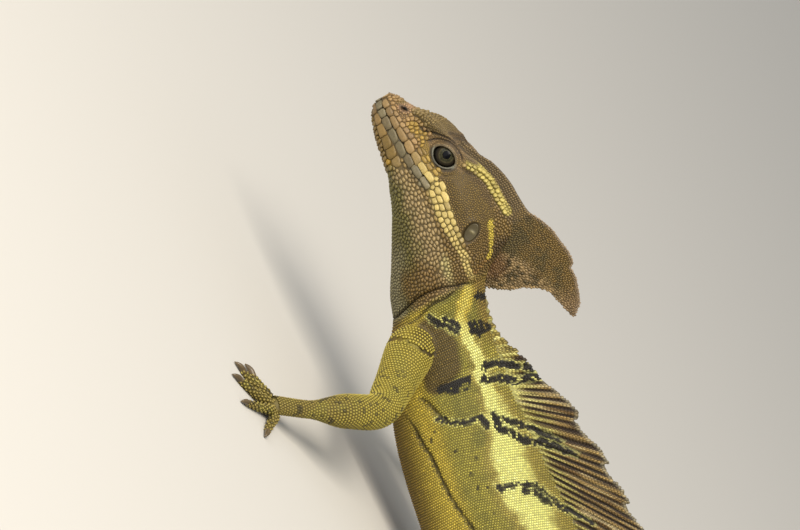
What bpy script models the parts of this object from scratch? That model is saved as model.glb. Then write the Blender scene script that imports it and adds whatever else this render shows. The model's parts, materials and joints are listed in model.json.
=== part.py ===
"""Common basilisk, an adult male, as a still life-size model that stands on the floor.

All values are metres. The row frame has +X towards the head, +Y to the animal's left and +Z up, and the
floor is z = 0. Stations along the body are x values measured from the left shoulder joint. The whole
animal is moved at the end, so that the origin lies under the middle of its box.
"""

import math

import bmesh
import bpy
import numpy as np
from mathutils import Vector

# Driving dimensions
SNOUT_X = 0.0662
HEAD_END_X, NECK_END_X = 0.0090, -0.0050
TAIL_START_X = -0.124
TAIL_LENGTH = 0.475
TAIL_CUTS = (0, 0.055, 0.170, 0.290, TAIL_LENGTH)
SHOULDER = (0.0, 0.012, 0.030)
GAP = 0.0003
WELD = 0.00001

# Section lines run from the top midline (0) round the left side to the bottom midline (8)
MOUTH_LINE = 4
BOTTOM_LINE = 8
SECTION_POINTS = 9

# Head and throat: x, then (half-width, height) on each of the nine section lines. Line 1 is the brow edge,
# line 3 the upper lip, line 4 the mouth, line 5 the lower lip, line 6 the jaw's edge and 7 the throat.
HEAD_SECTIONS = (
    (0.0655, ((0, .0573), (.0013, .0570), (.0019, .0562), (.0021, .0549), (.0021, .0542),
              (.0020, .0535), (.0017, .0529), (.0011, .0522), (0, .0519))),
    (0.0640, ((0, .0587), (.0022, .0583), (.0034, .0571), (.0038, .0556), (.0037, .0543),
              (.0036, .0532), (.0030, .0518), (.0018, .0507), (0, .0503))),
    (0.0600, ((0, .0608), (.0034, .0606), (.0048, .0588), (.0055, .0563), (.0053, .0547),
              (.0052, .0531), (.0043, .0506), (.0024, .0490), (0, .0485))),
    (0.0550, ((0, .0634), (.0052, .0641), (.0060, .0606), (.0069, .0571), (.0067, .0553),
              (.0065, .0534), (.0054, .0498), (.0030, .0478), (0, .0472))),
    (0.0500, ((0, .0658), (.0074, .0666), (.0075, .0624), (.0083, .0578), (.0081, .0558),
              (.0079, .0537), (.0066, .0488), (.0038, .0470), (0, .0466))),
    (0.0460, ((0, .0672), (.0085, .0682), (.0085, .0638), (.0092, .0583), (.0090, .0562),
              (.0088, .0539), (.0075, .0482), (.0042, .0463), (0, .0459))),
    (0.0420, ((0, .0682), (.0086, .0690), (.0092, .0640), (.0100, .0587), (.0098, .0566),
              (.0096, .0541), (.0083, .0475), (.0046, .0448), (0, .0443))),
    (0.0370, ((0, .0702), (.0068, .0698), (.0102, .0640), (.0109, .0593), (.0108, .0571),
              (.0106, .0544), (.0091, .0465), (.0050, .0430), (0, .0422))),
    (0.0300, ((0, .0721), (.0052, .0697), (.0110, .0638), (.0120, .0594), (.0120, .0573),
              (.0118, .0543), (.0100, .0450), (.0052, .0395), (0, .0382))),
    (0.0230, ((0, .0724), (.0046, .0690), (.0107, .0630), (.0122, .0588), (.0122, .0562),
              (.0120, .0530), (.0100, .0430), (.0050, .0358), (0, .0341))),
    (0.0160, ((0, .0690), (.0048, .0648), (.0100, .0592), (.0114, .0550), (.0115, .0524),
              (.0112, .0486), (.0092, .0400), (.0046, .0320), (0, .0299))),
    (0.0100, ((0, .0590), (.0052, .0566), (.0090, .0530), (.0100, .0496), (.0102, .0467),
              (.0100, .0430), (.0086, .0360), (.0048, .0296), (0, .0274))),
)

HEAD_TIP_X, SNOUT_TIP_Z = HEAD_SECTIONS[0][0], .0548

# Neck and trunk: x, height of the back, height of the belly, greatest half-width
TRUNK_SIZES = (
    (0.004, .0538, .0232, .0104),
    (-0.004, .0504, .0184, .0122),
    (-0.012, .0480, .0152, .0134),
    (-0.025, .0460, .0110, .0148),
    (-0.045, .0444, .0072, .0162),
    (-0.065, .0434, .0044, .0170),
    (-0.085, .0416, .0029, .0166),
    (-0.102, .0380, .0028, .0142),
    (-0.113, .0346, .0036, .0118),
    (-0.124, .0305, .0046, .0092),
)
# The trunk's section as shares of its half-width and of its depth from the belly up, deepest low down
TRUNK_SHAPE = ((0, 1), (.41, .925), (.69, .815), (.87, .68), (.965, .53), (1, .37), (.94, .195),
               (.60, .042), (0, 0))

# Tail: distance behind the vent as a share of the tail, half-height, half-width and height of its underside
TAIL_SIZES = (
    (.045, .0104, .0080, .0014),
    (.10, .0085, .0069, -.0009),
    (.20, .0068, .0058, -.0007),
    (.35, .0052, .0047, -.0005),
    (.55, .0036, .0034, -.0004),
    (.75, .0023, .0022, -.0002),
    (.90, .0014, .0014, -.0001),
    (1.0, .0007, .0007, -.0001),
)
TAIL_SWING = math.radians(24)
TAIL_WAVE = 0.52
TAIL_STEP = 0.001

# Head features, on the left side and mirrored
EYE_CENTRE = (.0432, .0058, .0637)
EYE_RADIUS = .0043
EYE_SLANT = math.radians(20)
LID_SHELL, DOME_SPREAD = .0009, .0030
LID_LONG, LID_SHORT, LID_RIM = .0037, .0028, .0005
EAR_CENTRE = (.0213, .0607)
EAR_LONG, EAR_SHORT, EAR_DEPTH = .0031, .0019, .0018
EAR_LEAN = math.radians(28)
EARDRUM_THICK = .0006
NOSTRIL = (.0602, .0048, .0592)
NOSTRIL_RADIUS, NOSTRIL_DEPTH = .0007, .0016
MOUTH_CORNER_X = .0330
BROW_FRONT, BROW_BACK, BROW_BULGE, BROW_GROOVE = .0600, .0370, .0007, .0004
MOUTH_DEPTH, LIP_BULGE = .0006, .0003

# Crest of the head: (x, z) along its upper edge, and along its root and free lower edge
CREST_TOP = ((.0445, .0688), (.0393, .0711), (.0358, .0731), (.0318, .0744), (.0276, .0751),
             (.0241, .0752), (.0191, .0757), (.0151, .0777), (.0115, .0791), (.0073, .0798),
             (.0037, .0803), (.0006, .0799), (-.0001, .0788), (-.0032, .0787), (-.0093, .0767),
             (-.0112, .0750), (-.0125, .0733))
CREST_ROOT = ((.0445, .0668), (.0400, .0675), (.0360, .0678), (.0320, .0678), (.0280, .0672),
              (.0245, .0660), (.0210, .0646), (.0175, .0622), (.0145, .0600), (.0115, .0568),
              (.0085, .0540), (.0052, .0565), (.0025, .0606), (.0008, .0650), (-.0025, .0698),
              (-.0070, .0714), (-.0122, .0727))
CREST_EDGE_THICK, CREST_ROOT_THICK, CREST_FULL_DEPTH = .0009, .0044, .0080

# Sail of the back: root x, length and rise of its rays
SAIL_RAYS = ((.0040, .0008, 62), (-.0010, .0018, 62), (-.0050, .0029, 62), (-.0100, .0074, 61),
             (-.0140, .0103, 60), (-.0177, .0124, 58), (-.0195, .0152, 55), (-.0228, .0211, 48),
             (-.0319, .0270, 40), (-.0388, .0318, 34), (-.0430, .0350, 31), (-.0500, .0368, 31),
             (-.0600, .0352, 32), (-.0700, .0318, 35), (-.0800, .0265, 38), (-.0900, .0195, 42),
             (-.1000, .0120, 47), (-.1070, .0066, 51), (-.1130, .0020, 54))
# Root x of the ray that carries each lobe of its margin, and how deep the notches are for lobes this far apart
SAIL_LOBES = (.0022, .0002, -.0018, -.0038, -.0056, -.0076, -.0104, -.0125, -.0142, -.0160, -.0177, -.0197,
              -.0211, -.0228, -.0319, -.0388, -.0455, -.0522, -.0592, -.0665, -.0742, -.0820, -.0900, -.0975, -.1045)
SAIL_NOTCH = .26
# Where the notch behind a wide lobe lies, as shares of the way to the next lobe and of the notch's depth
SAIL_TOOTH = ((.28, 1), (.55, .85), (.78, .15))
SAIL_WIDE_LOBE = .0045
SAIL_SUNK = .0025
# Sail of the tail: distance behind the vent, length and rise of its rays
TAIL_SAIL_RAYS = ((.004, .0020, 50), (.018, .0130, 46), (.034, .0220, 46), (.055, .0275, 46),
                  (.080, .0280, 46), (.115, .0225, 46), (.155, .0145, 46), (.195, .0070, 46),
                  (.225, .0020, 46))
TAIL_SAIL_PITCH = .0082
TAIL_SAIL_SUNK = .0016
RAY_THICK, WEB_THICK, ROOT_EXTRA = .0024, .0007, .0014
SCALLOP, EDGE_THINNING = .0018, .35
BLADE_ROWS = (0, .22, .5, .8, 1)

# Limbs: joints from the root inside the body to the knuckles, with the heading of the toes in degrees
ARMS = {
    "left": (((.000, .004, .029), SHOULDER, (-.0065, .0260, .0238), (-.0096, .0375, .0202),
              (-.0055, .0495, .0150), (-.0002, .0602, .0086), (.0050, .0690, .0034)), 52),
    "right": (((-.003, -.004, .029), (-.004, -.012, .030), (-.0140, -.0230, .0245), (-.0230, -.0310, .0200),
               (-.0310, -.0400, .0145), (-.0385, -.0490, .0086), (-.0330, -.0580, .0034)), -52),
}
LEGS = {
    "left": (((-.114, .003, .021), (-.1115, .0100, .0200), (-.1020, .0290, .0230), (-.0950, .0460, .0220),
              (-.1090, .0570, .0140), (-.1270, .0660, .0078), (-.1130, .0800, .0042)), 38),
    "right": (((-.114, -.003, .021), (-.1120, -.0100, .0200), (-.1080, -.0290, .0230),
               (-.1060, -.0470, .0210), (-.1200, -.0580, .0130), (-.1380, -.0680, .0078),
               (-.1260, -.0820, .0042)), -44),
}
ARM_RADII = (.0070, .0070, .0056, .0050, .0049, .0027, .0030)
LEG_RADII = (.0108, .0106, .0086, .0062, .0056, .0034, .0036)
LIMB_FLATTEN = (1.0, 1.0, 1.0, 1.0, .95, .85, .62)
# Digits: length and heading from the limb's own heading in degrees, inner digit first
FINGERS = ((.0090, -58), (.0135, -26), (.0172, -3), (.0180, 19), (.0120, 52))
TOES = ((.0120, -40), (.0200, -23), (.0320, -9), (.0460, 4), (.0250, 44))
FINGER_RADIUS, TOE_RADIUS = .0015, .0018
FINGER_CLAW, TOE_CLAW = .0036, .0044
DIGIT_KNOTS, DIGIT_TAPER = (0, .3, .55, .8, 1), (1.1, 1, .88, .78, .62)
DIGIT_ARCH, DIGIT_SUNK, CLAW_TIP_RISE = (0, .0008, .0003, 0, 0), .80, .0003

# Counts of facets
HEAD_ROWS = (0, .5, 1, 1.35, 1.8, 2.3, 2.8, 3.2, 3.55, 3.8, 4, 4.2, 4.45, 4.8, 5.3, 5.9, 6.5, 7.2, 8)
TRUNK_ROWS = (0, .5, 1, 1.6, 2.3, 3, 3.8, 4.6, 5.3, 6, 6.6, 7.2, 8)
TAIL_ROWS = (0, 1.4, 2.8, 4.2, 5.6, 7, 8)
NOSE_STEP, HEAD_STEP, NECK_STEP, TRUNK_STEP, TAIL_FACET = .00075, .0021, .0035, .0055, .0125
LIMB_SIDES, LIMB_STEP, JOINT_SUNK = 10, .0050, .0012
DIGIT_SIDES, DIGIT_RINGS, CLAW_SIDES = 6, 4, 4
EYE_SEGMENTS, NOSTRIL_SEGMENTS = 16, 8
RIM_RINGS, RIM_SIDES, RIM_SPREAD = 16, 5, 1.1

# Colours from the photograph, with roughness: linear RGB of the main ground colour of each kind of part
FINISHES = {
    "olive_skin": ((.23, .19, .055), .55),
    "brown_crest": ((.16, .10, .045), .6),
    "golden_flank": ((.30, .25, .05), .5),
    "eye": ((.03, .03, .02), .12),
    "eardrum": ((.09, .08, .05), .45),
}


def smooth_table(stations, values, at):
    """Values between stations by monotone cubic curves, which never overshoot a station."""
    xs = np.asarray(stations, float)
    ys = np.asarray(values, float).reshape(len(xs), -1)
    if xs[0] > xs[-1]:
        xs, ys = xs[::-1], ys[::-1]
    width = np.diff(xs)[:, None]
    slope = np.diff(ys, axis=0) / width
    tangent = np.zeros_like(ys)
    tangent[0], tangent[-1] = slope[0], slope[-1]
    before, after = slope[:-1], slope[1:]
    w_before, w_after = 2 * width[1:] + width[:-1], width[1:] + 2 * width[:-1]
    same = before * after > 0
    weights = w_before / np.where(same, before, 1) + w_after / np.where(same, after, 1)
    mean = (w_before + w_after) / weights
    tangent[1:-1] = np.where(same, mean, 0)
    at = np.clip(np.atleast_1d(np.asarray(at, float)), xs[0], xs[-1])
    i = np.clip(np.searchsorted(xs, at) - 1, 0, len(xs) - 2)
    step = (xs[i + 1] - xs[i])[:, None]
    t = ((at - xs[i]) / step[:, 0])[:, None]
    return (ys[i] * (2 * t**3 - 3 * t**2 + 1) + ys[i + 1] * (3 * t**2 - 2 * t**3)
            + tangent[i] * step * (t**3 - 2 * t**2 + t) + tangent[i + 1] * step * (t**3 - t**2))


def spline(a, b, c, d, t):
    """Point between b and c of a Catmull-Rom curve through four points."""
    return (b + .5 * t * (c - a) + t**2 * (a - 2.5 * b + 2 * c - .5 * d)
            + t**3 * (1.5 * b - .5 * a - 1.5 * c + .5 * d))


def smooth_path(points, share):
    """Points at shares 0 to 1 of a Catmull-Rom curve through the given points."""
    p = np.asarray(points, float)
    p = np.vstack([2 * p[0] - p[1], p, 2 * p[-1] - p[-2]])
    spans = len(p) - 3
    at = np.clip(np.atleast_1d(share), 0, 1) * spans
    i = np.minimum(at.astype(int), spans - 1)
    t = (at - i)[:, None]
    return spline(p[i], p[i + 1], p[i + 2], p[i + 3], t)


def tail_path():
    """The tail's course on the floor: distance behind the vent, x, y and heading, by small steps."""
    distance = np.arange(0, TAIL_LENGTH + TAIL_STEP, TAIL_STEP)
    heading = TAIL_SWING * np.sin(2 * math.pi * distance / TAIL_WAVE)
    x = TAIL_START_X - np.concatenate([[0], np.cumsum(np.cos(heading))[:-1]]) * TAIL_STEP
    y = -np.concatenate([[0], np.cumsum(np.sin(heading))[:-1]]) * TAIL_STEP
    return distance, x, y, heading


TAIL_DISTANCE, TAIL_X, TAIL_Y, TAIL_HEADING = tail_path()


def along(station):
    """Distance behind the snout of a station on the straight body."""
    return SNOUT_X - station


TAIL_START = along(TAIL_START_X)


def body_table():
    """Distance behind the snout and the nine section points at every station, from snout to tail tip."""
    stations, sections = [], []
    for x, section in HEAD_SECTIONS:
        stations.append(along(x))
        sections.append(section)
    for x, back, belly, half_width in TRUNK_SIZES:
        stations.append(along(x))
        sections.append([(half_width * a, belly + (back - belly) * b) for a, b in TRUNK_SHAPE])
    for share, half_height, half_width, underside in TAIL_SIZES:
        stations.append(TAIL_START + share * TAIL_LENGTH)
        angles = [math.pi * line / BOTTOM_LINE for line in range(SECTION_POINTS)]
        sections.append([(half_width * math.sin(a), underside + half_height * (1 + math.cos(a)))
                         for a in angles])
    return np.array(stations), np.array(sections, float)


BODY_STATIONS, BODY_SECTIONS = body_table()


def section_curve(control, rows):
    """Half of a section, from nine control points, at the given rows, with its outward normal."""
    mirrored = np.vstack([control[1] * (-1, 1), control, control[-2] * (-1, 1)])
    rows = np.asarray(rows, float)
    i = np.minimum(rows.astype(int), len(control) - 2)
    t = (rows - i)[:, None]
    a, b, c, d = mirrored[i], mirrored[i + 1], mirrored[i + 2], mirrored[i + 3]
    point = spline(a, b, c, d, t)
    run = (c - a) + 2 * (2 * a - 5 * b + 4 * c - d) * t + 3 * (3 * b - a - 3 * c + d) * t**2
    normal = np.stack([-run[:, 1], run[:, 0]], axis=1)
    normal /= np.linalg.norm(normal, axis=1)[:, None]
    return point, normal


def lip_relief(x, rows):
    """How far the lips stand out and the mouth's line sinks in, along the rows of a head section."""
    fade = np.clip((x - MOUTH_CORNER_X) / .003, 0, 1) * np.clip((SNOUT_X - x) / .002 + .4, 0, 1)
    from_line = np.abs(np.asarray(rows, float) - MOUTH_LINE)
    lips = LIP_BULGE * np.exp(-((from_line - .5) / .22) ** 2)
    line = -MOUTH_DEPTH * np.exp(-((from_line) / .12) ** 2)
    return fade * (lips + line)


def brow_relief(x, rows):
    """How far the brow stands out over the eye and the groove under it sinks in."""
    rows = np.asarray(rows, float)
    fade = np.clip((x - BROW_BACK) / .004, 0, 1) * np.clip((BROW_FRONT - x) / .010, 0, 1)
    bulge = BROW_BULGE * np.exp(-((rows - 1.2) / .35) ** 2)
    return fade * (bulge - BROW_GROOVE * np.exp(-((rows - 1.75) / .2) ** 2))


def lid_dome(x, half, normal):
    """How far the skin of a head section bulges over the eyeball."""
    room = np.column_stack([np.full(len(half), x), half[:, 0], half[:, 1]]) - np.array(EYE_CENTRE)
    ahead = normal[:, 0] * room[:, 1] + normal[:, 1] * room[:, 2]
    aside = room[:, 0]**2 + room[:, 1]**2 + room[:, 2]**2 - ahead**2
    reach = EYE_RADIUS + LID_SHELL
    over = np.sqrt(np.maximum(reach**2 - aside, 0)) - ahead
    edge = reach**2 + DOME_SPREAD**2 / 4
    return np.where((aside < edge) & (half[:, 0] > .004), np.maximum(over, 0), 0)


def body_frame(distance):
    """Middle of the section on the floor plan, and the direction to the animal's left."""
    if distance <= TAIL_START:
        return np.array([SNOUT_X - distance, 0.0]), np.array([0.0, 1.0])
    behind = distance - TAIL_START
    heading = np.interp(behind, TAIL_DISTANCE, TAIL_HEADING)
    centre = [np.interp(behind, TAIL_DISTANCE, TAIL_X), np.interp(behind, TAIL_DISTANCE, TAIL_Y)]
    return np.array(centre), np.array([-math.sin(heading), math.cos(heading)])


def body_ring(distance, rows, grow=0.0):
    """A closed ring of points round the body at a distance behind the snout, grown outwards if asked."""
    control = smooth_table(BODY_STATIONS, BODY_SECTIONS.reshape(len(BODY_STATIONS), -1), distance)[0]
    half, normal = section_curve(control.reshape(SECTION_POINTS, 2), rows)
    x = SNOUT_X - distance
    relief = lip_relief(x, rows) + brow_relief(x, rows)
    if abs(x - EYE_CENTRE[0]) < EYE_RADIUS + LID_SHELL:
        relief = relief + lid_dome(x, half, normal)
    half = half + normal * (grow + relief)[:, None]
    half[0, 0] = half[-1, 0] = 0
    centre, left = body_frame(distance)
    across = np.concatenate([half[:, 0], -half[-2:0:-1, 0]])
    height = np.concatenate([half[:, 1], half[-2:0:-1, 1]])
    ring = np.column_stack([centre[0] + left[0] * across, centre[1] + left[1] * across, height])
    if grow == 0:
        ring[:, 2] = np.maximum(ring[:, 2], 0)
    return ring


def back_height(distance):
    """Height of the back's midline."""
    return smooth_table(BODY_STATIONS, BODY_SECTIONS[:, 0, 1], distance)[0, 0]


def mesh_object(name, points, faces, finish):
    """A mesh object with recalculated normals, a material and smooth shading."""
    mesh = bpy.data.meshes.new(name)
    mesh.from_pydata([tuple(p) for p in points], [], faces)
    bm = bmesh.new()
    bm.from_mesh(mesh)
    bmesh.ops.remove_doubles(bm, verts=bm.verts, dist=1e-6)
    bmesh.ops.recalc_face_normals(bm, faces=bm.faces)
    bmesh.ops.triangulate(bm, faces=bm.faces)
    if bm.calc_volume(signed=True) < 0:
        bmesh.ops.reverse_faces(bm, faces=bm.faces)
    bm.to_mesh(mesh)
    bm.free()
    mesh.materials.append(material(finish))
    mesh.shade_smooth()
    obj = bpy.data.objects.new(name, mesh)
    bpy.context.scene.collection.objects.link(obj)
    return obj


def material(finish):
    """The shared material of a finish, made the first time it is asked for."""
    if finish not in bpy.data.materials:
        made = bpy.data.materials.new(finish)
        made.use_nodes = True
        colour, roughness = FINISHES[finish]
        shader = made.node_tree.nodes["Principled BSDF"]
        shader.inputs["Base Color"].default_value = (*colour, 1)
        shader.inputs["Roughness"].default_value = roughness
        shader.inputs["Metallic"].default_value = 0
    return bpy.data.materials[finish]


def loft(name, rings, finish, start_tip=None, end_tip=None):
    """A closed solid through rings of equal count, with a flat cap or a tip at each end."""
    count = len(rings[0])
    points = [tuple(p) for ring in rings for p in ring]
    faces = []
    for r in range(len(rings) - 1):
        for k in range(count):
            n = (k + 1) % count
            faces.append((r * count + k, (r + 1) * count + k, (r + 1) * count + n, r * count + n))
    for tip, first in ((start_tip, 0), (end_tip, (len(rings) - 1) * count)):
        if tip is None:
            faces.append(tuple(range(first, first + count)))
            continue
        points.append(tuple(tip))
        faces += [(first + k, first + (k + 1) % count, len(points) - 1) for k in range(count)]
    return mesh_object(name, points, faces, finish)


def evenly(start, end, step):
    """Values from start to end, spaced evenly by about a step."""
    return np.linspace(start, end, max(2, round(abs(end - start) / step) + 1))


def body_part(name, start, end, step, rows, finish, grow=0.0):
    """A length of the body between two distances behind the snout."""
    rings = [body_ring(d, rows, grow) for d in evenly(start, end, step)]
    return loft(name, rings, finish)


def body_core():
    """The trunk and the sail's length of the tail, grown by the gap, to cut what grows from them."""
    start = along(HEAD_END_X + TRUNK_STEP)
    end = TAIL_START + TAIL_SAIL_RAYS[-1][0] + TAIL_FACET
    return body_part("core", start, end, TRUNK_STEP, TRUNK_ROWS, "olive_skin", GAP)


def combine(target, pieces, operation):
    """Joins closed pieces to a target, or cuts them from it, and removes the pieces."""
    group = bpy.data.collections.new("pieces")
    bpy.context.scene.collection.children.link(group)
    for piece in pieces:
        bpy.context.scene.collection.objects.unlink(piece)
        group.objects.link(piece)
    boolean = target.modifiers.new("combine", "BOOLEAN")
    boolean.operation = operation
    boolean.operand_type = "COLLECTION"
    boolean.collection = group
    bpy.context.view_layer.update()
    result = bpy.data.meshes.new_from_object(target.evaluated_get(bpy.context.evaluated_depsgraph_get()))
    target.modifiers.clear()
    target.data = result
    for piece in list(group.objects):
        bpy.data.objects.remove(piece)
    bpy.data.collections.remove(group)
    keep_largest(target)
    return target


def keep_largest(obj):
    """Keeps only the largest closed surface of an object, without scraps that hang on it by an edge."""
    bm = bmesh.new()
    bm.from_mesh(obj.data)
    bmesh.ops.remove_doubles(bm, verts=bm.verts, dist=WELD)
    bmesh.ops.dissolve_degenerate(bm, edges=bm.edges, dist=WELD)
    bmesh.ops.triangulate(bm, faces=bm.faces)
    unseen, islands = set(bm.faces), []
    while unseen:
        island, edge = set(), [next(iter(unseen))]
        while edge:
            face = edge.pop()
            if face in island:
                continue
            island.add(face)
            sound = [e for e in face.edges if len(e.link_faces) == 2]
            edge += [f for e in sound for f in e.link_faces if f not in island]
        unseen -= island
        islands.append(island)
    if len(islands) > 1:
        islands.sort(key=lambda island: abs(sum(
            f.verts[0].co.dot(f.verts[1].co.cross(f.verts[2].co)) for f in island)))
        scraps = [f for island in islands[:-1] for f in island]
        bmesh.ops.delete(bm, geom=scraps, context="FACES")
    bm.to_mesh(obj.data)
    bm.free()


def oval(centre, axes, radii, segments=EYE_SEGMENTS):
    """An ellipsoid with three axis directions and radii."""
    bm = bmesh.new()
    bmesh.ops.create_uvsphere(bm, u_segments=segments, v_segments=segments // 2, radius=1)
    shape = np.array([tuple(v.co) for v in bm.verts]) * np.array(radii)
    points = shape @ np.array([tuple(Vector(a).normalized()) for a in axes]) + np.array(centre)
    faces = [tuple(v.index for v in f.verts) for f in bm.faces]
    bm.free()
    return mesh_object("oval", points, faces, "olive_skin")


def oval_plug(name, centre, long_way, short_way, out_way, long, short, low, high, finish):
    """A flat-ended plug of oval outline between two heights along its out direction."""
    angles = np.linspace(0, 2 * math.pi, EYE_SEGMENTS, endpoint=False)
    rim = np.outer(np.cos(angles) * long, long_way) + np.outer(np.sin(angles) * short, short_way)
    rings = [np.array(centre) + rim + np.array(out_way) * h for h in (low, high)]
    return loft(name, rings, finish)


def sections_along(path, radii, flatten, sides, step, start, end):
    """Rings square to a smooth path between two lengths, with radii that follow the path's points."""
    shares = np.linspace(0, 1, 400)
    line = smooth_path(path, shares)
    length = np.concatenate([[0], np.cumsum(np.linalg.norm(np.diff(line, axis=0), axis=1))])
    knots = np.linspace(0, 1, len(radii))
    rings = []
    for at in evenly(start, min(end, length[-1]), step):
        share = np.interp(at, length, shares)
        centre = smooth_path(path, [share])[0]
        ahead = smooth_path(path, [min(share + .004, 1)])[0] - smooth_path(path, [max(share - .004, 0)])[0]
        ahead = Vector(ahead).normalized()
        side = Vector((0, 0, 1)).cross(ahead).normalized()
        above = ahead.cross(side).normalized()
        wide = smooth_table(knots, radii, share)[0, 0]
        high = wide * smooth_table(knots, flatten, share)[0, 0]
        angles = np.linspace(0, 2 * math.pi, sides, endpoint=False)
        across = np.outer(np.cos(angles) * wide, side)
        rings.append(centre + across + np.outer(np.sin(angles) * high, above))
    return rings


def path_lengths(path):
    """Length along a smooth path at each of its points."""
    shares = np.linspace(0, 1, 400)
    line = smooth_path(path, shares)
    length = np.concatenate([[0], np.cumsum(np.linalg.norm(np.diff(line, axis=0), axis=1))])
    return np.interp(np.linspace(0, 1, len(path)), shares, length)


def digit(root, heading, length, radius):
    """A digit that arches from the palm and lies flat on the floor from its middle on, as a closed tube."""
    way = np.array([math.cos(heading), math.sin(heading), 0])
    radii = np.array(DIGIT_TAPER) * radius
    path = [root + way * length * share for share in DIGIT_KNOTS]
    for point, size, arch in zip(path[1:], radii[1:], DIGIT_ARCH[1:]):
        point[2] = size * DIGIT_SUNK + arch
    rings = sections_along(path, radii, [1] * len(radii), DIGIT_SIDES, length / DIGIT_RINGS, 0, 1)
    return loft("digit", rings, "olive_skin", end_tip=path[-1] + way * radii[-1] * .8), path[-1], way


def claw(root, way, length, radius):
    """A curved claw that leaves the end of a digit and comes down to the floor."""
    up = np.array([0, 0, 1])
    path = [root - way * radius, root + way * length * .4 + up * radius * .1, root + way * length * .8]
    path[-1][2] = max(CLAW_TIP_RISE * 2, path[-1][2] - radius * .4)
    rings = sections_along(path, [radius * .6, radius * .5, radius * .2], [1.2] * 3, CLAW_SIDES,
                           length * .45, 0, 1)
    tip = root + way * length
    tip[2] = CLAW_TIP_RISE
    return loft("claw", rings, "olive_skin", end_tip=tip)


def foot(name, path, radii, heading, digits, digit_radius, claw_length, start):
    """A hand or foot: the palm from the wrist to the knuckles with its digits and claws, flat below."""
    palm_rings = sections_along(path, radii, LIMB_FLATTEN, LIMB_SIDES, .003, start, 1)
    knuckles = np.array(path[-1])
    way = Vector(np.array(path[-1]) - np.array(path[-2])).normalized()
    palm = loft(name, palm_rings, "olive_skin", end_tip=knuckles + np.array(way) * .0022)
    pieces = []
    for index, (length, turn) in enumerate(digits):
        side = 1 if heading > 0 else -1
        angle = math.radians(heading + side * turn)
        across = np.array([-math.sin(math.radians(heading)), math.cos(math.radians(heading)), 0]) * side
        root = knuckles + across * (index - 2) * digit_radius * .95
        root = root - np.array([math.cos(angle), math.sin(angle), 0]) * .001
        root[2] = digit_radius * 1.15
        made, end, ahead = digit(root, angle, length, digit_radius)
        pieces += [made, claw(end, ahead, claw_length, digit_radius)]
    combine(palm, pieces, "UNION")
    for vertex in palm.data.vertices:
        vertex.co.z = max(vertex.co.z, 0)
    return palm


def grown_copy(obj):
    """A copy of a closed piece, grown outwards by the gap between nodes."""
    bm = bmesh.new()
    bm.from_mesh(obj.data)
    bm.normal_update()
    moves = [v.normal * GAP * min(2, v.calc_shell_factor()) for v in bm.verts]
    for vertex, move in zip(bm.verts, moves):
        vertex.co += move
    mesh = bpy.data.meshes.new("grown")
    bm.to_mesh(mesh)
    bm.free()
    grown = bpy.data.objects.new("grown", mesh)
    bpy.context.scene.collection.objects.link(grown)
    return grown


def limb(names, joints, heading, radii, digits, digit_radius, claw_length):
    """Upper part, lower part and foot of a limb, each parted from the one before it by a thin gap."""
    lengths = path_lengths(joints)
    bend, wrist = lengths[3], lengths[5]
    core = body_core()
    upper = loft(names[0], sections_along(joints, radii, LIMB_FLATTEN, LIMB_SIDES, LIMB_STEP, 0, bend),
                 "golden_flank")
    combine(upper, [core], "DIFFERENCE")
    lower = loft(names[1], sections_along(joints, radii, LIMB_FLATTEN, LIMB_SIDES, LIMB_STEP,
                                          bend - JOINT_SUNK, wrist), "olive_skin")
    combine(lower, [grown_copy(upper)], "DIFFERENCE")
    end = foot(names[2], joints, radii, heading, digits, digit_radius, claw_length, wrist - JOINT_SUNK)
    combine(end, [grown_copy(lower)], "DIFFERENCE")


def blade(name, right_face, left_face, finish):
    """A thin closed blade between two faces, each a list of columns of points from root to edge."""
    columns, rows = len(right_face), len(right_face[0])
    points = [tuple(p) for face in (right_face, left_face) for column in face for p in column]
    other, faces = columns * rows, []
    for c in range(columns - 1):
        for r in range(rows - 1):
            low, ahead = c * rows + r, (c + 1) * rows + r
            faces += [(low, ahead, ahead + 1), (low, ahead + 1, low + 1)]
            faces += [(other + low, other + ahead + 1, other + ahead), (other + low, other + low + 1,
                                                                         other + ahead + 1)]
        edge, root = c * rows + rows - 1, c * rows
        faces.append((edge, edge + rows, other + edge + rows, other + edge))
        faces.append((root, other + root, other + root + rows, root + rows))
    for c in (0, columns - 1):
        for r in range(rows - 1):
            low = c * rows + r
            faces.append((low, low + 1, other + low + 1, other + low))
    return mesh_object(name, points, faces, finish)


def sail(name, roots, tips, finish, ray_columns):
    """A thin fin between a row of root points and a row of tips, with its rays raised on both faces."""
    along_roots = np.gradient(np.array(roots), axis=0)
    sides = np.stack([-along_roots[:, 1], along_roots[:, 0], np.zeros(len(roots))], axis=1)
    sides /= np.maximum(np.linalg.norm(sides, axis=1), 1e-9)[:, None]
    faces = []
    for side in (-1, 1):
        face = []
        for root, tip, way, ray in zip(roots, tips, sides, ray_columns):
            base = RAY_THICK if ray else WEB_THICK
            thick = [base * (1 - EDGE_THINNING * row) + ROOT_EXTRA * (1 - row) ** 3 for row in BLADE_ROWS]
            half = [side * way * t / 2 for t in thick]
            face.append([root + (tip - root) * row + out for row, out in zip(BLADE_ROWS, half)])
        faces.append(face)
    return blade(name, *faces, finish)


def ray_stations(start, end, pitch):
    """Root stations of a sail, two to a ray, and which of them are rays."""
    count = round(abs(end - start) / pitch)
    stations = np.linspace(start, end, 2 * count + 1)
    return stations, [i % 2 == 1 for i in range(2 * count + 1)]


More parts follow.
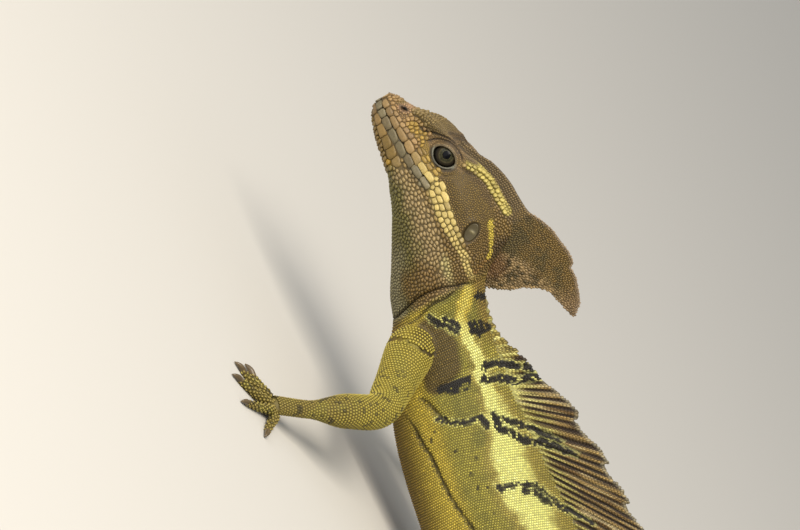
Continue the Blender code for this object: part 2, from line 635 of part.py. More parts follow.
def lobe_stations():
    """Root stations of the back's sail, each with how deep its margin is cut there, zero on a lobe."""
    stations = [(SAIL_RAYS[0][0], SAIL_NOTCH * (SAIL_RAYS[0][0] - SAIL_LOBES[0]))]
    for lobe, following in zip(SAIL_LOBES, SAIL_LOBES[1:]):
        stations.append((lobe, 0))
        gap = lobe - following
        tooth = SAIL_TOOTH if gap > SAIL_WIDE_LOBE else ((.5, 1),)
        for share, depth in tooth:
            stations.append((lobe - gap * share, SAIL_NOTCH * gap * depth))
    stations.append((SAIL_LOBES[-1], 0))
    stations.append((SAIL_RAYS[-1][0], SAIL_NOTCH * (SAIL_LOBES[-1] - SAIL_RAYS[-1][0])))
    return stations


def make_back_sail():
    """The sail of the back, from the nape to the hips, on rays that lean back."""
    table = np.array(SAIL_RAYS)
    roots, tips, rays = [], [], []
    for x, notch in lobe_stations():
        length, rise = smooth_table(table[:, 0], table[:, 1:], x)[0]
        length -= min(notch, length * .4)
        root = np.array([x, 0, back_height(along(x))])
        way = np.array([-math.cos(math.radians(rise)), 0, math.sin(math.radians(rise))])
        roots.append(root - np.array([0, 0, SAIL_SUNK]))
        tips.append(root + way * length)
        rays.append(notch == 0)
    fin = sail("back_sail", roots, tips, "brown_crest", rays)
    return combine(fin, [body_core()], "DIFFERENCE")


def make_tail_sail():
    """The sail of the tail, which follows its curve over the first half."""
    table = np.array(TAIL_SAIL_RAYS)
    stations, rays = ray_stations(table[0, 0], table[-1, 0], TAIL_SAIL_PITCH)
    roots, tips = [], []
    for behind, ray in zip(stations, rays):
        length, rise = smooth_table(table[:, 0], table[:, 1:], behind)[0]
        length -= 0 if ray else min(SCALLOP, length * .4)
        reach = length * math.cos(math.radians(rise))
        root_centre, _ = body_frame(TAIL_START + behind)
        tip_centre, _ = body_frame(TAIL_START + behind + reach)
        height = back_height(TAIL_START + behind)
        roots.append(np.array([*root_centre, height - TAIL_SAIL_SUNK]))
        tips.append(np.array([*tip_centre, height + length * math.sin(math.radians(rise))]))
    fin = sail("tail_sail", roots, tips, "brown_crest", rays)
    return combine(fin, [body_core()], "DIFFERENCE")


def make_head_crest():
    """The crest of the head, a blade that ends in a lobe over the nape."""
    free_x, free_share = (-.0125, .0052, .0100, .0445), (.35, .45, 1, 1)
    faces = []
    for side in (-1, 1):
        face = []
        for (tip_x, tip_z), (root_x, root_z) in zip(CREST_TOP, CREST_ROOT):
            full = min(1, math.hypot(tip_x - root_x, tip_z - root_z) / CREST_FULL_DEPTH)
            free = smooth_table(free_x, free_share, root_x)[0, 0]
            column = []
            for row in BLADE_ROWS:
                extra = (CREST_ROOT_THICK - CREST_EDGE_THICK) * full * (1 - row) ** 2
                half = side * (CREST_EDGE_THICK + extra) * free / 2
                column.append((root_x + (tip_x - root_x) * row, half, root_z + (tip_z - root_z) * row))
            face.append(column)
        faces.append(face)
    crest = blade("head_crest", *faces, "brown_crest")
    core = body_part("core", along(HEAD_TIP_X), along(NECK_END_X), HEAD_STEP, HEAD_ROWS, "olive_skin", GAP)
    return combine(crest, [core], "DIFFERENCE")


def eye_opening(turn):
    """A point on the almond outline of the eye's opening, as lengths along and across its slant."""
    return LID_LONG * math.cos(turn), LID_SHORT * math.sin(turn) * (.82 + .18 * abs(math.sin(turn)))


def eye_ways():
    """Directions along and across the slant of the eye's opening."""
    long_way = np.array([-math.cos(EYE_SLANT), 0, math.sin(EYE_SLANT)])
    return long_way, np.array([math.sin(EYE_SLANT), 0, math.cos(EYE_SLANT)])


def lid_rim(side):
    """The thickened rim of both lids, a ring that follows the eye's opening."""
    centre = np.array(EYE_CENTRE) * (1, side, 1)
    reach = EYE_RADIUS + LID_SHELL
    long_way, short_way = eye_ways()
    path = []
    for turn in np.linspace(0, 2 * math.pi, RIM_RINGS, endpoint=False):
        along_slant, across = eye_opening(turn)
        flat = long_way * (along_slant * RIM_SPREAD) + short_way * (across * RIM_SPREAD)
        path.append(flat + np.array([0, side, 0]) * math.sqrt(reach**2 - flat @ flat))
    points, faces = [], []
    for i, middle in enumerate(path):
        out = middle / np.linalg.norm(middle)
        run = path[(i + 1) % RIM_RINGS] - path[i - 1]
        over = np.cross(out, run / np.linalg.norm(run))
        angles = np.linspace(0, 2 * math.pi, RIM_SIDES, endpoint=False)
        ring = np.outer(np.cos(angles), out) + np.outer(np.sin(angles), over)
        points += [tuple(p) for p in centre + middle + ring * LID_RIM]
        for k in range(RIM_SIDES):
            n, j = (k + 1) % RIM_SIDES, (i + 1) % RIM_RINGS
            faces.append((i * RIM_SIDES + k, j * RIM_SIDES + k, j * RIM_SIDES + n, i * RIM_SIDES + n))
    return mesh_object("rim", points, faces, "olive_skin")


def opening_cutter(side):
    """A short bar with the outline of the eye's opening, to cut it through the lids."""
    centre = np.array(EYE_CENTRE) * (1, side, 1)
    long_way, short_way = eye_ways()
    rim = []
    for turn in np.linspace(0, 2 * math.pi, RIM_RINGS, endpoint=False):
        along_slant, across = eye_opening(turn)
        rim.append(long_way * along_slant + short_way * across)
    rings = [centre + np.array(rim) + np.array([0, side * depth, 0]) for depth in (0, EYE_RADIUS * 2)]
    return loft("opening", rings, "olive_skin")


def surface_y(x, z):
    """Half-width of the head at a height, on the side that faces out."""
    control = smooth_table(BODY_STATIONS, BODY_SECTIONS.reshape(len(BODY_STATIONS), -1), along(x))[0]
    half, _ = section_curve(control.reshape(SECTION_POINTS, 2), np.linspace(1, 7, 121))
    return half[np.argmin(np.abs(half[:, 1] - z)), 0]


def make_head():
    """The head and throat, with eye sockets, lids, ears, nostrils and the line of the mouth."""
    front = along(HEAD_TIP_X)
    stations = [front, front + NOSE_STEP]
    stations += list(evenly(front + 2 * NOSE_STEP, along(HEAD_END_X) - GAP / 2, HEAD_STEP))
    rings = [body_ring(d, HEAD_ROWS) for d in stations]
    head = loft("head", rings, "olive_skin", start_tip=(SNOUT_X, 0, SNOUT_TIP_Z))
    combine(head, [lid_rim(side) for side in (1, -1)], "UNION")
    cutters = [opening_cutter(side) for side in (1, -1)]
    long_way = np.array([math.sin(EAR_LEAN), 0, math.cos(EAR_LEAN)])
    short_way = np.array([math.cos(EAR_LEAN), 0, -math.sin(EAR_LEAN)])
    for side, name in ((1, "left"), (-1, "right")):
        out = np.array([0, side, 0])
        eye = np.array(EYE_CENTRE) * (1, side, 1)
        axes = ((1, 0, 0), (0, 1, 0), (0, 0, 1))
        cutters.append(oval(eye, axes, [EYE_RADIUS + GAP] * 3))
        ball = oval(eye, axes, [EYE_RADIUS] * 3)
        ball.name = "eye_" + name
        ball.data.materials[0] = material("eye")
        ear = np.array([EAR_CENTRE[0], side * surface_y(*EAR_CENTRE), EAR_CENTRE[1]])
        cutters.append(oval_plug("ear_hole", ear, long_way, short_way, out, EAR_LONG, EAR_SHORT,
                                 -EAR_DEPTH, .003, "olive_skin"))
        oval_plug("ear_" + name, ear, long_way, short_way, out, EAR_LONG - GAP, EAR_SHORT - GAP,
                  -EAR_DEPTH + GAP, -EAR_DEPTH + GAP + EARDRUM_THICK, "eardrum")
        nose = np.array(NOSTRIL) * (1, side, 1)
        cutters.append(oval(nose, ((1, 0, .3), (0, 1, 0), (-.3, 0, 1)),
                            (NOSTRIL_RADIUS * 1.3, NOSTRIL_DEPTH, NOSTRIL_RADIUS), NOSTRIL_SEGMENTS))
    return combine(head, cutters, "DIFFERENCE")


def make_body():
    """Neck, torso and the lengths of the tail."""
    head_end, neck_end = along(HEAD_END_X), along(NECK_END_X)
    body_part("neck", head_end + GAP / 2, neck_end - GAP / 2, NECK_STEP, HEAD_ROWS, "golden_flank")
    body_part("torso", neck_end + GAP / 2, TAIL_START - GAP / 2, TRUNK_STEP, TRUNK_ROWS, "golden_flank")
    names = ("tail_base", "tail_front", "tail_middle", "tail_tip")
    for name, start, end in zip(names, TAIL_CUTS, TAIL_CUTS[1:]):
        last = end == TAIL_LENGTH
        rows = TRUNK_ROWS if name == "tail_base" else TAIL_ROWS
        step = TRUNK_STEP if name == "tail_base" else TAIL_FACET
        stop = end - (TAIL_STEP if last else GAP / 2)
        stations = evenly(TAIL_START + start + GAP / 2, TAIL_START + stop, step)
        tip = [*body_frame(TAIL_START + end)[0], .0005] if last else None
        loft(name, [body_ring(d, rows) for d in stations], "olive_skin", end_tip=tip)


def make_limbs():
    """Both arms and both legs, with their hands and feet."""
    for side, (joints, heading) in ARMS.items():
        names = ["upper_arm_" + side, "forearm_" + side, "hand_" + side]
        limb(names, joints, heading, ARM_RADII, FINGERS, FINGER_RADIUS, FINGER_CLAW)
    for side, (joints, heading) in LEGS.items():
        names = ["thigh_" + side, "shin_" + side, "foot_" + side]
        limb(names, joints, heading, LEG_RADII, TOES, TOE_RADIUS, TOE_CLAW)


def centre_on_origin():
    """Moves every object so that the origin lies under the middle of the box of the whole animal."""
    objects = [o for o in bpy.context.scene.objects if o.type == "MESH"]
    points = np.array([tuple(v.co) for o in objects for v in o.data.vertices])
    low, high = points.min(axis=0), points.max(axis=0)
    shift = Vector((-(low[0] + high[0]) / 2, -(low[1] + high[1]) / 2, -low[2]))
    for o in objects:
        for vertex in o.data.vertices:
            vertex.co += shift
    return shift


def main():
    for old in list(bpy.data.objects):
        bpy.data.objects.remove(old)
    make_head()
    make_head_crest()
    make_body()
    make_back_sail()
    make_tail_sail()
    make_limbs()
    shift = centre_on_origin()
    print("moved by", [round(v, 6) for v in shift])


main()
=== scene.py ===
"""Looks of a common basilisk, an adult male, as a still life-size model on a pale floor.

All values are metres. Lengths along the animal are x values measured from the left shoulder joint, as in
the part's own source, and SHIFT carries them to the row frame. One skin stands for all nodes of flesh, and a
mosaic of scales, each a small closed plate, lies on it.
"""

import json
import logging
import math
from dataclasses import dataclass, field
from enum import Enum

import bmesh
import bpy
import numpy as np
from mathutils import Matrix, Vector
from mathutils.bvhtree import BVHTree
from mathutils.kdtree import KDTree

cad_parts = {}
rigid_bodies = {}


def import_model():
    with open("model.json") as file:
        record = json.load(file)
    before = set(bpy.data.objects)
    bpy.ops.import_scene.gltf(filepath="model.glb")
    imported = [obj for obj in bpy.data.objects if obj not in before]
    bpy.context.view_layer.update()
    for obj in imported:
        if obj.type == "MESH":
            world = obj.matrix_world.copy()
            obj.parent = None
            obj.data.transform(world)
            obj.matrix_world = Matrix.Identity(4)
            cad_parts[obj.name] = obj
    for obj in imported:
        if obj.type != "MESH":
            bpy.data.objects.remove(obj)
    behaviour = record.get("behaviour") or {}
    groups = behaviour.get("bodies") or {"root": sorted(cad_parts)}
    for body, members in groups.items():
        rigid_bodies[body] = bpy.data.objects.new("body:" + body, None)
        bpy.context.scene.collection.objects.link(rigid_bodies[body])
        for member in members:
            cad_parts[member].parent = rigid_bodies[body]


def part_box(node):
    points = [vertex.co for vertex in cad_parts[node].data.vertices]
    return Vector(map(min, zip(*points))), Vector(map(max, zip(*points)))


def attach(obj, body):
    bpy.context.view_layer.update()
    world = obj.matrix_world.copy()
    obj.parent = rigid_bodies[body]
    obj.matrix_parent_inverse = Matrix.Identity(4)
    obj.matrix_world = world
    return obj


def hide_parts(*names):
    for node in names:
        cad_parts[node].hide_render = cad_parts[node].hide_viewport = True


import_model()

Array = np.ndarray
Line = tuple[tuple[float, float], ...]

LOG = logging.getLogger("basilisk")

# Sizes of the body, the same as the part's
SNOUT_X, TAIL_START_X, TAIL_LENGTH = 0.0662, -0.124, 0.475
SHOULDER = (0.0, 0.012, 0.030)
BOTTOM_LINE, SECTION_POINTS = 8, 9
HEAD_SECTIONS = (
    (0.0655, ((0, .0573), (.0013, .0570), (.0019, .0562), (.0021, .0549), (.0021, .0542),
              (.0020, .0535), (.0017, .0529), (.0011, .0522), (0, .0519))),
    (0.0640, ((0, .0587), (.0022, .0583), (.0034, .0571), (.0038, .0556), (.0037, .0543),
              (.0036, .0532), (.0030, .0518), (.0018, .0507), (0, .0503))),
    (0.0600, ((0, .0608), (.0034, .0606), (.0048, .0588), (.0055, .0563), (.0053, .0547),
              (.0052, .0531), (.0043, .0506), (.0024, .0490), (0, .0485))),
    (0.0550, ((0, .0634), (.0052, .0641), (.0060, .0606), (.0069, .0571), (.0067, .0553),
              (.0065, .0534), (.0054, .0498), (.0030, .0478), (0, .0472))),
    (0.0500, ((0, .0658), (.0074, .0666), (.0075, .0624), (.0083, .0578), (.0081, .0558),
              (.0079, .0537), (.0066, .0488), (.0038, .0470), (0, .0466))),
    (0.0460, ((0, .0672), (.0085, .0682), (.0085, .0638), (.0092, .0583), (.0090, .0562),
              (.0088, .0539), (.0075, .0482), (.0042, .0463), (0, .0459))),
    (0.0420, ((0, .0682), (.0086, .0690), (.0092, .0640), (.0100, .0587), (.0098, .0566),
              (.0096, .0541), (.0083, .0475), (.0046, .0448), (0, .0443))),
    (0.0370, ((0, .0702), (.0068, .0698), (.0102, .0640), (.0109, .0593), (.0108, .0571),
              (.0106, .0544), (.0091, .0465), (.0050, .0430), (0, .0422))),
    (0.0300, ((0, .0721), (.0052, .0697), (.0110, .0638), (.0120, .0594), (.0120, .0573),
              (.0118, .0543), (.0100, .0450), (.0052, .0395), (0, .0382))),
    (0.0230, ((0, .0724), (.0046, .0690), (.0107, .0630), (.0122, .0588), (.0122, .0562),
              (.0120, .0530), (.0100, .0430), (.0050, .0358), (0, .0341))),
    (0.0160, ((0, .0690), (.0048, .0648), (.0100, .0592), (.0114, .0550), (.0115, .0524),
              (.0112, .0486), (.0092, .0400), (.0046, .0320), (0, .0299))),
    (0.0100, ((0, .0590), (.0052, .0566), (.0090, .0530), (.0100, .0496), (.0102, .0467),
              (.0100, .0430), (.0086, .0360), (.0048, .0296), (0, .0274))),
)
SNOUT_TIP_Z = .0548
TRUNK_SIZES = (
    (0.004, .0538, .0232, .0104), (-0.004, .0504, .0184, .0122), (-0.012, .0480, .0152, .0134),
    (-0.025, .0460, .0110, .0148), (-0.045, .0444, .0072, .0162), (-0.065, .0434, .0044, .0170),
    (-0.085, .0416, .0029, .0166), (-0.102, .0380, .0028, .0142), (-0.113, .0346, .0036, .0118),
    (-0.124, .0305, .0046, .0092),
)
TRUNK_SHAPE = ((0, 1), (.41, .925), (.69, .815), (.87, .68), (.965, .53), (1, .37), (.94, .195),
               (.60, .042), (0, 0))
TAIL_SIZES = ((.045, .0104, .0080, .0014), (.10, .0085, .0069, -.0009), (.20, .0068, .0058, -.0007),
              (.35, .0052, .0047, -.0005), (.55, .0036, .0034, -.0004), (.75, .0023, .0022, -.0002),
              (.90, .0014, .0014, -.0001), (1.0, .0007, .0007, -.0001))
TAIL_SWING, TAIL_WAVE, TAIL_STEP = math.radians(24), 0.52, 0.001

EYE_CENTRE, EYE_RADIUS, EYE_SLANT = (.0432, .0058, .0637), .0043, math.radians(20)
LID_SHELL, DOME_SPREAD, LID_LONG, LID_SHORT = .0009, .0030, .0037, .0028
EAR_CENTRE, EAR_LONG, EAR_SHORT, EAR_DEPTH = (.0213, .0607), .0031, .0019, .0018
EAR_LEAN = math.radians(28)
NOSTRIL = (.0602, .0592)
BROW_FRONT, BROW_BACK, BROW_BULGE = .0600, .0370, .0007

CREST_TOP = ((.0445, .0688), (.0393, .0711), (.0358, .0731), (.0318, .0744), (.0276, .0751),
             (.0241, .0752), (.0191, .0757), (.0151, .0777), (.0115, .0791), (.0073, .0798),
             (.0037, .0803), (.0006, .0799), (-.0001, .0788), (-.0032, .0787), (-.0093, .0767),
             (-.0112, .0750), (-.0125, .0733))
CREST_ROOT = ((.0445, .0668), (.0400, .0675), (.0360, .0678), (.0320, .0678), (.0280, .0672),
              (.0245, .0660), (.0210, .0646), (.0175, .0622), (.0145, .0600), (.0115, .0568),
              (.0085, .0540), (.0052, .0565), (.0025, .0606), (.0008, .0650), (-.0025, .0698),
              (-.0070, .0714), (-.0122, .0727))
CREST_EDGE_THICK, CREST_ROOT_THICK, CREST_FULL_DEPTH = .0009, .0044, .0080
SAIL_RAYS = ((.0040, .0008, 62), (-.0010, .0018, 62), (-.0050, .0029, 62), (-.0100, .0074, 61),
             (-.0140, .0103, 60), (-.0177, .0124, 58), (-.0195, .0152, 55), (-.0228, .0211, 48),
             (-.0319, .0270, 40), (-.0388, .0318, 34), (-.0430, .0350, 31), (-.0500, .0368, 31),
             (-.0600, .0352, 32), (-.0700, .0318, 35), (-.0800, .0265, 38), (-.0900, .0195, 42),
             (-.1000, .0120, 47), (-.1070, .0066, 51), (-.1130, .0020, 54))
TAIL_SAIL_RAYS = ((.004, .0020, 50), (.018, .0130, 46), (.034, .0220, 46), (.055, .0275, 46),
                  (.080, .0280, 46), (.115, .0225, 46), (.155, .0145, 46), (.195, .0070, 46),
                  (.225, .0020, 46))
SAIL_LOBES = (.0022, .0002, -.0018, -.0038, -.0056, -.0076, -.0104, -.0125, -.0142, -.0160, -.0177, -.0197,
              -.0211, -.0228, -.0319, -.0388, -.0455, -.0522, -.0592, -.0665, -.0742, -.0820, -.0900,
              -.0975, -.1045)
SAIL_TOOTH, SAIL_WIDE_LOBE = ((.28, 1), (.55, .85), (.78, .15)), .0045
SAIL_NOTCH, TAIL_SAIL_PITCH, SAIL_SUNK, TAIL_SAIL_SUNK = .26, .0082, .0025, .0016
RAY_THICK, WEB_THICK, ROOT_EXTRA, EDGE_THINNING = .0022, .0006, .0014, .35

ARMS = {
    "left": (((.000, .004, .029), SHOULDER, (-.0065, .0260, .0238), (-.0096, .0375, .0202),
              (-.0055, .0495, .0150), (-.0002, .0602, .0086), (.0050, .0690, .0034)), 52),
    "right": (((-.003, -.004, .029), (-.004, -.012, .030), (-.0140, -.0230, .0245), (-.0230, -.0310, .0200),
               (-.0310, -.0400, .0145), (-.0385, -.0490, .0086), (-.0330, -.0580, .0034)), -52),
}
LEGS = {
    "left": (((-.114, .003, .021), (-.1115, .0100, .0200), (-.1020, .0290, .0230), (-.0950, .0460, .0220),
              (-.1090, .0570, .0140), (-.1270, .0660, .0078), (-.1130, .0800, .0042)), 38),
    "right": (((-.114, -.003, .021), (-.1120, -.0100, .0200), (-.1080, -.0290, .0230),
               (-.1060, -.0470, .0210), (-.1200, -.0580, .0130), (-.1380, -.0680, .0078),
               (-.1260, -.0820, .0042)), -44),
}
ARM_RADII = (.0070, .0070, .0056, .0050, .0049, .0027, .0030)
LEG_RADII = (.0108, .0106, .0086, .0062, .0056, .0034, .0036)
LIMB_FLATTEN = (1.0, 1.0, 1.0, 1.0, .95, .85, .62)
FINGERS = ((.0090, -58), (.0135, -26), (.0172, -3), (.0180, 19), (.0120, 52))
TOES = ((.0120, -40), (.0200, -23), (.0320, -9), (.0460, 4), (.0250, 44))
FINGER_RADIUS, TOE_RADIUS, FINGER_CLAW, TOE_CLAW = .0015, .0018, .0036, .0044
DIGIT_KNOTS, DIGIT_TAPER = (0, .3, .55, .8, 1), (1.1, 1, .88, .78, .62)
DIGIT_ARCH, DIGIT_SUNK = (0, .0008, .0003, 0, 0), .80
# The rise of the back into each sail's root: most, share of the rays' length, and width
BACK_SADDLE, TAIL_SADDLE, SADDLE_POWER = (.0045, .375, .0017), (.0026, .35, .0011), 1.1

# How deep the skin lies under the solids' surface, which the tops of the scales reach
COAT_DEPTH = .00025
FLESH = ["head", "neck", "torso", "tail_base", "tail_front", "tail_middle", "tail_tip"]
FLESH += [part + side for side in ("_left", "_right")
          for part in ("upper_arm", "forearm", "hand", "thigh", "shin", "foot")]


def eye_shift() -> Array:
    """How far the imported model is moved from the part's own frame, read off the left eye's node."""
    low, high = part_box("eye_left")
    return (np.array(low) + np.array(high)) / 2 - np.array(EYE_CENTRE)


SHIFT = eye_shift() * (1, 1, 0)


def smooth_table(stations: Array, values: Array, at: Array) -> Array:
    """Values between stations by monotone cubic curves, which never overshoot a station.

    Args:
        stations: Where the values are known, rising or falling.
        values: One row of values for each station.
        at: Where values are wanted.

    Returns:
        One row of values for each wanted place.
    """
    xs = np.asarray(stations, float)
    ys = np.asarray(values, float).reshape(len(xs), -1)
    if xs[0] > xs[-1]:
        xs, ys = xs[::-1], ys[::-1]
    width = np.diff(xs)[:, None]
    slope = np.diff(ys, axis=0) / width
    tangent = np.zeros_like(ys)
    tangent[0], tangent[-1] = slope[0], slope[-1]
    before, after = slope[:-1], slope[1:]
    w_before, w_after = 2 * width[1:] + width[:-1], width[1:] + 2 * width[:-1]
    same = before * after > 0
    weights = w_before / np.where(same, before, 1) + w_after / np.where(same, after, 1)
    tangent[1:-1] = np.where(same, (w_before + w_after) / weights, 0)
    at = np.clip(np.atleast_1d(np.asarray(at, float)), xs[0], xs[-1])
    i = np.clip(np.searchsorted(xs, at) - 1, 0, len(xs) - 2)
    step = (xs[i + 1] - xs[i])[:, None]
    t = ((at - xs[i]) / step[:, 0])[:, None]
    return (ys[i] * (2 * t**3 - 3 * t**2 + 1) + ys[i + 1] * (3 * t**2 - 2 * t**3)
            + tangent[i] * step * (t**3 - 2 * t**2 + t) + tangent[i + 1] * step * (t**3 - t**2))


def spline(a: Array, b: Array, c: Array, d: Array, t: Array) -> Array:
    """Point between b and c of a Catmull-Rom curve through four points."""
    return (b + .5 * t * (c - a) + t**2 * (a - 2.5 * b + 2 * c - .5 * d)
            + t**3 * (1.5 * b - .5 * a - 1.5 * c + .5 * d))


def smooth_path(points: Array, share: Array) -> Array:
    """Points at shares 0 to 1 of a Catmull-Rom curve through the given points."""
    p = np.asarray(points, float)
    p = np.vstack([2 * p[0] - p[1], p, 2 * p[-1] - p[-2]])
    spans = len(p) - 3
    at = np.clip(np.atleast_1d(share), 0, 1) * spans
    i = np.minimum(at.astype(int), spans - 1)
    return spline(p[i], p[i + 1], p[i + 2], p[i + 3], (at - i)[:, None])


def unit(vectors: Array) -> Array:
    """Vectors brought to length one."""
    return vectors / np.maximum(np.linalg.norm(vectors, axis=-1, keepdims=True), 1e-12)


def ramp(value: Array, low: float, high: float) -> Array:
    """A smooth step from 0 at low to 1 at high."""
    t = np.clip((np.asarray(value, float) - low) / (high - low), 0, 1)
    return t * t * (3 - 2 * t)


def near_line(points: Array, line: Line) -> tuple[Array, Array]:
    """Distance of side-view points from a line of straight pieces.

    Args:
        points: x and z of each point.
        line: The corners of the line, as (x, z).

    Returns:
        The distance of each point, and how far along the line it is, from 0 to 1.
    """
    corners = np.array(line, float)
    best = np.full(len(points), 1e9)
    share = np.zeros(len(points))
    for i, (a, b) in enumerate(zip(corners, corners[1:])):
        run = b - a
        t = np.clip((points - a) @ run / (run @ run), 0, 1)
        gap = np.linalg.norm(points - a - t[:, None] * run, axis=1)
        closer = gap < best
        best = np.where(closer, gap, best)
        share = np.where(closer, (i + t) / (len(corners) - 1), share)
    return best, share


def grain(points: Array, size: float, seed: int = 0) -> Array:
    """Smooth random values from -1 to 1, of a given grain size, the same on every run."""
    at = points / size + 100 + seed * 7.31
    cell = np.floor(at).astype(np.int64)
    t = at - cell
    t = t * t * (3 - 2 * t)
    total = np.zeros(len(points))
    for corner in range(8):
        step = np.array([corner & 1, corner >> 1 & 1, corner >> 2 & 1])
        c = cell + step
        key = (c[:, 0] * 73856093) ^ (c[:, 1] * 19349663) ^ (c[:, 2] * 83492791) ^ (seed * 2654435)
        key = (key * 1103515245 + 12345) & 0x7FFFFFFF
        key = ((key >> 13) ^ key) * 69069 & 0x7FFFFFFF
        weight = np.prod(np.where(step == 1, t, 1 - t), axis=1)
        total += weight * (key / 0x3FFFFFFF - 1)
    return total


@dataclass(frozen=True)
class Fold:
    """A crease (negative) or ridge of skin along a line on the animal's side."""

    line: Line
    width: float
    height: float


# Creases and ridges of the skin, as (x, z) lines seen from the side
MOUTH = ((.0675, .0540), (.0648, .0541), (.0582, .0543), (.0541, .0547), (.0491, .0551), (.0445, .0557),
         (.0407, .0563), (.0380, .0566))
BROW_GROOVE = ((.0545, .0606), (.0522, .0616), (.0514, .0627), (.0502, .0642), (.0486, .0659),
               (.0469, .0673),
               (.0451, .0683), (.0433, .0690), (.0413, .0695), (.0400, .0699))
LID_GROOVE = ((.0500, .0606), (.0491, .0620), (.0488, .0634), (.0480, .0649), (.0465, .0666), (.0448, .0677),
              (.0430, .0681), (.0410, .0681), (.0395, .0676))
LOWER_GROOVE = ((.0472, .0618), (.0460, .0610), (.0445, .0607), (.0428, .0607), (.0409, .0614),
                (.0396, .0628),
                (.0389, .0648))
CANTHUS = ((.0578, .0606), (.0555, .0615), (.0541, .0621), (.0524, .0624))
UPPER_LINE = ((.0531, .0621), (.0521, .0634), (.0503, .0655), (.0483, .0673), (.0465, .0684))
HEAD_GROOVES = (BROW_GROOVE, LID_GROOVE, LOWER_GROOVE)
GULAR_FOLDS = (((.0084, .0548), (.0097, .0522), (.0106, .0489), (.0118, .0456), (.0123, .0417),
                (.0122, .0380),
                (.0111, .0330), (.0103, .0295), (.0100, .0262)),
               ((.0094, .0501), (.0086, .0450), (.0088, .0420), (.0086, .0400), (.0072, .0358),
                (.0066, .0303),
                (.0062, .0240)))
BELLY_CREASE = ((-.0150, .0208), (-.0196, .0214), (-.0243, .0215), (-.0281, .0220), (-.0356, .0217),
                (-.0397, .0216),
                (-.0432, .0219), (-.0473, .0225), (-.0509, .0232), (-.0700, .0240), (-.0900, .0230))
ARMPIT = ((-.0122, .0262), (-.0142, .0277), (-.0163, .0284), (-.0184, .0289), (-.0203, .0297),
          (-.0222, .0310))
SHOULDER_FOLD = ((.0056, .0262), (.0053, .0298), (.0034, .0319), (.0007, .0336), (-.0013, .0349),
                 (-.0040, .0357))
UPPER_FOLD = ((-.0120, .0303), (-.0119, .0351), (-.0118, .0380), (-.0114, .0410), (-.0111, .0430))
FOLDS = (
    Fold(MOUTH, .00018, -.00045),
    Fold(GULAR_FOLDS[0], .00055, -.00130),
    Fold(GULAR_FOLDS[1], .00050, -.00090),
    Fold(BROW_GROOVE, .00032, -.00085),
    Fold(LID_GROOVE, .00028, -.00060),
    Fold(LOWER_GROOVE, .00028, -.00045),
    Fold(CANTHUS, .00030, -.00035),
    Fold(UPPER_LINE, .00025, -.00030),
    Fold(((.0560, .0630), (.0540, .0645), (.0515, .0668), (.0480, .0690), (.0440, .0703)), .00080, .00030),
    Fold(((.0398, .0656), (.0372, .0668), (.0345, .0683)), .00035, -.00045),
    Fold(((.0401, .0604), (.0383, .0615), (.0375, .0644)), .00028, -.00045),
)
# Creases that also cross the roots of the arms, pressed into the fused skin
LATE_FOLDS = (
    Fold(BELLY_CREASE, .00055, -.00110),
    Fold(ARMPIT, .00080, -.00100),
    Fold(SHOULDER_FOLD, .00055, -.00120),
    Fold(UPPER_FOLD, .00040, -.00060),
)
CREASE_LINES = (MOUTH, *HEAD_GROOVES, *GULAR_FOLDS, BELLY_CREASE, ARMPIT, SHOULDER_FOLD)
BACK_LINE = ((-.124, -.113, -.102, -.085, -.065, -.045, -.025, -.012, -.004, .004),
             (.0305, .0346, .0380, .0416, .0434, .0444, .0460, .0480, .0504, .0538))
CROWN = ((.0660, .0610, .0580, .0545, .0515, .0480, .0440, .0410, .0370),
         (0, -.0004, -.0004, .0004, .0004, -.0001, -.0005, -.0003, 0))


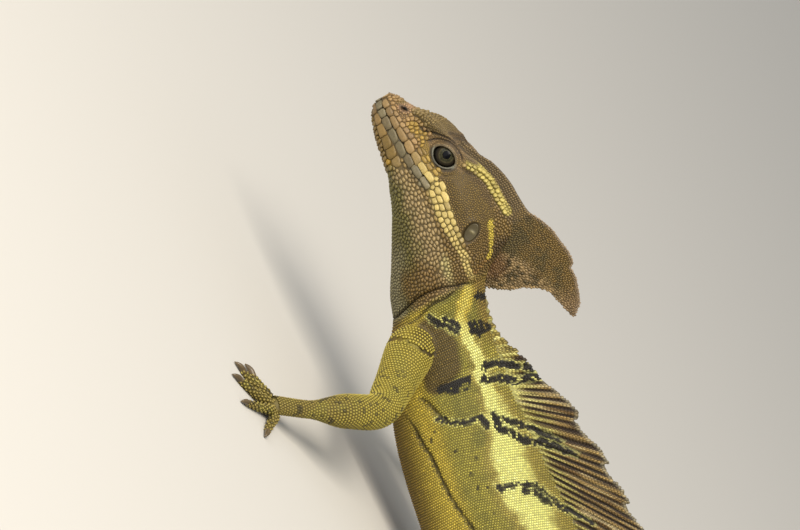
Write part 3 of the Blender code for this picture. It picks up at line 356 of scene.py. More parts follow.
class BodyShape:
    """The surface of head, trunk and tail: a distance behind the snout and a section line give a point."""

    def __init__(self) -> None:
        """Works out the sections at every station and the tail's course on the floor."""
        stations: list[float] = []
        sections: list = []
        for x, section in HEAD_SECTIONS:
            stations.append(SNOUT_X - x)
            sections.append(section)
        for x, back, belly, half_width in TRUNK_SIZES:
            stations.append(SNOUT_X - x)
            sections.append([(half_width * a, belly + (back - belly) * b) for a, b in TRUNK_SHAPE])
        self.tail_start = SNOUT_X - TAIL_START_X
        for share, half_height, half_width, underside in TAIL_SIZES:
            stations.append(self.tail_start + share * TAIL_LENGTH)
            angles = [math.pi * line / BOTTOM_LINE for line in range(SECTION_POINTS)]
            sections.append([(half_width * math.sin(a), underside + half_height * (1 + math.cos(a)))
                             for a in angles])
        self.stations = np.array(stations)
        self.sections = np.array(sections, float).reshape(len(stations), -1)
        self.behind = np.arange(0, TAIL_LENGTH + TAIL_STEP, TAIL_STEP)
        self.heading = TAIL_SWING * np.sin(2 * math.pi * self.behind / TAIL_WAVE)
        self.tail_x = TAIL_START_X - np.concatenate([[0], np.cumsum(np.cos(self.heading))[:-1]]) * TAIL_STEP
        self.tail_y = -np.concatenate([[0], np.cumsum(np.sin(self.heading))[:-1]]) * TAIL_STEP
        saddles = []
        for rays, start, way, (most, share, wide) in ((SAIL_RAYS, SNOUT_X, -1, BACK_SADDLE),
                                                      (TAIL_SAIL_RAYS, self.tail_start, 1, TAIL_SADDLE)):
            saddles += [(start + way * at, min(most, share * length), wide) for at, length, _ in rays]
        self.saddles = np.array(saddles).T

    def saddle(self, distance: Array, across: Array) -> tuple[Array, Array]:
        """How far the back rises into a sail's root, and that rise's slope, at widths from the midline."""
        at, high, wide = self.saddles
        high = np.interp(distance, at, high, left=0, right=0)
        wide = np.interp(distance, at, wide)
        share = np.maximum(across, 0) / wide
        rise = high * np.exp(-share**SADDLE_POWER)
        return rise, -rise * SADDLE_POWER / wide * np.maximum(share, .02) ** (SADDLE_POWER - 1)

    def half(self, distance: Array, rows: Array) -> tuple[Array, Array]:
        """Half-width and height of section points, with their outward normals.

        Args:
            distance: Distances behind the snout.
            rows: Section lines, one for each distance.

        Returns:
            The points and the normals, as pairs.
        """
        control = smooth_table(self.stations, self.sections, distance).reshape(-1, SECTION_POINTS, 2)
        flip = np.array([-1, 1])
        mirrored = np.concatenate([control[:, 1:2] * flip, control, control[:, -2:-1] * flip], axis=1)
        i = np.minimum(rows.astype(int), SECTION_POINTS - 2)
        t = (rows - i)[:, None]
        k = np.arange(len(rows))
        a, b, c, d = (mirrored[k, i + j] for j in range(4))
        run = (c - a) + 2 * (2 * a - 5 * b + 4 * c - d) * t + 3 * (3 * b - a - 3 * c + d) * t**2
        place = spline(a, b, c, d, t)
        rise, slope = self.saddle(distance, place[:, 0])
        place[:, 1] += rise
        return place, unit(np.stack([-run[:, 1] - slope * run[:, 0], run[:, 0]], axis=1))

    def relief(self, x: Array, rows: Array, half: Array, normal: Array) -> Array:
        """How far lids, brow, lips, folds, ears and nostrils stand out from the plain sections."""
        side = np.column_stack([x, half[:, 1]])
        fade = np.clip((x - BROW_BACK) / .004, 0, 1) * np.clip((BROW_FRONT - x) / .010, 0, 1)
        total = fade * BROW_BULGE * np.exp(-((rows - 1.2) / .35) ** 2)
        total += np.interp(-x, -np.array(CROWN[0]), CROWN[1]) * (1 - ramp(rows, 1.2, 1.8))
        total += self.lid_dome(x, half, normal)
        upright = np.clip(np.abs(normal[:, 0]) * 2.5, 0, 1)
        for fold in FOLDS:
            gap, share = near_line(side, fold.line)
            ends = np.clip(share / .12, 0, 1) * np.clip((1 - share) / .12, 0, 1)
            ends = np.ones_like(ends) if fold.line is MOUTH else ends
            total += upright * ends * fold.height * np.exp(-(gap / fold.width) ** 2)
        total += .00025 * np.exp(-((near_line(side, MOUTH)[0] - .0010) / .0007) ** 2) * (x > .0380)
        total += self.eye_relief(side) * (half[:, 0] > .003)
        nose = self.nostril_share(side)
        total += .00030 * np.exp(-((nose - 2.1) / .8) ** 2) - .0014 * (1 - ramp(nose, .6, 1.25))
        ear = self.ear_share(side)
        total += (.00025 * np.exp(-((ear - 1.25) / .2) ** 2) - EAR_DEPTH * (1 - ramp(ear, .62,
                                                                                     1.02))) * upright
        return total

    @staticmethod
    def lid_dome(x: Array, half: Array, normal: Array) -> Array:
        """How far the skin bulges over the eyeball."""
        room = np.column_stack([x, half[:, 0], half[:, 1]]) - np.array(EYE_CENTRE)
        ahead = normal[:, 0] * room[:, 1] + normal[:, 1] * room[:, 2]
        aside = (room**2).sum(axis=1) - ahead**2
        reach = EYE_RADIUS + LID_SHELL
        over = np.sqrt(np.maximum(reach**2 - aside, 0)) - ahead
        inside = (aside < reach**2 + DOME_SPREAD**2 / 4) & (half[:, 0] > .004)
        return np.where(inside & (np.abs(room[:, 0]) < reach), np.maximum(over, 0), 0)

    @staticmethod
    def eye_place(side: Array) -> tuple[Array, Array, Array]:
        """Place of side-view points in the eye's opening: along and across its slant, and how far outside."""
        x, z = side[:, 0] - EYE_CENTRE[0], side[:, 1] - EYE_CENTRE[2]
        long_way = -x * math.cos(EYE_SLANT) + z * math.sin(EYE_SLANT)
        short_way = x * math.sin(EYE_SLANT) + z * math.cos(EYE_SLANT)
        high = np.abs(short_way / LID_SHORT) / np.maximum(np.hypot(long_way / LID_LONG,
                                                                   short_way / LID_SHORT), 1e-6)
        ratio = np.hypot(long_way / LID_LONG, short_way / (LID_SHORT * (.82 + .18 * high)))
        return long_way, short_way, (ratio - 1) * np.hypot(long_way, short_way) / np.maximum(ratio, .01)

    def eye_relief(self, side: Array) -> Array:
        """The opening of the lids, sunk below the eyeball."""
        _, _, outside = self.eye_place(side)
        return -.0019 * (1 - ramp(outside, -.0004, .0001))

    @staticmethod
    def nostril_share(side: Array) -> Array:
        """Distance of side-view points from the nostril's centre as a share of its slit."""
        x, z = side[:, 0] - NOSTRIL[0], side[:, 1] - NOSTRIL[1]
        return np.hypot((x * .77 - z * .64) / .00085, (x * .64 + z * .77) / .00042)

    @staticmethod
    def ear_share(side: Array) -> Array:
        """Distance of side-view points from the ear's centre as a share of its oval."""
        x, z = side[:, 0] - EAR_CENTRE[0], side[:, 1] - EAR_CENTRE[1]
        long_way = x * math.sin(EAR_LEAN) + z * math.cos(EAR_LEAN)
        short_way = x * math.cos(EAR_LEAN) - z * math.sin(EAR_LEAN)
        return np.hypot(long_way / EAR_LONG, short_way / EAR_SHORT)

    def point(self, distance: Array, rows: Array, side: Array, lift: float = -COAT_DEPTH) -> Array:
        """Points of the skin in the row frame.

        Args:
            distance: Distances behind the snout.
            rows: Section lines, from 0 on the back to 8 on the belly.
            side: 1 for the left, -1 for the right.
            lift: How far outside the plain surface.

        Returns:
            One point for each distance.
        """
        half, normal = self.half(distance, rows)
        x = SNOUT_X - distance
        head = x > -.100
        raised = np.zeros(len(x))
        raised[head] = self.relief(x[head], rows[head], half[head], normal[head])
        half = half + normal * (lift + raised)[:, None]
        half[:, 0] = np.where((rows <= 0) | (rows >= BOTTOM_LINE), 0, np.maximum(half[:, 0], 0))
        behind = distance - self.tail_start
        turn = np.where(behind > 0, np.interp(behind, self.behind, self.heading), 0)
        middle_x = np.where(behind > 0, np.interp(behind, self.behind, self.tail_x), x)
        middle_y = np.where(behind > 0, np.interp(behind, self.behind, self.tail_y), 0)
        across = side * half[:, 0]
        points = np.column_stack([middle_x - np.sin(turn) * across, middle_y + np.cos(turn) * across,
                                  np.maximum(half[:, 1], 0)])
        return points + SHIFT

    def frame(self, distance: Array, rows: Array, side: Array) -> tuple[Array, Array, Array]:
        """Points of the skin with their outward normals and the direction towards the tail."""
        step = .00012
        centre = self.point(distance, rows, side)
        back = self.point(distance + step, rows, side) - self.point(np.maximum(distance - step, .0008),
                                                                    rows, side)
        down = self.point(distance, np.minimum(rows + .03, 8), side) - self.point(
            distance, np.maximum(rows - .03, 0), side)
        normal = unit(np.cross(down, back)) * np.asarray(side)[:, None]
        return centre, normal, unit(back)

    def arcs(self, distance: float) -> tuple[Array, Array]:
        """Section lines from back to belly at one distance, and the length round the body at each."""
        rows = np.linspace(0, BOTTOM_LINE, 161)
        half, _ = self.half(np.full(161, distance), rows)
        return rows, np.concatenate([[0], np.cumsum(np.linalg.norm(np.diff(half, axis=0), axis=1))])

    def rows_at_height(self, x: Array, z: Array) -> Array:
        """Section lines of points on the side with the given x and z."""
        rows = np.linspace(.6, 7.6, 141)
        found = []
        for one_x, one_z in zip(x, z):
            half, _ = self.half(np.full(141, SNOUT_X - one_x), rows)
            found.append(rows[np.argmin(np.abs(half[:, 1] - one_z))])
        return np.array(found)

    def back_height(self, distance: Array) -> Array:
        """Height of the back's midline."""
        return smooth_table(self.stations, self.sections[:, 1:2], distance)[:, 0]

    def middle(self, distance: Array) -> Array:
        """Points of the midline on the floor plan."""
        behind = np.asarray(distance) - self.tail_start
        x = np.where(behind > 0, np.interp(behind, self.behind, self.tail_x), SNOUT_X - distance)
        return np.column_stack([x, np.where(behind > 0, np.interp(behind, self.behind, self.tail_y), 0)])


class Tube:
    """A tapering limb or digit round a smooth path, the same as the part's."""

    SAMPLES = 400

    def __init__(self, path: Array, radii: Array, flatten: Array) -> None:
        """Works out the centre line, its frame and its radii at many samples."""
        shares = np.linspace(0, 1, self.SAMPLES)
        self.line = smooth_path(path, shares)
        self.length = np.concatenate([[0], np.cumsum(np.linalg.norm(np.diff(self.line, axis=0), axis=1))])
        ahead = unit(smooth_path(path, np.minimum(shares + .004, 1))
                     - smooth_path(path, np.maximum(shares - .004, 0)))
        self.ahead = ahead
        self.side = unit(np.cross([0, 0, 1], ahead))
        self.above = unit(np.cross(ahead, self.side))
        knots = np.linspace(0, 1, len(radii))
        self.wide = smooth_table(knots, radii, shares)[:, 0]
        self.high = self.wide * smooth_table(knots, flatten, shares)[:, 0]
        self.knots = np.interp(np.linspace(0, 1, len(path)), shares, self.length)

    def at(self, values: Array, length: Array) -> Array:
        """Values that belong to the samples, at given lengths along the tube."""
        values = values.reshape(self.SAMPLES, -1)
        return np.column_stack([np.interp(length, self.length,
                                          values[:, k]) for k in range(values.shape[1])])

    def point(self, length: Array, angle: Array, lift: float = -COAT_DEPTH) -> Array:
        """Points on the tube in the row frame, at lengths along it and angles round it."""
        wide, high = self.at(self.wide, length)[:, 0] + lift, self.at(self.high, length)[:, 0] + lift
        points = self.at(self.line, length)
        points = points + self.at(self.side, length) * (np.cos(angle) * wide)[:, None]
        points = points + self.at(self.above, length) * (np.sin(angle) * high)[:, None]
        points[:, 2] = np.maximum(points[:, 2], 0)
        return points + SHIFT

    def frame(self, length: Array, angle: Array) -> tuple[Array, Array, Array]:
        """Points on the tube with their outward normals and the direction towards its end."""
        centre = self.point(length, angle)
        out = self.at(self.side, length) * np.cos(angle)[:, None] + self.at(self.above,
                                                                            length) * np.sin(angle)[:, None]
        return centre, unit(out), unit(self.at(self.ahead, length))


@dataclass(frozen=True)
class Limb:
    """An arm or a leg with its digits."""

    name: str
    joints: tuple
    heading: float
    radii: tuple[float, ...]
    digits: tuple[tuple[float, float], ...]
    digit_radius: float
    claw: float

    def tube(self) -> Tube:
        """The limb from its root to the knuckles."""
        return Tube(np.array(self.joints), np.array(self.radii), np.array(LIMB_FLATTEN))

    def digit_tubes(self) -> list[tuple[Tube, Array, Array]]:
        """Each digit as a tube, with its end and its heading."""
        made = []
        knuckles = np.array(self.joints[-1])
        side = 1 if self.heading > 0 else -1
        turn = math.radians(self.heading)
        across = np.array([-math.sin(turn), math.cos(turn), 0]) * side
        for index, (length, spread) in enumerate(self.digits):
            angle = math.radians(self.heading + side * spread)
            way = np.array([math.cos(angle), math.sin(angle), 0])
            root = knuckles + across * (index - 2) * self.digit_radius * .95 - way * .001
            root[2] = self.digit_radius * 1.15
            radii = np.array(DIGIT_TAPER) * self.digit_radius
            path = [root + way * length * share for share in DIGIT_KNOTS]
            for point, size, arch in zip(path[1:], radii[1:], DIGIT_ARCH[1:]):
                point[2] = size * DIGIT_SUNK + arch
            made.append((Tube(np.array(path), radii, np.ones(len(radii))), path[-1], way))
        return made


def all_limbs() -> list[Limb]:
    """Both arms and both legs."""
    limbs = []
    for side, (joints, heading) in ARMS.items():
        limbs.append(Limb("arm_" + side, joints, heading, ARM_RADII, FINGERS, FINGER_RADIUS, FINGER_CLAW))
    for side, (joints, heading) in LEGS.items():
        limbs.append(Limb("leg_" + side, joints, heading, LEG_RADII, TOES, TOE_RADIUS, TOE_CLAW))
    return limbs


BODY = BodyShape()
LIMBS = all_limbs()


def linear(hex_colour: str) -> Array:
    """Linear RGB of an sRGB hex colour."""
    parts = np.array([int(hex_colour[i:i + 2], 16) for i in (1, 3, 5)]) / 255
    return np.where(parts <= .04045, parts / 12.92, ((parts + .055) / 1.055) ** 2.4)


def mix(base: Array, over: Array, share: Array) -> Array:
    """Base colours covered by another colour or colours, by a share at each point."""
    return base + (over - base) * np.asarray(share)[:, None]


class Tone(Enum):
    """The animal's own colours, and tones for painted shade in creases and grooves and for painted highlights
    on the sail.
    """

    HEAD_OLIVE = "#745C28"
    SNOUT_TAN = "#947647"
    LIP_PINK = "#8C7246"
    LIP_GREY = "#6F674B"
    CHIN_OCHRE = "#735C27"
    CHIN_YELLOW = "#9A781C"
    CHEEK_YELLOW = "#BCA761"
    PREOCULAR_YELLOW = "#9F8232"
    BEAD_YELLOW = "#B4A456"
    TEMPLE_BROWN = "#6F5920"
    CASQUE_GREY = "#74613D"
    THROAT_OLIVE = "#635A22"
    THROAT_AMBER = "#72551D"
    THROAT_GREEN = "#6A6428"
    THROAT_TAN = "#947E51"
    THROAT_GREY = "#857D5B"
    JOWL_CREAM = "#BCB172"
    LOBE_OLIVE = "#645529"
    LOBE_PALE = "#D8B579"
    LOBE_TIP = "#A78963"
    LOBE_GOLD = "#80662E"
    LOBE_EDGE = "#A68F70"
    NECK_YELLOW = "#D9C148"
    NAPE_AMBER = "#8D6B35"
    SHOULDER_BROWN = "#6D5A29"
    BACK_YELLOW = "#F7F595"
    FLANK_GOLD = "#BBA853"
    FLANK_OLIVE = "#AA9F41"
    FLANK_GREEN = "#90893A"
    BELLY_YELLOW = "#C4AE3F"
    BELLY_OCHRE = "#856A20"
    ARM_YELLOW = "#B6A540"
    FOREARM_BROWN = "#907E3A"
    SAIL_TAN = "#AC8F52"
    SAIL_BROWN = "#6A4E22"
    SAIL_EDGE = "#A79E80"
    TAIL_OLIVE = "#8B8048"
    TAIL_BAND = "#5D5130"
    MARK_BLACK = "#262219"
    CREASE_BROWN = "#33260F"
    LOBE_RUST = "#8A5A22"
    NOSTRIL_PINK = "#B18A6A"
    SAIL_OLIVE = "#9A8535"
    SAIL_PALE = "#CDBB88"
    SAIL_GROOVE = "#2C1A0A"
    LID_PALE = "#AAA78F"
    LID_TAN = "#957849"
    CASQUE_RUST = "#8C6A30"
    SNOUT_GREY = "#786435"
    LID_BROWN = "#5A4626"

    def rgb(self) -> Array:
        """The colour as linear RGB."""
        return linear(self.value)


def repeated(line: Line, back: float, down: float) -> Line:
    """A marking's line moved back and down for the part of the animal that repeats it."""
    return tuple((x - back, z - down) for x, z in line)


PAIR_THREE_UP = ((-.0431, .0339), (-.0449, .0349), (-.0453, .0369), (-.0469, .0398), (-.0477, .0414),
                 (-.0499, .0423),
                 (-.0531, .0432), (-.0554, .0442), (-.0580, .0452), (-.0604, .0470), (-.0623, .0484),
                 (-.0660, .0505))
PAIR_THREE_LOW = ((-.0477, .0389), (-.0494, .0397), (-.0498, .0410), (-.0515, .0417), (-.0532, .0423),
                  (-.0560, .0432))


class Markings:
    """The animal's pattern, with painted shade in its creases, grooves and hollows: a colour for any point of
    its skin, the same for skin and scales.
    """

    # Black bars: a line on the side, and half its width
    BARS: tuple[tuple[Line, float], ...] = (
        (((.0066, .0388), (.0062, .0393), (.0037, .0401), (.0023, .0416), (.0004, .0430), (-.0018, .0441)),
         .0009),
        (((.0043, .0418), (.0030, .0431), (.0010, .0444), (-.0006, .0447)), .0005),
        (((-.0198, .0281), (-.0210, .0299), (-.0224, .0315), (-.0237, .0337), (-.0247, .0361),
          (-.0245, .0373)), .0007),
        (((-.0242, .0388), (-.0267, .0389), (-.0287, .0392)), .0008),
        (((-.0139, .0444), (-.0129, .0461), (-.0139, .0483), (-.0159, .0508), (-.0176, .0529),
          (-.0195, .0554),
          (-.0211, .0567)), .0009),
        (((-.0153, .0438), (-.0166, .0439), (-.0173, .0457), (-.0189, .0480), (-.0211, .0504),
          (-.0216, .0538),
          (-.0238, .0573)), .0010),
        (((-.0274, .0431), (-.0298, .0439), (-.0323, .0457), (-.0345, .0481), (-.0374, .0502),
          (-.0403, .0517),
          (-.0422, .0536)), .0008),
        (((-.0255, .0418), (-.0273, .0417), (-.0300, .0412), (-.0321, .0429), (-.0354, .0446),
          (-.0373, .0454),
          (-.0395, .0490), (-.0420, .0514), (-.0446, .0536), (-.0468, .0555)), .0009),
        (PAIR_THREE_UP, .0007),
        (PAIR_THREE_LOW, .0006),
        (repeated(PAIR_THREE_UP, .0195, .0006), .0007),
        (repeated(PAIR_THREE_LOW, .0195, .0006), .0006),
        (repeated(PAIR_THREE_UP, .0385, .0036), .0006),
        (repeated(PAIR_THREE_LOW, .0385, .0036), .0005),
    )
    # Black patches: their outlines on the side
    BLOCKS: tuple[Line, ...] = (
        ((-.0123, .0305), (-.0141, .0328), (-.0162, .0364), (-.0164, .0399), (-.0135, .0414),
         (-.0128, .0397),
         (-.0124, .0365), (-.0121, .0332), (-.0123, .0305)),
        ((-.0002, .0470), (-.0011, .0496), (-.0035, .0512), (-.0050, .0511), (-.0051, .0478),
         (-.0035, .0464),
         (-.0002, .0470)),
        ((.0058, .0512), (.0040, .0520), (.0030, .0534), (.0042, .0540), (.0060, .0530), (.0058, .0512)),
    )
    SPOTS: Line = ((-.0242, .0240), (-.0297, .0290), (-.0312, .0300), (-.0374, .0297), (-.0342, .0328),
                   (-.0420, .0295), (-.0425, .0316), (-.0225, .0262), (-.0500, .0300), (-.0560, .0320),
                   (-.0640, .0290), (-.0700, .0310), (-.0760, .0280), (-.0840, .0300), (-.0920, .0270))
    STRIPE: Line = ((.0105, .0545), (.0088, .0530), (.0066, .0508), (.0045, .0485), (.0018, .0462),
                    (-.0020, .0456),
                    (-.0055, .0454), (-.0091, .0450), (-.0148, .0436), (-.0205, .0430), (-.0254, .0424),
                    (-.0307, .0418), (-.0384, .0398), (-.0450, .0386), (-.0490, .0385), (-.0540, .0388),
                    (-.0610, .0385), (-.0800, .0368), (-.1050, .0330), (-.1240, .0285))
    STRIPE_HALF: Line = ((-.12, .0018), (-.07, .0040), (-.049, .0045), (-.038, .0041), (-.030, .0031),
                         (-.020, .0021),
                         (-.010, .0015), (.0, .0016), (.0105, .0013))
    CHEEK: Line = ((.0385, .0578), (.0356, .0577), (.0290, .0566), (.0223, .0564), (.0191, .0563),
                   (.0162, .0560),
                   (.0129, .0552), (.0107, .0545))
    CHEEK_HALF: Line = ((.0107, .0009), (.0162, .0011), (.0191, .0013), (.0223, .0018), (.0290, .0024),
                        (.0356, .0028), (.0385, .0018))
    PREOCULAR: Line = ((.0550, .0594), (.0510, .0606), (.0480, .0600), (.0445, .0597), (.0405, .0602))
    CHAIN: Line = ((.0398, .0666), (.0386, .0681), (.0356, .0696), (.0318, .0706), (.0273, .0706),
                   (.0240, .0708), (.0215, .0708))
    EAR_STRIPE: Line = ((.0214, .0662), (.0206, .0658), (.0185, .0647), (.0164, .0635), (.0142, .0619),
                        (.0130, .0605))
    EAR_EDGE: Line = ((.0130, .0605), (.0123, .0583), (.0117, .0567), (.0106, .0550))
    SHOULDER_PATCH: Line = ((.0020, .0370), (-.0030, .0385), (-.0080, .0370), (-.0100, .0335))

    def body(self, p: Array) -> Array:
        """Colours of points of head, neck, trunk and tail.

        Args:
            p: Points in the part's own frame, with the tail laid straight behind the body.

        Returns:
            Linear RGB at each point.
        """
        side = p[:, [0, 2]]
        wobble = grain(p, .0018, 1) * .0004 + grain(p, .0007, 2) * .0002
        colour = mix(self.trunk(p, side), self.head(p, side), ramp(p[:, 0] + wobble, .0080, .0105))
        colour = self.inked(p, colour)
        near = np.abs(p[:, 1]) < .0195
        # Painted shade: the mouth slit and the creases of head, throat, belly, armpit and shoulder are
        # darkened along their lines.
        for line in CREASE_LINES:
            gap, share = near_line(side, line)
            ends = np.clip(share / .08, 0, 1) * np.clip((1 - share) / .08, 0, 1)
            dark = .8 * near * ends * np.exp(-(gap / .00042) ** 2)
            colour = mix(colour, Tone.CREASE_BROWN.rgb(), dark)
        return colour

    def inked(self, p: Array, colour: Array) -> Array:
        """The colours with the black bars, patches and specks of neck, trunk and sail over them."""
        side = p[:, [0, 2]]
        wobble = grain(p, .0013, 1) * .00045 + grain(p, .0006, 2) * .0003
        holes = .9 * ramp(grain(p, .0009, 5), .50, .62)
        for line, half_width in self.BARS:
            gap, share = near_line(side, line)
            taper = np.clip(share / .12 + .35, 0, 1) * np.clip((1 - share) / .15 + .3, 0, 1)
            over = gap + wobble - half_width * taper
            colour = mix(colour, Tone.BACK_YELLOW.rgb(), .35 * (1 - ramp(over, .0003, .0008)))
            colour = mix(colour, Tone.MARK_BLACK.rgb(), (1 - ramp(over, -.0001, .0002)) * (1 - holes))
        for outline in self.BLOCKS:
            gap, _ = near_line(side, outline)
            inside = np.zeros(len(p), bool)
            for (ax, az), (bx, bz) in zip(outline, outline[1:]):
                crosses = (az > side[:, 1]) != (bz > side[:, 1])
                inside ^= crosses & (side[:, 0] < ax + (side[:, 1] - az) / np.where(crosses, bz - az,
                                                                                    1) * (bx - ax))
            depth = np.where(inside, gap, -gap) + wobble
            colour = mix(colour, Tone.MARK_BLACK.rgb(), ramp(depth, -.0002, .0001) * (1 - holes))
        for x, z in self.SPOTS:
            gap = np.hypot(side[:, 0] - x, side[:, 1] - z)
            colour = mix(colour, Tone.MARK_BLACK.rgb(), .85 * (1 - ramp(gap + wobble, .0003, .0006)))
        return colour

    def trunk(self, p: Array, side: Array) -> Array:
        """Colours of the neck, trunk and tail without their black bars."""
        x, z = side[:, 0], side[:, 1]
        soft = grain(p, .006, 3) * .5 + grain(p, .0022, 4) * .5
        top = np.interp(x, [-.124, -.085, -.045, -.012, .01], [.0305, .0416, .0444, .048, .055])
        low = np.interp(x, [-.124, -.085, -.045, -.012, .01], [.0046, .0029, .0072, .0152, .0274])
        level = (z - low) / (top - low)
        flank = mix(Tone.FLANK_OLIVE.rgb()[None, :].repeat(len(p), 0), Tone.FLANK_GREEN.rgb(),
                    ramp(soft, -.25, .6))
        belly = mix(Tone.BELLY_YELLOW.rgb()[None, :].repeat(len(p), 0), Tone.BELLY_OCHRE.rgb(),
                    ramp(.35 - level, 0, .33))
        colour = mix(belly, flank, ramp(level, .38, .52))
        stripe, _ = near_line(side, self.STRIPE)
        width = np.interp(x, *np.array(self.STRIPE_HALF).T)
        fringe = (stripe + soft * .0012 + grain(p, .0011, 13) * .0005) / width
        colour = mix(colour, Tone.FLANK_GOLD.rgb(), .7 * (1 - ramp(fringe, .9, 1.9)))
        colour = mix(colour, Tone.BACK_YELLOW.rgb(), .95 * (1 - ramp(fringe, .55, 1.15)))
        fresh = ramp(x, -.006, .004) * (1 - ramp((stripe + soft * .0008) / width, .9, 1.6))
        colour = mix(colour, Tone.NECK_YELLOW.rgb(), .75 * fresh)
        saddle = ramp(z - np.interp(x, *BACK_LINE), -.0010, .0012)
        colour = mix(colour, Tone.SAIL_OLIVE.rgb(), .35 * saddle)
        patch, _ = near_line(side, self.SHOULDER_PATCH)
        brown = 1 - ramp(patch + soft * .0010, .0032, .0050)
        colour = mix(colour, Tone.SHOULDER_BROWN.rgb(), .95 * brown)
        nape = ramp(level, .90, .99) * ramp(x, -.012, -.002) * (1 - ramp(x, .0085, .011))
        colour = mix(colour, Tone.NAPE_AMBER.rgb(), .6 * nape)
        behind = TAIL_START_X - x
        tail = ramp(behind, -.012, .030)
        bands = ramp(np.sin(behind * 2 * math.pi / .022 + soft * 1.2), .1, .7) * ramp(behind, .03, .09)
        tail_colour = mix(Tone.TAIL_OLIVE.rgb()[None, :].repeat(len(p), 0), Tone.TAIL_BAND.rgb(), .8 * bands)
        return mix(colour, tail_colour, tail)

    def head(self, p: Array, side: Array) -> Array:
        """Colours of the head and throat."""
        x, z = side[:, 0], side[:, 1]
        soft = grain(p, .004, 6) * .6 + grain(p, .0016, 7) * .4
        count = len(p)
        colour = Tone.HEAD_OLIVE.rgb()[None, :].repeat(count, 0)
        colour = mix(colour, Tone.SNOUT_TAN.rgb(), ramp(x + soft * .002, .046, .052))
        ridge = z - np.interp(x, [.045, .050, .055, .060, .0655], [.0655, .0636, .0612, .0592, .0567])
        colour = mix(colour, Tone.SNOUT_GREY.rgb(), ramp(ridge + soft * .0006, -.0006, .0008)
                     * ramp(x, .040, .050) * (1 - ramp(x, .0615, .0640)))
        colour = mix(colour, Tone.CASQUE_GREY.rgb(), ramp(z - np.interp(x, [.02, .045], [.0700, .0675]),
                                                          -.0012, .0008))
        temple = np.hypot((x - .0295) / .0095, (z - .0640) / .0052)
        colour = mix(colour, Tone.TEMPLE_BROWN.rgb(), .85 * (1 - ramp(temple + soft * .15, .8, 1.15)))
        behind_ear = np.hypot((x - .0125) / .0035, (z - .0665) / .0050)
        colour = mix(colour, Tone.LID_BROWN.rgb() * .5, .75 * (1 - ramp(behind_ear + soft * .3, .6, 1.4)))
        jaw = np.interp(x, [.010, .016, .023, .030, .037, .046, .060],
                        [.0500, .0515, .0535, .0545, .0550, .0535, .0520])
        throat = 1 - ramp(z - jaw + soft * .0008, -.0022, .0004)
        low = np.interp(x, [.010, .023, .037, .055], [.0274, .0341, .0415, .0472])
        depth = (jaw - z) / np.maximum(jaw - low, .001)
        under = mix(Tone.THROAT_TAN.rgb()[None, :].repeat(count, 0), Tone.THROAT_OLIVE.rgb(),
                    ramp(depth + soft * .25, .30, .62))
        under = mix(under, Tone.THROAT_GREEN.rgb(),
                    .75 * ramp(depth + soft * .15, .62, .85) * ramp(x, .024, .034))
        under = mix(under, Tone.THROAT_GREY.rgb(), .8 * ramp(depth + soft * .1, .66,
                                                             .85) * (1 - ramp(x, .022, .032)))
        amber = np.hypot((x - .0150) / .0075, (z - .0415) / .0070)
        under = mix(under, Tone.THROAT_AMBER.rgb(), .75 * (1 - ramp(amber + soft * .25, .5, 1.2)))
        under = mix(under, Tone.CHIN_OCHRE.rgb(), ramp(x + soft * .002, .045, .050))
        patches = ramp(grain(p, .0030, 8), .12, .38) * ramp(x, .041, .046) * (1 - ramp(x, .058, .061))
        under = mix(under, Tone.CHIN_YELLOW.rgb(), .85 * patches)
        jowl = np.hypot((x - .0137) / .0060, (z - .0522) / .0040)
        under = mix(under, Tone.JOWL_CREAM.rgb(), .8 * (1 - ramp(jowl + soft * .2, .5, 1.2)))
        colour = mix(colour, under, throat)
        mouth, _ = near_line(side, MOUTH)
        over = z > np.interp(x, [c[0] for c in MOUTH[::-1]], [c[1] for c in MOUTH[::-1]])
        lips = (1 - ramp(mouth, .0021, .0027)) * ramp(x, .0375, .0395)
        colour = mix(colour, np.where(over[:, None], Tone.LIP_PINK.rgb(), Tone.LIP_GREY.rgb()), .9 * lips)
        cheek, _ = near_line(side, self.CHEEK)
        width = np.interp(x, *np.array(self.CHEEK_HALF).T)
        colour = mix(colour, Tone.CHEEK_YELLOW.rgb(),
                     .95 * (1 - ramp((cheek + soft * .0006) / width, .8, 1.2)))
        rear_lip = lips * over * (1 - ramp(x, .041, .049))
        colour = mix(colour, Tone.CHEEK_YELLOW.rgb(), .85 * rear_lip)
        for line, width, tone, share in ((self.PREOCULAR, .0013, Tone.PREOCULAR_YELLOW, .8),
                                         (self.CHAIN, .0010, Tone.BEAD_YELLOW, 1.0),
                                         (self.EAR_EDGE, .0004, Tone.CASQUE_RUST, .8),
                                         (self.EAR_STRIPE, .00062, Tone.NECK_YELLOW, .85)):
            gap, along = near_line(side, line)
            wide = width * np.where(line is self.EAR_STRIPE, 1 - .65 * along, 1)
            colour = mix(colour, tone.rgb(), share * (1 - ramp(gap + soft * .0003, wide * .75, wide * 1.25)))
        # Painted shade: a dark band in the groove under the ridge of postocular beads.
        beneath, _ = near_line(side - np.array([0, -.0018]), self.CHAIN)
        dark = (1 - ramp(beneath, .0006, .0016)) * ramp(soft, -.5,
                                                        .3) * (near_line(side, self.CHAIN)[0] > .0011)
        colour = mix(colour, Tone.LID_BROWN.rgb(), .55 * dark)
        _, short_way, outside = BodyShape.eye_place(side)
        bands = (1 - ramp(outside, .0022, .0034)) * ramp(short_way, -.0010, .0010)
        colour = mix(colour, Tone.LID_TAN.rgb(), .85 * bands)
        rim = 1 - ramp(outside, .0003, .0006)
        colour = mix(colour, Tone.LID_PALE.rgb(), rim * (1 - .7 * ramp(short_way, -.0006, .0010)))
        # Painted shade: a thin dark ring in the crease just outside the lids' rim.
        crease = np.exp(-((outside - .0008) / .00018) ** 2)
        colour = mix(colour, Tone.LID_BROWN.rgb(), .55 * crease)
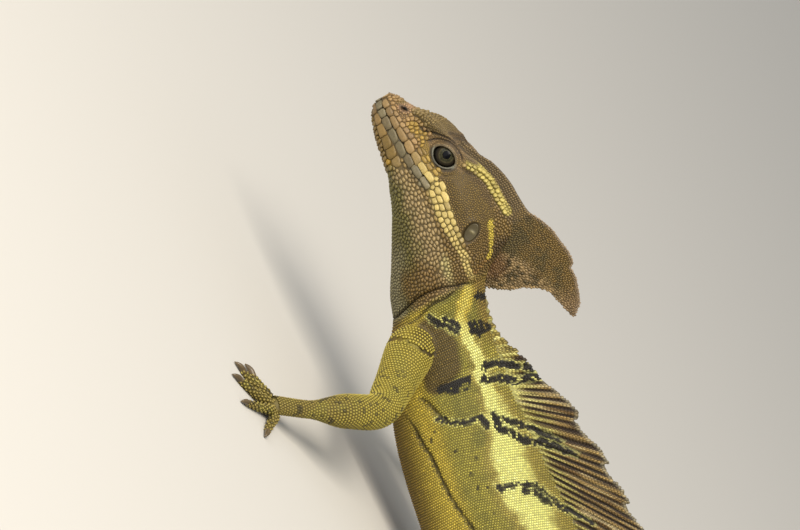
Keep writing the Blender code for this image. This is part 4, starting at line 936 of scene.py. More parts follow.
        # Painted shade: the ear's hollow darkened round its eardrum.
        ear = BodyShape.ear_share(side)
        colour = mix(colour, Tone.TEMPLE_BROWN.rgb() * .55, 1 - ramp(ear, .85, 1.2))
        nose = BodyShape.nostril_share(side)
        colour = mix(colour, Tone.NOSTRIL_PINK.rgb(), .55 * (1 - ramp(nose, 1.8, 3.2)))
        # Painted shade: the nostril's opening painted almost black.
        colour = mix(colour, Tone.MARK_BLACK.rgb() * .3, 1 - ramp(nose, 1.0, 1.35))
        fleck = ramp(grain(p, .00085, 9), .35, .6) * (1 - throat)
        return mix(colour, Tone.LID_BROWN.rgb(), .35 * fleck)

    def limb(self, p: Array, along: Array) -> Array:
        """Colours of points of a limb, with the share of its length from root to digits' tips."""
        soft = grain(p, .0030, 11)
        colour = Tone.ARM_YELLOW.rgb()[None, :].repeat(len(p), 0)
        colour = mix(colour, Tone.FOREARM_BROWN.rgb(), .85 * ramp(along + soft * .08, .35, .6))
        colour = mix(colour, Tone.FLANK_OLIVE.rgb(), .5 * ramp(soft, .1, .7))
        spots = ramp(grain(p, .0013, 12), .38, .55) * ramp(along, .12, .25)
        return mix(colour, Tone.MARK_BLACK.rgb(), .7 * spots)


MARKINGS = Markings()


def straight(points: Array) -> Array:
    """Points of the body in the part's own frame, with the tail's curve taken out."""
    p = points - SHIFT
    behind = np.interp(-p[:, 0], -BODY.tail_x, BODY.behind)
    on_tail = p[:, 0] < TAIL_START_X
    p[:, 0] = np.where(on_tail, TAIL_START_X - behind, p[:, 0])
    p[:, 1] = np.where(on_tail, p[:, 1] - np.interp(behind, BODY.behind, BODY.tail_y), p[:, 1])
    return p


@dataclass
class Seeds:
    """Places where scales grow, each with its frame, half-sizes, height, colour and place on the unwrap."""

    place: Array
    normal: Array
    lie: Array
    half_length: Array
    half_width: Array
    height: Array
    tint: Array
    chart: Array
    spot: Array
    zone: Array
    contrast: Array
    block: Array
    band: Array

    FIELDS = ("place", "normal", "lie", "half_length", "half_width", "height", "tint", "chart", "spot",
              "zone",
              "contrast", "block", "band")

    def pick(self, which: Array) -> "Seeds":
        """Only some of the seeds."""
        return Seeds(*(getattr(self, name)[which] for name in self.FIELDS))

    @staticmethod
    def join(parts: list["Seeds"]) -> "Seeds":
        """Several lots of seeds as one."""
        return Seeds(*(np.concatenate([getattr(part, name) for part in parts]) for name in Seeds.FIELDS))

    def __len__(self) -> int:
        """How many seeds there are."""
        return len(self.place)


class Zone(Enum):
    """The pieces that the coat of scales is split into."""

    FACE = 0
    THROAT = 1
    NECK = 2
    TRUNK_FRONT = 3
    TRUNK_REAR = 4
    TAIL = 5
    ARMS = 6
    LEGS = 7
    SAIL = 8
    TAIL_SAIL = 9
    CREST = 10


def body_seeds(distance: Array, rows: Array, side: Array, half_length: Array, half_width: Array,
               height: Array, zone: Array, contrast: Array | float = 1.0, block: Array | float = 0.0,
               band: Array | float = 0.0) -> Seeds:
    """Seeds on the body's surface."""
    place, normal, back = BODY.frame(distance, rows, side)
    arc = rows / BOTTOM_LINE * side
    count = len(distance)
    return Seeds(place, normal, back, np.broadcast_to(half_length, count).copy(),
                 np.broadcast_to(half_width, count).copy(), np.broadcast_to(height, count).copy(),
                 MARKINGS.body(straight(place)), np.zeros(count, int), np.column_stack([distance, arc]),
                 np.broadcast_to(zone, count).copy(), np.broadcast_to(contrast, count).astype(float),
                 np.broadcast_to(block, count).astype(float), np.broadcast_to(band, count).astype(float))


def spaced(fixed: Array, fixed_size: Array, places: Array, size: Array, ways: Array,
           stretch: Array) -> list[int]:
    """Picks random places that keep their distance from each other and from fixed ones.

    Args:
        fixed: Places that are already taken.
        fixed_size: Half the distance that each of them keeps.
        places: Places to try, in order.
        size: Wanted distance between neighbours at each.
        ways: Direction in which the distance is longer.
        stretch: How much longer it is there.

    Returns:
        The numbers of the places that are kept.
    """
    cell, taken = .0016, []
    grid: dict[tuple[int, int, int], list[tuple[float, float, float, float]]] = {}
    for x, y, z, one in np.column_stack([fixed, fixed_size * 2]).tolist():
        grid.setdefault((int(x // cell), int(y // cell), int(z // cell)), []).append((x, y, z, one))
    around = [(a, b, c) for a in (-1, 0, 1) for b in (-1, 0, 1) for c in (-1, 0, 1)]
    tried = np.column_stack([places, size, ways, 1 - 1 / stretch**2]).tolist()
    for index, (x, y, z, one, way_x, way_y, way_z, flat) in enumerate(tried):
        i, j, k = int(x // cell), int(y // cell), int(z // cell)
        free = True
        for a, b, c in around:
            for other_x, other_y, other_z, other in grid.get((i + a, j + b, k + c), ()):
                gap_x, gap_y, gap_z = other_x - x, other_y - y, other_z - z
                room = .41 * (one + other)
                ahead = gap_x * way_x + gap_y * way_y + gap_z * way_z
                if gap_x * gap_x + gap_y * gap_y + gap_z * gap_z - ahead * ahead * flat < room * room:
                    free = False
                    break
            if not free:
                break
        if free:
            taken.append(index)
            grid.setdefault((i, j, k), []).append((x, y, z, one))
    return taken


def graded(start: float, end: float, first: float, last: float) -> tuple[float, ...]:
    """Stations of joints from start back to end, whose gaps change evenly from first to last."""
    at = [start]
    while at[-1] - end > .5 * last:
        at.append(at[-1] - first - (last - first) * (start - at[-1]) / (start - end))
    return tuple(at)


@dataclass(frozen=True)
class PlateRow:
    """A row of large plates along a line on the side of the head; a block row has square-cornered plates."""

    line: Line
    joints: tuple[float, ...]
    widths: tuple[float, ...]
    height: float
    block: bool = False

    def places(self) -> tuple[Array, Array, Array, Array]:
        """x and z of each plate's centre, and its half-length and half-width."""
        corners, joints = np.array(self.line)[::-1], np.array(self.joints)
        z = np.interp(joints, corners[:, 0], corners[:, 1])
        x = (joints[1:] + joints[:-1]) / 2
        half_length = np.hypot(np.diff(joints), np.diff(z)) / 2
        return (x, (z[1:] + z[:-1]) / 2, half_length * 1.12,
                np.interp(x, corners[:, 0], np.array(self.widths)[::-1]) * .56)


class HeadScales:
    """Scales of the head and throat: named rows of plates, rings round the eye, and a mosaic in between."""

    ROWS = (
        PlateRow(((.0650, .0549), (.0626, .0553), (.0600, .0552), (.0562, .0554), (.0520, .0558),
                  (.0481, .0564),
                  (.0447, .0567), (.0415, .0575), (.0385, .0580)),
                 (.0650, .0626, .0600, .0564, .0519, .0482, .0448, .0417, .0387),
                 (.0017, .0018, .0019, .0019, .0022, .0025, .0020, .0019, .0017), .00030, True),
        PlateRow(((.0655, .0532), (.0631, .0532), (.0607, .0532), (.0570, .0532), (.0529, .0534),
                  (.0486, .0539),
                  (.0450, .0547), (.0411, .0555), (.0376, .0561)),
                 (.0655, .0631, .0607, .0570, .0529, .0486, .0450, .0411, .0376),
                 (.0018, .0020, .0021, .0024, .0025, .0024, .0021, .0018, .0014), .00028, True),
        PlateRow(((.0650, .0513), (.0626, .0512), (.0596, .0509), (.0561, .0507), (.0525, .0505),
                  (.0495, .0506),
                  (.0467, .0511)), (.0650, .0626, .0596, .0561, .0525, .0495, .0467),
                 (.0017, .0020, .0023, .0026, .0028, .0028, .0024), .00028, True),
        PlateRow(((.0625, .0567), (.0580, .0569), (.0540, .0576), (.0500, .0585)),
                 graded(.0625, .0492, .0017, .0020),
                 (.0011, .0012, .0013, .0013), .00026),
        PlateRow(((.0485, .0583), (.0455, .0584), (.0438, .0586), (.0413, .0593), (.0390, .0603)),
                 graded(.0488, .0392, .0026, .0020), (.0011, .0011, .0012, .0013, .0014), .00028),
        PlateRow(((.0480, .0594), (.0449, .0596), (.0431, .0599), (.0416, .0604), (.0398, .0612)),
                 graded(.0480, .0398, .0022, .0018), (.0009, .0009, .0010, .0010, .0012), .00026),
        PlateRow(((.0378, .0603), (.0356, .0597), (.0290, .0583), (.0258, .0580), (.0223, .0577),
                  (.0185, .0572)),
                 graded(.0378, .0188, .0031, .0013), (.0012, .0018, .0016, .0015, .0013, .0011), .00044),
        PlateRow(((.0372, .0584), (.0356, .0579), (.0290, .0567), (.0258, .0565), (.0223, .0564),
                  (.0180, .0562)),
                 graded(.0370, .0180, .0025, .0012), (.0013, .0016, .0014, .0013, .0012, .0011), .00044),
        PlateRow(((.0368, .0565), (.0356, .0563), (.0290, .0552), (.0258, .0551), (.0223, .0552),
                  (.0180, .0554)),
                 graded(.0366, .0180, .0020, .0012), (.0010, .0014, .0013, .0012, .0011, .0010), .00042),
        PlateRow(((.0398, .0661), (.0386, .0676), (.0356, .0690), (.0318, .0701), (.0273, .0701),
                  (.0240, .0703),
                  (.0212, .0703)), graded(.0390, .0212, .0010, .0014),
                 (.0008, .0011, .0013, .0014, .0013, .0012, .0012), .00070),
        PlateRow(((.0394, .0674), (.0378, .0688), (.0354, .0702), (.0318, .0712), (.0273, .0713),
                  (.0240, .0714)),
                 graded(.0384, .0240, .0011, .0015), (.0008, .0011, .0013, .0013, .0012, .0012), .00070),
    )
    EYE_RINGS = ((.00052, .00040),)
    END_X, THROAT_FRONT, THROAT_ROW, TRIES = .0092, .0470, 4.75, 110000

    def spacing(self, x: Array, z: Array, rows: Array) -> tuple[Array, Array, Array, Array]:
        """The mosaic at given places.

        Args:
            x: Stations of the places.
            z: Their heights.
            rows: Their section lines.

        Returns:
            Wanted distance between neighbouring scales, their height as a share of it, their joints' contrast,
            and how much longer than wide they are.
        """
        side = np.column_stack([x, z])
        size = np.interp(x, [.010, .020, .034, .045, .055, .066],
                         [.00080, .00088, .00096, .00100, .00130, .00120])
        height = np.full(len(x), .34)
        contrast = np.interp(x, [.045, .055], [.85, .42])
        temple = np.hypot((x - .0295) / .0095, (z - .0640) / .0052)
        size = np.where(temple < 1.05, .00062, size)
        crown = (rows < 1.5) & (x > .024) & (x < .056)
        size, height = np.where(crown, np.minimum(size, .00085), size), np.where(crown, .20, height)
        contrast = np.where(crown, .55, contrast)
        size = np.where(np.hypot((x - EAR_CENTRE[0]) / .0060, (z - EAR_CENTRE[1]) / .0055) < 1, .00062, size)
        cheek, _ = near_line(side, Markings.CHEEK)
        size = np.where((cheek < .0022) & (x > .012), np.interp(x, [.012, .020, .030],
                                                                [.00090, .0011, .0013]), size)
        _, _, outside = BodyShape.eye_place(side)
        lids = (outside < .0030) & (rows < 4)
        brow = (outside < .0062) & (rows < 3) & (z > .0630)
        size = np.where(brow | lids, .00046, size)
        height, contrast = np.where(brow | lids, .20, height), np.where(lids, .35,
                                                                        np.where(brow, .50, contrast))
        size = np.where((rows > 5.4) & (x > .045), .0015, size)
        nose = np.hypot((x - NOSTRIL[0]) / 1.25, z - NOSTRIL[1])
        size = np.where(nose < .0021, .0007, size)
        throat = (rows > self.THROAT_ROW) & (x < self.THROAT_FRONT)
        under = np.interp(x, [.010, .016, .023, .030, .037, .046],
                          [.0500, .0515, .0535, .0545, .0550, .0535]) - z
        on_throat = np.interp(under, [.002, .006, .012, .018], [.00100, .00098, .00088, .00078])
        size = np.where(throat, on_throat * np.interp(x, [.010, .018], [.86, 1]), size)
        stretch = np.where(throat, np.interp(under, [.002, .008, .016], [1.55, 1.38, 1.12]), 1.0)
        contrast = np.where(throat, .95, contrast)
        return np.where((x < .0105) & (rows < 4), .00072, size), height, contrast, stretch

    def fixed(self) -> list[tuple[Array, ...]]:
        """Named plates: x, z, half-length, half-width, height, contrast and squareness of each."""
        lots = []
        for row in self.ROWS:
            x, z, half_length, half_width = row.places()
            full = np.ones(len(x))
            lots.append((x, z, half_length, half_width, full * row.height, full * (.45 if row.block else .8),
                         full * row.block))
        for reach, size in self.EYE_RINGS:
            turns = np.linspace(0, 2 * math.pi, 721)[:-1]
            a, b = (LID_LONG + reach) * np.cos(turns), (LID_SHORT + reach) * np.sin(turns)
            length = np.concatenate([[0], np.cumsum(np.hypot(np.diff(a), np.diff(b)))])
            at = np.linspace(0, length[-1], round(length[-1] / size), endpoint=False)
            a, b = np.interp(at, length, a), np.interp(at, length, b)
            x = EYE_CENTRE[0] - a * math.cos(EYE_SLANT) + b * math.sin(EYE_SLANT)
            z = EYE_CENTRE[2] + a * math.sin(EYE_SLANT) + b * math.cos(EYE_SLANT)
            clear = np.min([near_line(np.column_stack([x, z]), line)[0] for line in HEAD_GROOVES],
                           axis=0) > .00033
            x, z = x[clear], z[clear]
            full = np.ones(len(x))
            lots.append((x, z, full * size / 2, full * size / 2, full * size * .3, full * .6, full * 0))
        return lots

    def build(self, random: np.random.Generator) -> Seeds:
        """All scales of the head on both sides."""
        made = []
        for x, z, *rest in self.fixed():
            made.append((SNOUT_X - x, BODY.rows_at_height(x, z), *rest))
        distance, rows, half_length, half_width, height, contrast, block = (
            np.concatenate(c) for c in zip(*made))
        named = len(distance)
        ends = np.maximum(half_length - half_width, 0)
        shifted = np.concatenate([distance, distance - ends * .8, distance + ends * .8])
        fixed_places = BODY.point(np.maximum(shifted, .0008), np.tile(rows, 3), np.ones(3 * named))
        tried_d = random.uniform(.0004, SNOUT_X - self.END_X, self.TRIES)
        tried_r = random.uniform(0, BOTTOM_LINE, self.TRIES)
        half, facing = BODY.half(tried_d, tried_r)
        side = np.column_stack([SNOUT_X - tried_d, half[:, 1]])
        size, tall, joint, stretch = self.spacing(side[:, 0], side[:, 1], tried_r)
        _, _, outside = BodyShape.eye_place(side)
        usable = ((outside > .0012) | (half[:, 0] < .003)) & (BodyShape.ear_share(side) > 1.15)
        usable &= (BodyShape.nostril_share(side) > 2.2) & (half[:, 0] > size * .38)
        usable &= self.clear_of_rows(side[:, 0], tried_r, size * .3)
        upright = np.abs(facing[:, 0]) > .45
        for line in (MOUTH, *HEAD_GROOVES, *GULAR_FOLDS):
            usable &= (near_line(side, line)[0] > .00028) | ~upright
        tried = np.flatnonzero(usable)
        places = BODY.point(np.maximum(tried_d[tried], .0008), tried_r[tried], np.ones(len(tried)))
        ways = np.tile([-1.0, 0, 0], (len(tried), 1))
        taken = tried[spaced(fixed_places, np.tile(np.minimum(half_length, half_width), 3), places,
                             size[tried], ways,
                             stretch[tried])]
        LOG.info("head: %d named plates and %d between on each side", named, len(taken))
        distance = np.concatenate([distance, tried_d[taken]])
        rows = np.concatenate([rows, tried_r[taken]])
        half_length = np.concatenate([half_length, size[taken] * stretch[taken] / 2])
        half_width = np.concatenate([half_width, size[taken] / 2])
        height = np.concatenate([height, size[taken] * tall[taken]])
        contrast = np.concatenate([contrast, joint[taken]])
        block = np.concatenate([block, np.zeros(len(taken))])
        zone = np.where((rows > 4.6) & (distance > SNOUT_X - .050), Zone.THROAT.value, Zone.FACE.value)
        both = [body_seeds(distance, rows, np.full(len(rows), one), half_length, half_width, height, zone,
                           contrast, block) for one in (1.0, -1.0)]
        seeds = Seeds.join([*both, self.midline(), self.nose_plates()])
        seeds.tint *= random.uniform(.82, 1.14, len(seeds))[:, None]
        return seeds

    @staticmethod
    def nose_plates() -> Seeds:
        """The rostral and the mental plate, across the blunt tip of the snout."""
        z, tall, wide = np.array([.0556, .0532]), np.array([.00125, .00105]), np.array([.0019, .0017])
        place = np.column_stack([np.full(2, SNOUT_X - COAT_DEPTH - .0001), np.zeros(2), z]) + SHIFT
        back, up = np.tile([1.0, 0, 0], (2, 1)), np.tile([0.0, 0, 1], (2, 1))
        tint = MARKINGS.body(place - SHIFT - np.array([.0006, 0, 0]))
        return Seeds(place, back, up, tall, wide, np.full(2, .00018), tint, np.zeros(2, int),
                     np.column_stack([np.zeros(2), z]), np.full(2, Zone.FACE.value), np.full(2, .45),
                     np.zeros(2),
                     np.zeros(2))

    def clear_of_rows(self, x: Array, rows: Array, room: Array | float) -> Array:
        """Which places lie outside the bands of square-cornered plates."""
        half, _ = BODY.half(SNOUT_X - x, rows)
        side = np.column_stack([x, half[:, 1]])
        clear = np.ones(len(x), bool)
        for row in self.ROWS:
            if row.block:
                gap, share = near_line(side, row.line)
                wide = np.interp(share, np.linspace(0, 1, len(row.widths)), row.widths)
                clear &= gap > wide / 2 + room
        return clear

    def midline(self) -> Seeds:
        """Scales on the midline of the crown and of the chin."""
        lots = []
        for row in (0.0, float(BOTTOM_LINE)):
            distance = [.0012]
            while distance[-1] < SNOUT_X - self.END_X:
                half, _ = BODY.half(np.array(distance[-1:]), np.array([row]))
                step, _, _, _ = self.spacing(np.array([SNOUT_X - distance[-1]]), half[:, 1], np.array([row]))
                distance.append(distance[-1] + step[0] * .92)
            d = np.array(distance)
            half, _ = BODY.half(d, np.full(len(d), row))
            size, tall, joint, _ = self.spacing(SNOUT_X - d, half[:, 1], np.full(len(d), row))
            zone = np.where((row > 4) & (SNOUT_X - d < .050), Zone.THROAT.value, Zone.FACE.value)
            lots.append(body_seeds(d, np.full(len(d), row), np.ones(len(d)), size / 2, size / 2,
                                   size * tall, zone,
                                   joint))
        return Seeds.join(lots)


@dataclass(frozen=True)
class BodyScales:
    """Rows of small scales round the neck, trunk and tail, which lean back towards the sail."""

    row_step: float = .00068
    scale_width: float = .00072
    lean: float = .32
    flank_share: float = .45

    def build(self) -> Seeds:
        """All scales behind the head, ring by ring."""
        lots = []
        distance = SNOUT_X - HeadScales.END_X + .0004
        end = BODY.tail_start + TAIL_LENGTH - .003
        ring = 0
        while distance < end:
            behind = max(0.0, distance - BODY.tail_start + .020)
            grow = 1 + min(1.25, behind / .050 * .6)
            lots.append(self.ring(distance, ring, self.scale_width * grow))
            distance += self.row_step * grow
            ring += 1
        return Seeds.join(lots)

    def ring(self, distance: float, index: int, width: float) -> Seeds:
        """One ring of scales."""
        rows, arc = BODY.arcs(distance)
        count = (max(3, 4 * round(arc[-1] / width / 4)) if arc[-1] > width * 12
                 else max(3, round(arc[-1] / width)))
        at = (np.arange(count) + (.5 if index % 2 else 1.0)) / (count + .5) * arc[-1]
        at = at[at < arc[-1] * .999]
        if index % 2 == 0:
            at = np.concatenate([[0], at])
        x = SNOUT_X - distance
        lean = self.lean * float(ramp(np.array(-x), -.012, .040)) * float(1 - ramp(np.array(-x), .070, .120))
        shifted = distance + lean * np.maximum(0, self.flank_share * arc[-1] - at)
        on_row = np.interp(at, arc, rows)
        shifted = np.minimum(shifted, BODY.tail_start + TAIL_LENGTH - .002)
        side = np.concatenate([np.ones(len(at)), -np.ones(len(at))])
        middle = (on_row <= 0) | (on_row >= BOTTOM_LINE)
        half, _ = BODY.half(shifted, on_row)
        high, _ = BODY.saddle(shifted, np.zeros(len(at)))
        buried = (half[:, 0] < .0009) & (high > .0010)
        keep = np.concatenate([~buried, ~middle & ~buried])
        both_d, both_r = np.tile(shifted, 2)[keep], np.tile(on_row, 2)[keep]
        size = width / 2
        zone = Zone.NECK if x > -.012 else Zone.TRUNK_FRONT if x > -.055 else Zone.TRUNK_REAR
        zone = Zone.TAIL if distance > BODY.tail_start + .004 else zone
        random = np.random.default_rng(1000 + index)
        many = len(both_d)
        both_d = both_d + random.uniform(-.10, .10, many) * size
        made = body_seeds(both_d, both_r, side[keep], self.row_step / self.scale_width * size * 1.15,
                          size * 1.1,
                          size * random.uniform(.50, .74, many), np.array(zone.value), 1.0, 0.0, .70)
        made.contrast = 1 - .5 * ramp(made.tint[:, 0], .42, .70)
        made.tint *= (random.uniform(.80, 1.12, many) * np.where(random.uniform(0, 1, many) < .10, 1.3,
                                                                 1))[:, None]
        made.tint = np.minimum(made.tint, .95)
        return made


@dataclass(frozen=True)
class LimbScales:
    """Scales of the arms, legs and digits."""

    arm_step: float = .00092
    leg_step: float = .00108
    digit_step: float = .00115

    def build(self) -> Seeds:
        """All scales of the four limbs."""
        lots = []
        for index, limb in enumerate(LIMBS):
            zone = Zone.ARMS if limb.name.startswith("arm") else Zone.LEGS
            tube = limb.tube()
            step = self.arm_step if zone is Zone.ARMS else self.leg_step
            lots.append(self.tube(tube, tube.knots[1] * .7, tube.length[-1] + .0012, step, index * 6, zone,
                                  0, .7))
            for number, (digit, _, _) in enumerate(limb.digit_tubes()):
                lots.append(self.tube(digit, .0008, digit.length[-1], self.digit_step,
                                      index * 6 + number + 1, zone,
                                      .7, 1))
        return Seeds.join(lots)

    def tube(self, tube: Tube, start: float, end: float, step: float, chart: int, zone: Zone,
             first: float, last: float) -> Seeds:
        """Scales of one limb or digit, ring by ring."""
        lengths, angles, widths = [], [], []
        at, ring = start, 0
        while at < end:
            radius = float(tube.at(tube.wide, np.array([min(at, tube.length[-1])]))[0, 0])
            count = max(6, 2 * round(math.pi * radius / step))
            turn = (np.arange(count) + (.5 if ring % 2 else 0)) / count * 2 * math.pi
            lengths.append(np.full(count, at))
            angles.append(turn)
            widths.append(np.full(count, 2 * math.pi * radius / count))
            at += step
            ring += 1
        length, angle, width = np.concatenate(lengths), np.concatenate(angles), np.concatenate(widths)
        place, normal, ahead = tube.frame(length, angle)
        along = first + (last - first) * length / end
        tint = MARKINGS.limb(place - SHIFT, along)
        count = len(length)
        return Seeds(place, normal, ahead, np.full(count, step / 2 * 1.15), width / 2,
                     np.full(count, step * .32),
                     tint, np.full(count, chart), np.column_stack([length, angle]),
                     np.full(count, zone.value),
                     np.full(count, .9), np.zeros(count), np.full(count, .5))


class Grade(Enum):
    """How finely a scale is modelled: corners, and rings as shares of its radius and height."""

    FINE = (6, ((1.10, 0.0),))
    SMALL = (6, ((1.0, -.9), (.74, .74)))
    MIDDLE = (8, ((1.0, -.9), (.90, .42), (.52, .90)))
    LARGE = (12, ((1.0, -.9), (.955, .40), (.86, .84), (.45, .97)))


class Coat:
    """Fits the seeds' scales to each other and builds them as closed plates."""

    NEIGHBOURS = 15
    JOINT = .000045
    LARGEST = 1.30
    LARGE_HALF = .00064
    MIDDLE_HALF = .00041
    PATCH = .0013

    def __init__(self, seeds: Seeds, finish: bpy.types.Material) -> None:
        """Keeps the seeds and works out which are neighbours."""
        self.seeds = seeds
        self.finish = finish
        tree = KDTree(len(seeds))
        for index, place in enumerate(seeds.place):
            tree.insert(place, index)
        tree.balance()
        found = [[hit[1] for hit in tree.find_n(place, self.NEIGHBOURS + 1)] for place in seeds.place]
        self.near = np.array(found)[:, 1:]

    def reaches(self, which: Array, corners: int) -> Array:
        """Radius of each scale in each corner's direction, as a share of its half-sizes."""
        s = self.seeds
        near = self.near[which]
        gap = s.place[near] - s.place[which][:, None]
        lie, normal = s.lie[which], s.normal[which]
        across = np.cross(normal, lie)
        own = np.stack([np.einsum("ijk,ik->ij", gap, lie) / s.half_length[which][:, None],
                        np.einsum("ijk,ik->ij", gap, across) / s.half_width[which][:, None]], axis=2)
        other_across = np.cross(s.normal[near], s.lie[near])
        theirs = np.hypot((gap * s.lie[near]).sum(axis=2) / s.half_length[near],
                          (gap * other_across).sum(axis=2) / s.half_width[near])
        mine = np.hypot(own[..., 0], own[..., 1])
        share = (1 / np.maximum(mine, .05)) / (1 / np.maximum(mine, .05) + 1 / np.maximum(theirs, .05))
        facing = np.einsum("ijk,ik->ij", s.normal[near], normal) > .15
        limit = share * mine**2
        turns = np.arange(corners) / corners * 2 * math.pi + math.pi / corners
        square = 1.02 / np.maximum(np.abs(np.cos(turns)), np.abs(np.sin(turns)))
        reach = np.where(self.seeds.block[which][:, None] > .5, square[None], self.LARGEST)
        for k, turn in enumerate(turns):
            ahead = own[..., 0] * math.cos(turn) + own[..., 1] * math.sin(turn)
            bound = np.where(facing & (ahead > .02), limit / np.maximum(ahead, .02), 9.0)
            reach[:, k] = np.minimum(reach[:, k], bound.min(axis=1))
        return reach

    def piece(self, name: str, which: Array) -> bpy.types.Object:
        """One closed plate for each chosen seed, all in one object."""
        s = self.seeds
        least = np.minimum(s.half_length, s.half_width)
        grades = np.where((least > self.LARGE_HALF) | (s.block > .5), 3,
                          np.where(least > self.MIDDLE_HALF, 2, 1))
        grades = np.where((s.zone >= Zone.NECK.value) & (s.zone <= Zone.TAIL_SAIL.value), 0, grades)
        grades = np.where(s.zone == Zone.CREST.value, 1, grades)
        parts = []
        for value, grade in enumerate((Grade.FINE, Grade.SMALL, Grade.MIDDLE, Grade.LARGE)):
            chosen = which[grades[which] == value]
            if len(chosen):
                parts.append(self.plates(chosen, *grade.value))
        return self.assemble(name, parts)

    def plates(self, which: Array, corners: int, rings: tuple) -> dict[str, Array]:
        """Vertices, faces and attributes of the plates of one grade."""
        s = self.seeds
        reach = self.reaches(which, corners)
        lie, normal, place = s.lie[which], s.normal[which], s.place[which]
        across = np.cross(normal, lie)
        turns = np.arange(corners) / corners * 2 * math.pi + math.pi / corners
        flat_x = s.half_length[which][:, None] * reach * np.cos(turns)
        flat_y = s.half_width[which][:, None] * reach * np.sin(turns)
        radius = np.hypot(flat_x, flat_y)
        joint = self.JOINT * np.where(s.block[which] > .5, .5, 1)[:, None]
        shrink = np.maximum(.4, 1 - joint / np.maximum(radius, 1e-6))
        flat_x, flat_y = flat_x * shrink, flat_y * shrink
        vertices, rims, shares = [], [], []
        height = s.height[which][:, None]
        joined = s.band[which][:, None] * np.sin(turns) ** 4
        for number, (out, up) in enumerate(rings):
            back = np.cos(turns) * .35 * np.clip(up, 0, 1)
            rise = height * (up + back) if up > 0 else height * .55 * joined - (.00022 if up < 0 else .00003)
            shape = (place[:, None] + lie[:, None] * (flat_x * out)[..., None]
                     + across[:, None] * (flat_y * out)[..., None] + normal[:, None] * rise[..., None])
            vertices.append(shape)
            rims.append(np.full((len(which), corners),
                                number / (len(rings) - .5)) if number else .85 * joined)
            shares.append(np.broadcast_to(np.stack([np.cos(turns), np.sin(turns)], axis=1) * out,
                                          (len(which), corners, 2)))
        apex = (place + normal * height
                + lie * (s.half_length[which] * (.22 if len(rings) == 1 else 0))[:, None])
        vertices.append(apex[:, None])
        rims.append(np.ones((len(which), 1)))
        shares.append(np.zeros((len(which), 1, 2)))
        vertices = np.concatenate(vertices, axis=1)
        vertices[..., 2] = np.maximum(vertices[..., 2], 0)
        rim = 1 - (1 - np.concatenate(rims, axis=1)) * s.contrast[which][:, None]
        return {"vertices": vertices, "rim": rim, "share": np.concatenate(shares, axis=1),
                "which": which, "corners": np.array(corners), "rings": np.array(len(rings))}

    def spots(self, which: Array) -> Array:
        """Centre of each plate's patch on the unwrap of its own piece."""
        chart, spot = self.seeds.chart[which], self.seeds.spot[which].astype(float)
        names = np.unique(chart)
        result = np.zeros((len(which), 2))
        for index, name in enumerate(names):
            own = chart == name
            low, high = spot[own].min(axis=0), spot[own].max(axis=0)
            share = (spot[own] - low) / np.maximum(high - low, 1e-9)
            result[own, 0] = .01 + .98 * share[:, 0]
            result[own, 1] = (index + .03 + .94 * share[:, 1]) / len(names)
        return result

    def assemble(self, name: str, parts: list[dict[str, Array]]) -> bpy.types.Object:
        """A mesh object from the plates of all grades, with colours, rims and the unwrap."""
        everyone = np.concatenate([part["which"] for part in parts])
        spots = self.spots(everyone)
        points, tints, rims, loops, sizes, uvs = [], [], [], [], [], []
        base, row = 0, 0
        for part in parts:
            count, per, _ = part["vertices"].shape
            corners, rings = int(part["corners"]), int(part["rings"])
            faces = self.faces(corners, rings)
            offset = (base + np.arange(count) * per)[:, None]
            tint = np.repeat(self.seeds.tint[part["which"]], per, axis=0)
            uv = spots[row:row + count][:, None] + part["share"] * self.PATCH
            for size in (3, 4, corners):
                group = np.array([face for face in faces if len(face) == size])
                if len(group):
                    loops.append((offset[..., None] + group[None]).reshape(-1))
                    sizes.append(np.full(count * len(group), size))
                    uvs.append(uv[:, group.reshape(-1)].reshape(-1, 2))
            points.append(part["vertices"].reshape(-1, 3))
            tints.append(tint)
            rims.append(part["rim"].reshape(-1))
            base += count * per
            row += count
        return mesh_piece(name, np.concatenate(points), np.concatenate(loops), np.concatenate(sizes),
                          self.finish,
                          tint=np.concatenate(tints), rim=np.concatenate(rims), uv=np.concatenate(uvs))

    @staticmethod
    def faces(corners: int, rings: int) -> list[tuple[int, ...]]:
        """Faces of one plate: its wall, its top and its hidden underside."""
        made = []
        for ring in range(rings - 1):
            for k in range(corners):
                n = (k + 1) % corners
                low, high = ring * corners, (ring + 1) * corners
                made.append((low + k, low + n, high + n, high + k))
        top, centre = (rings - 1) * corners, rings * corners
        made += [(top + k, top + (k + 1) % corners, centre) for k in range(corners)]
        made.append(tuple(range(corners - 1, -1, -1)))
        return made


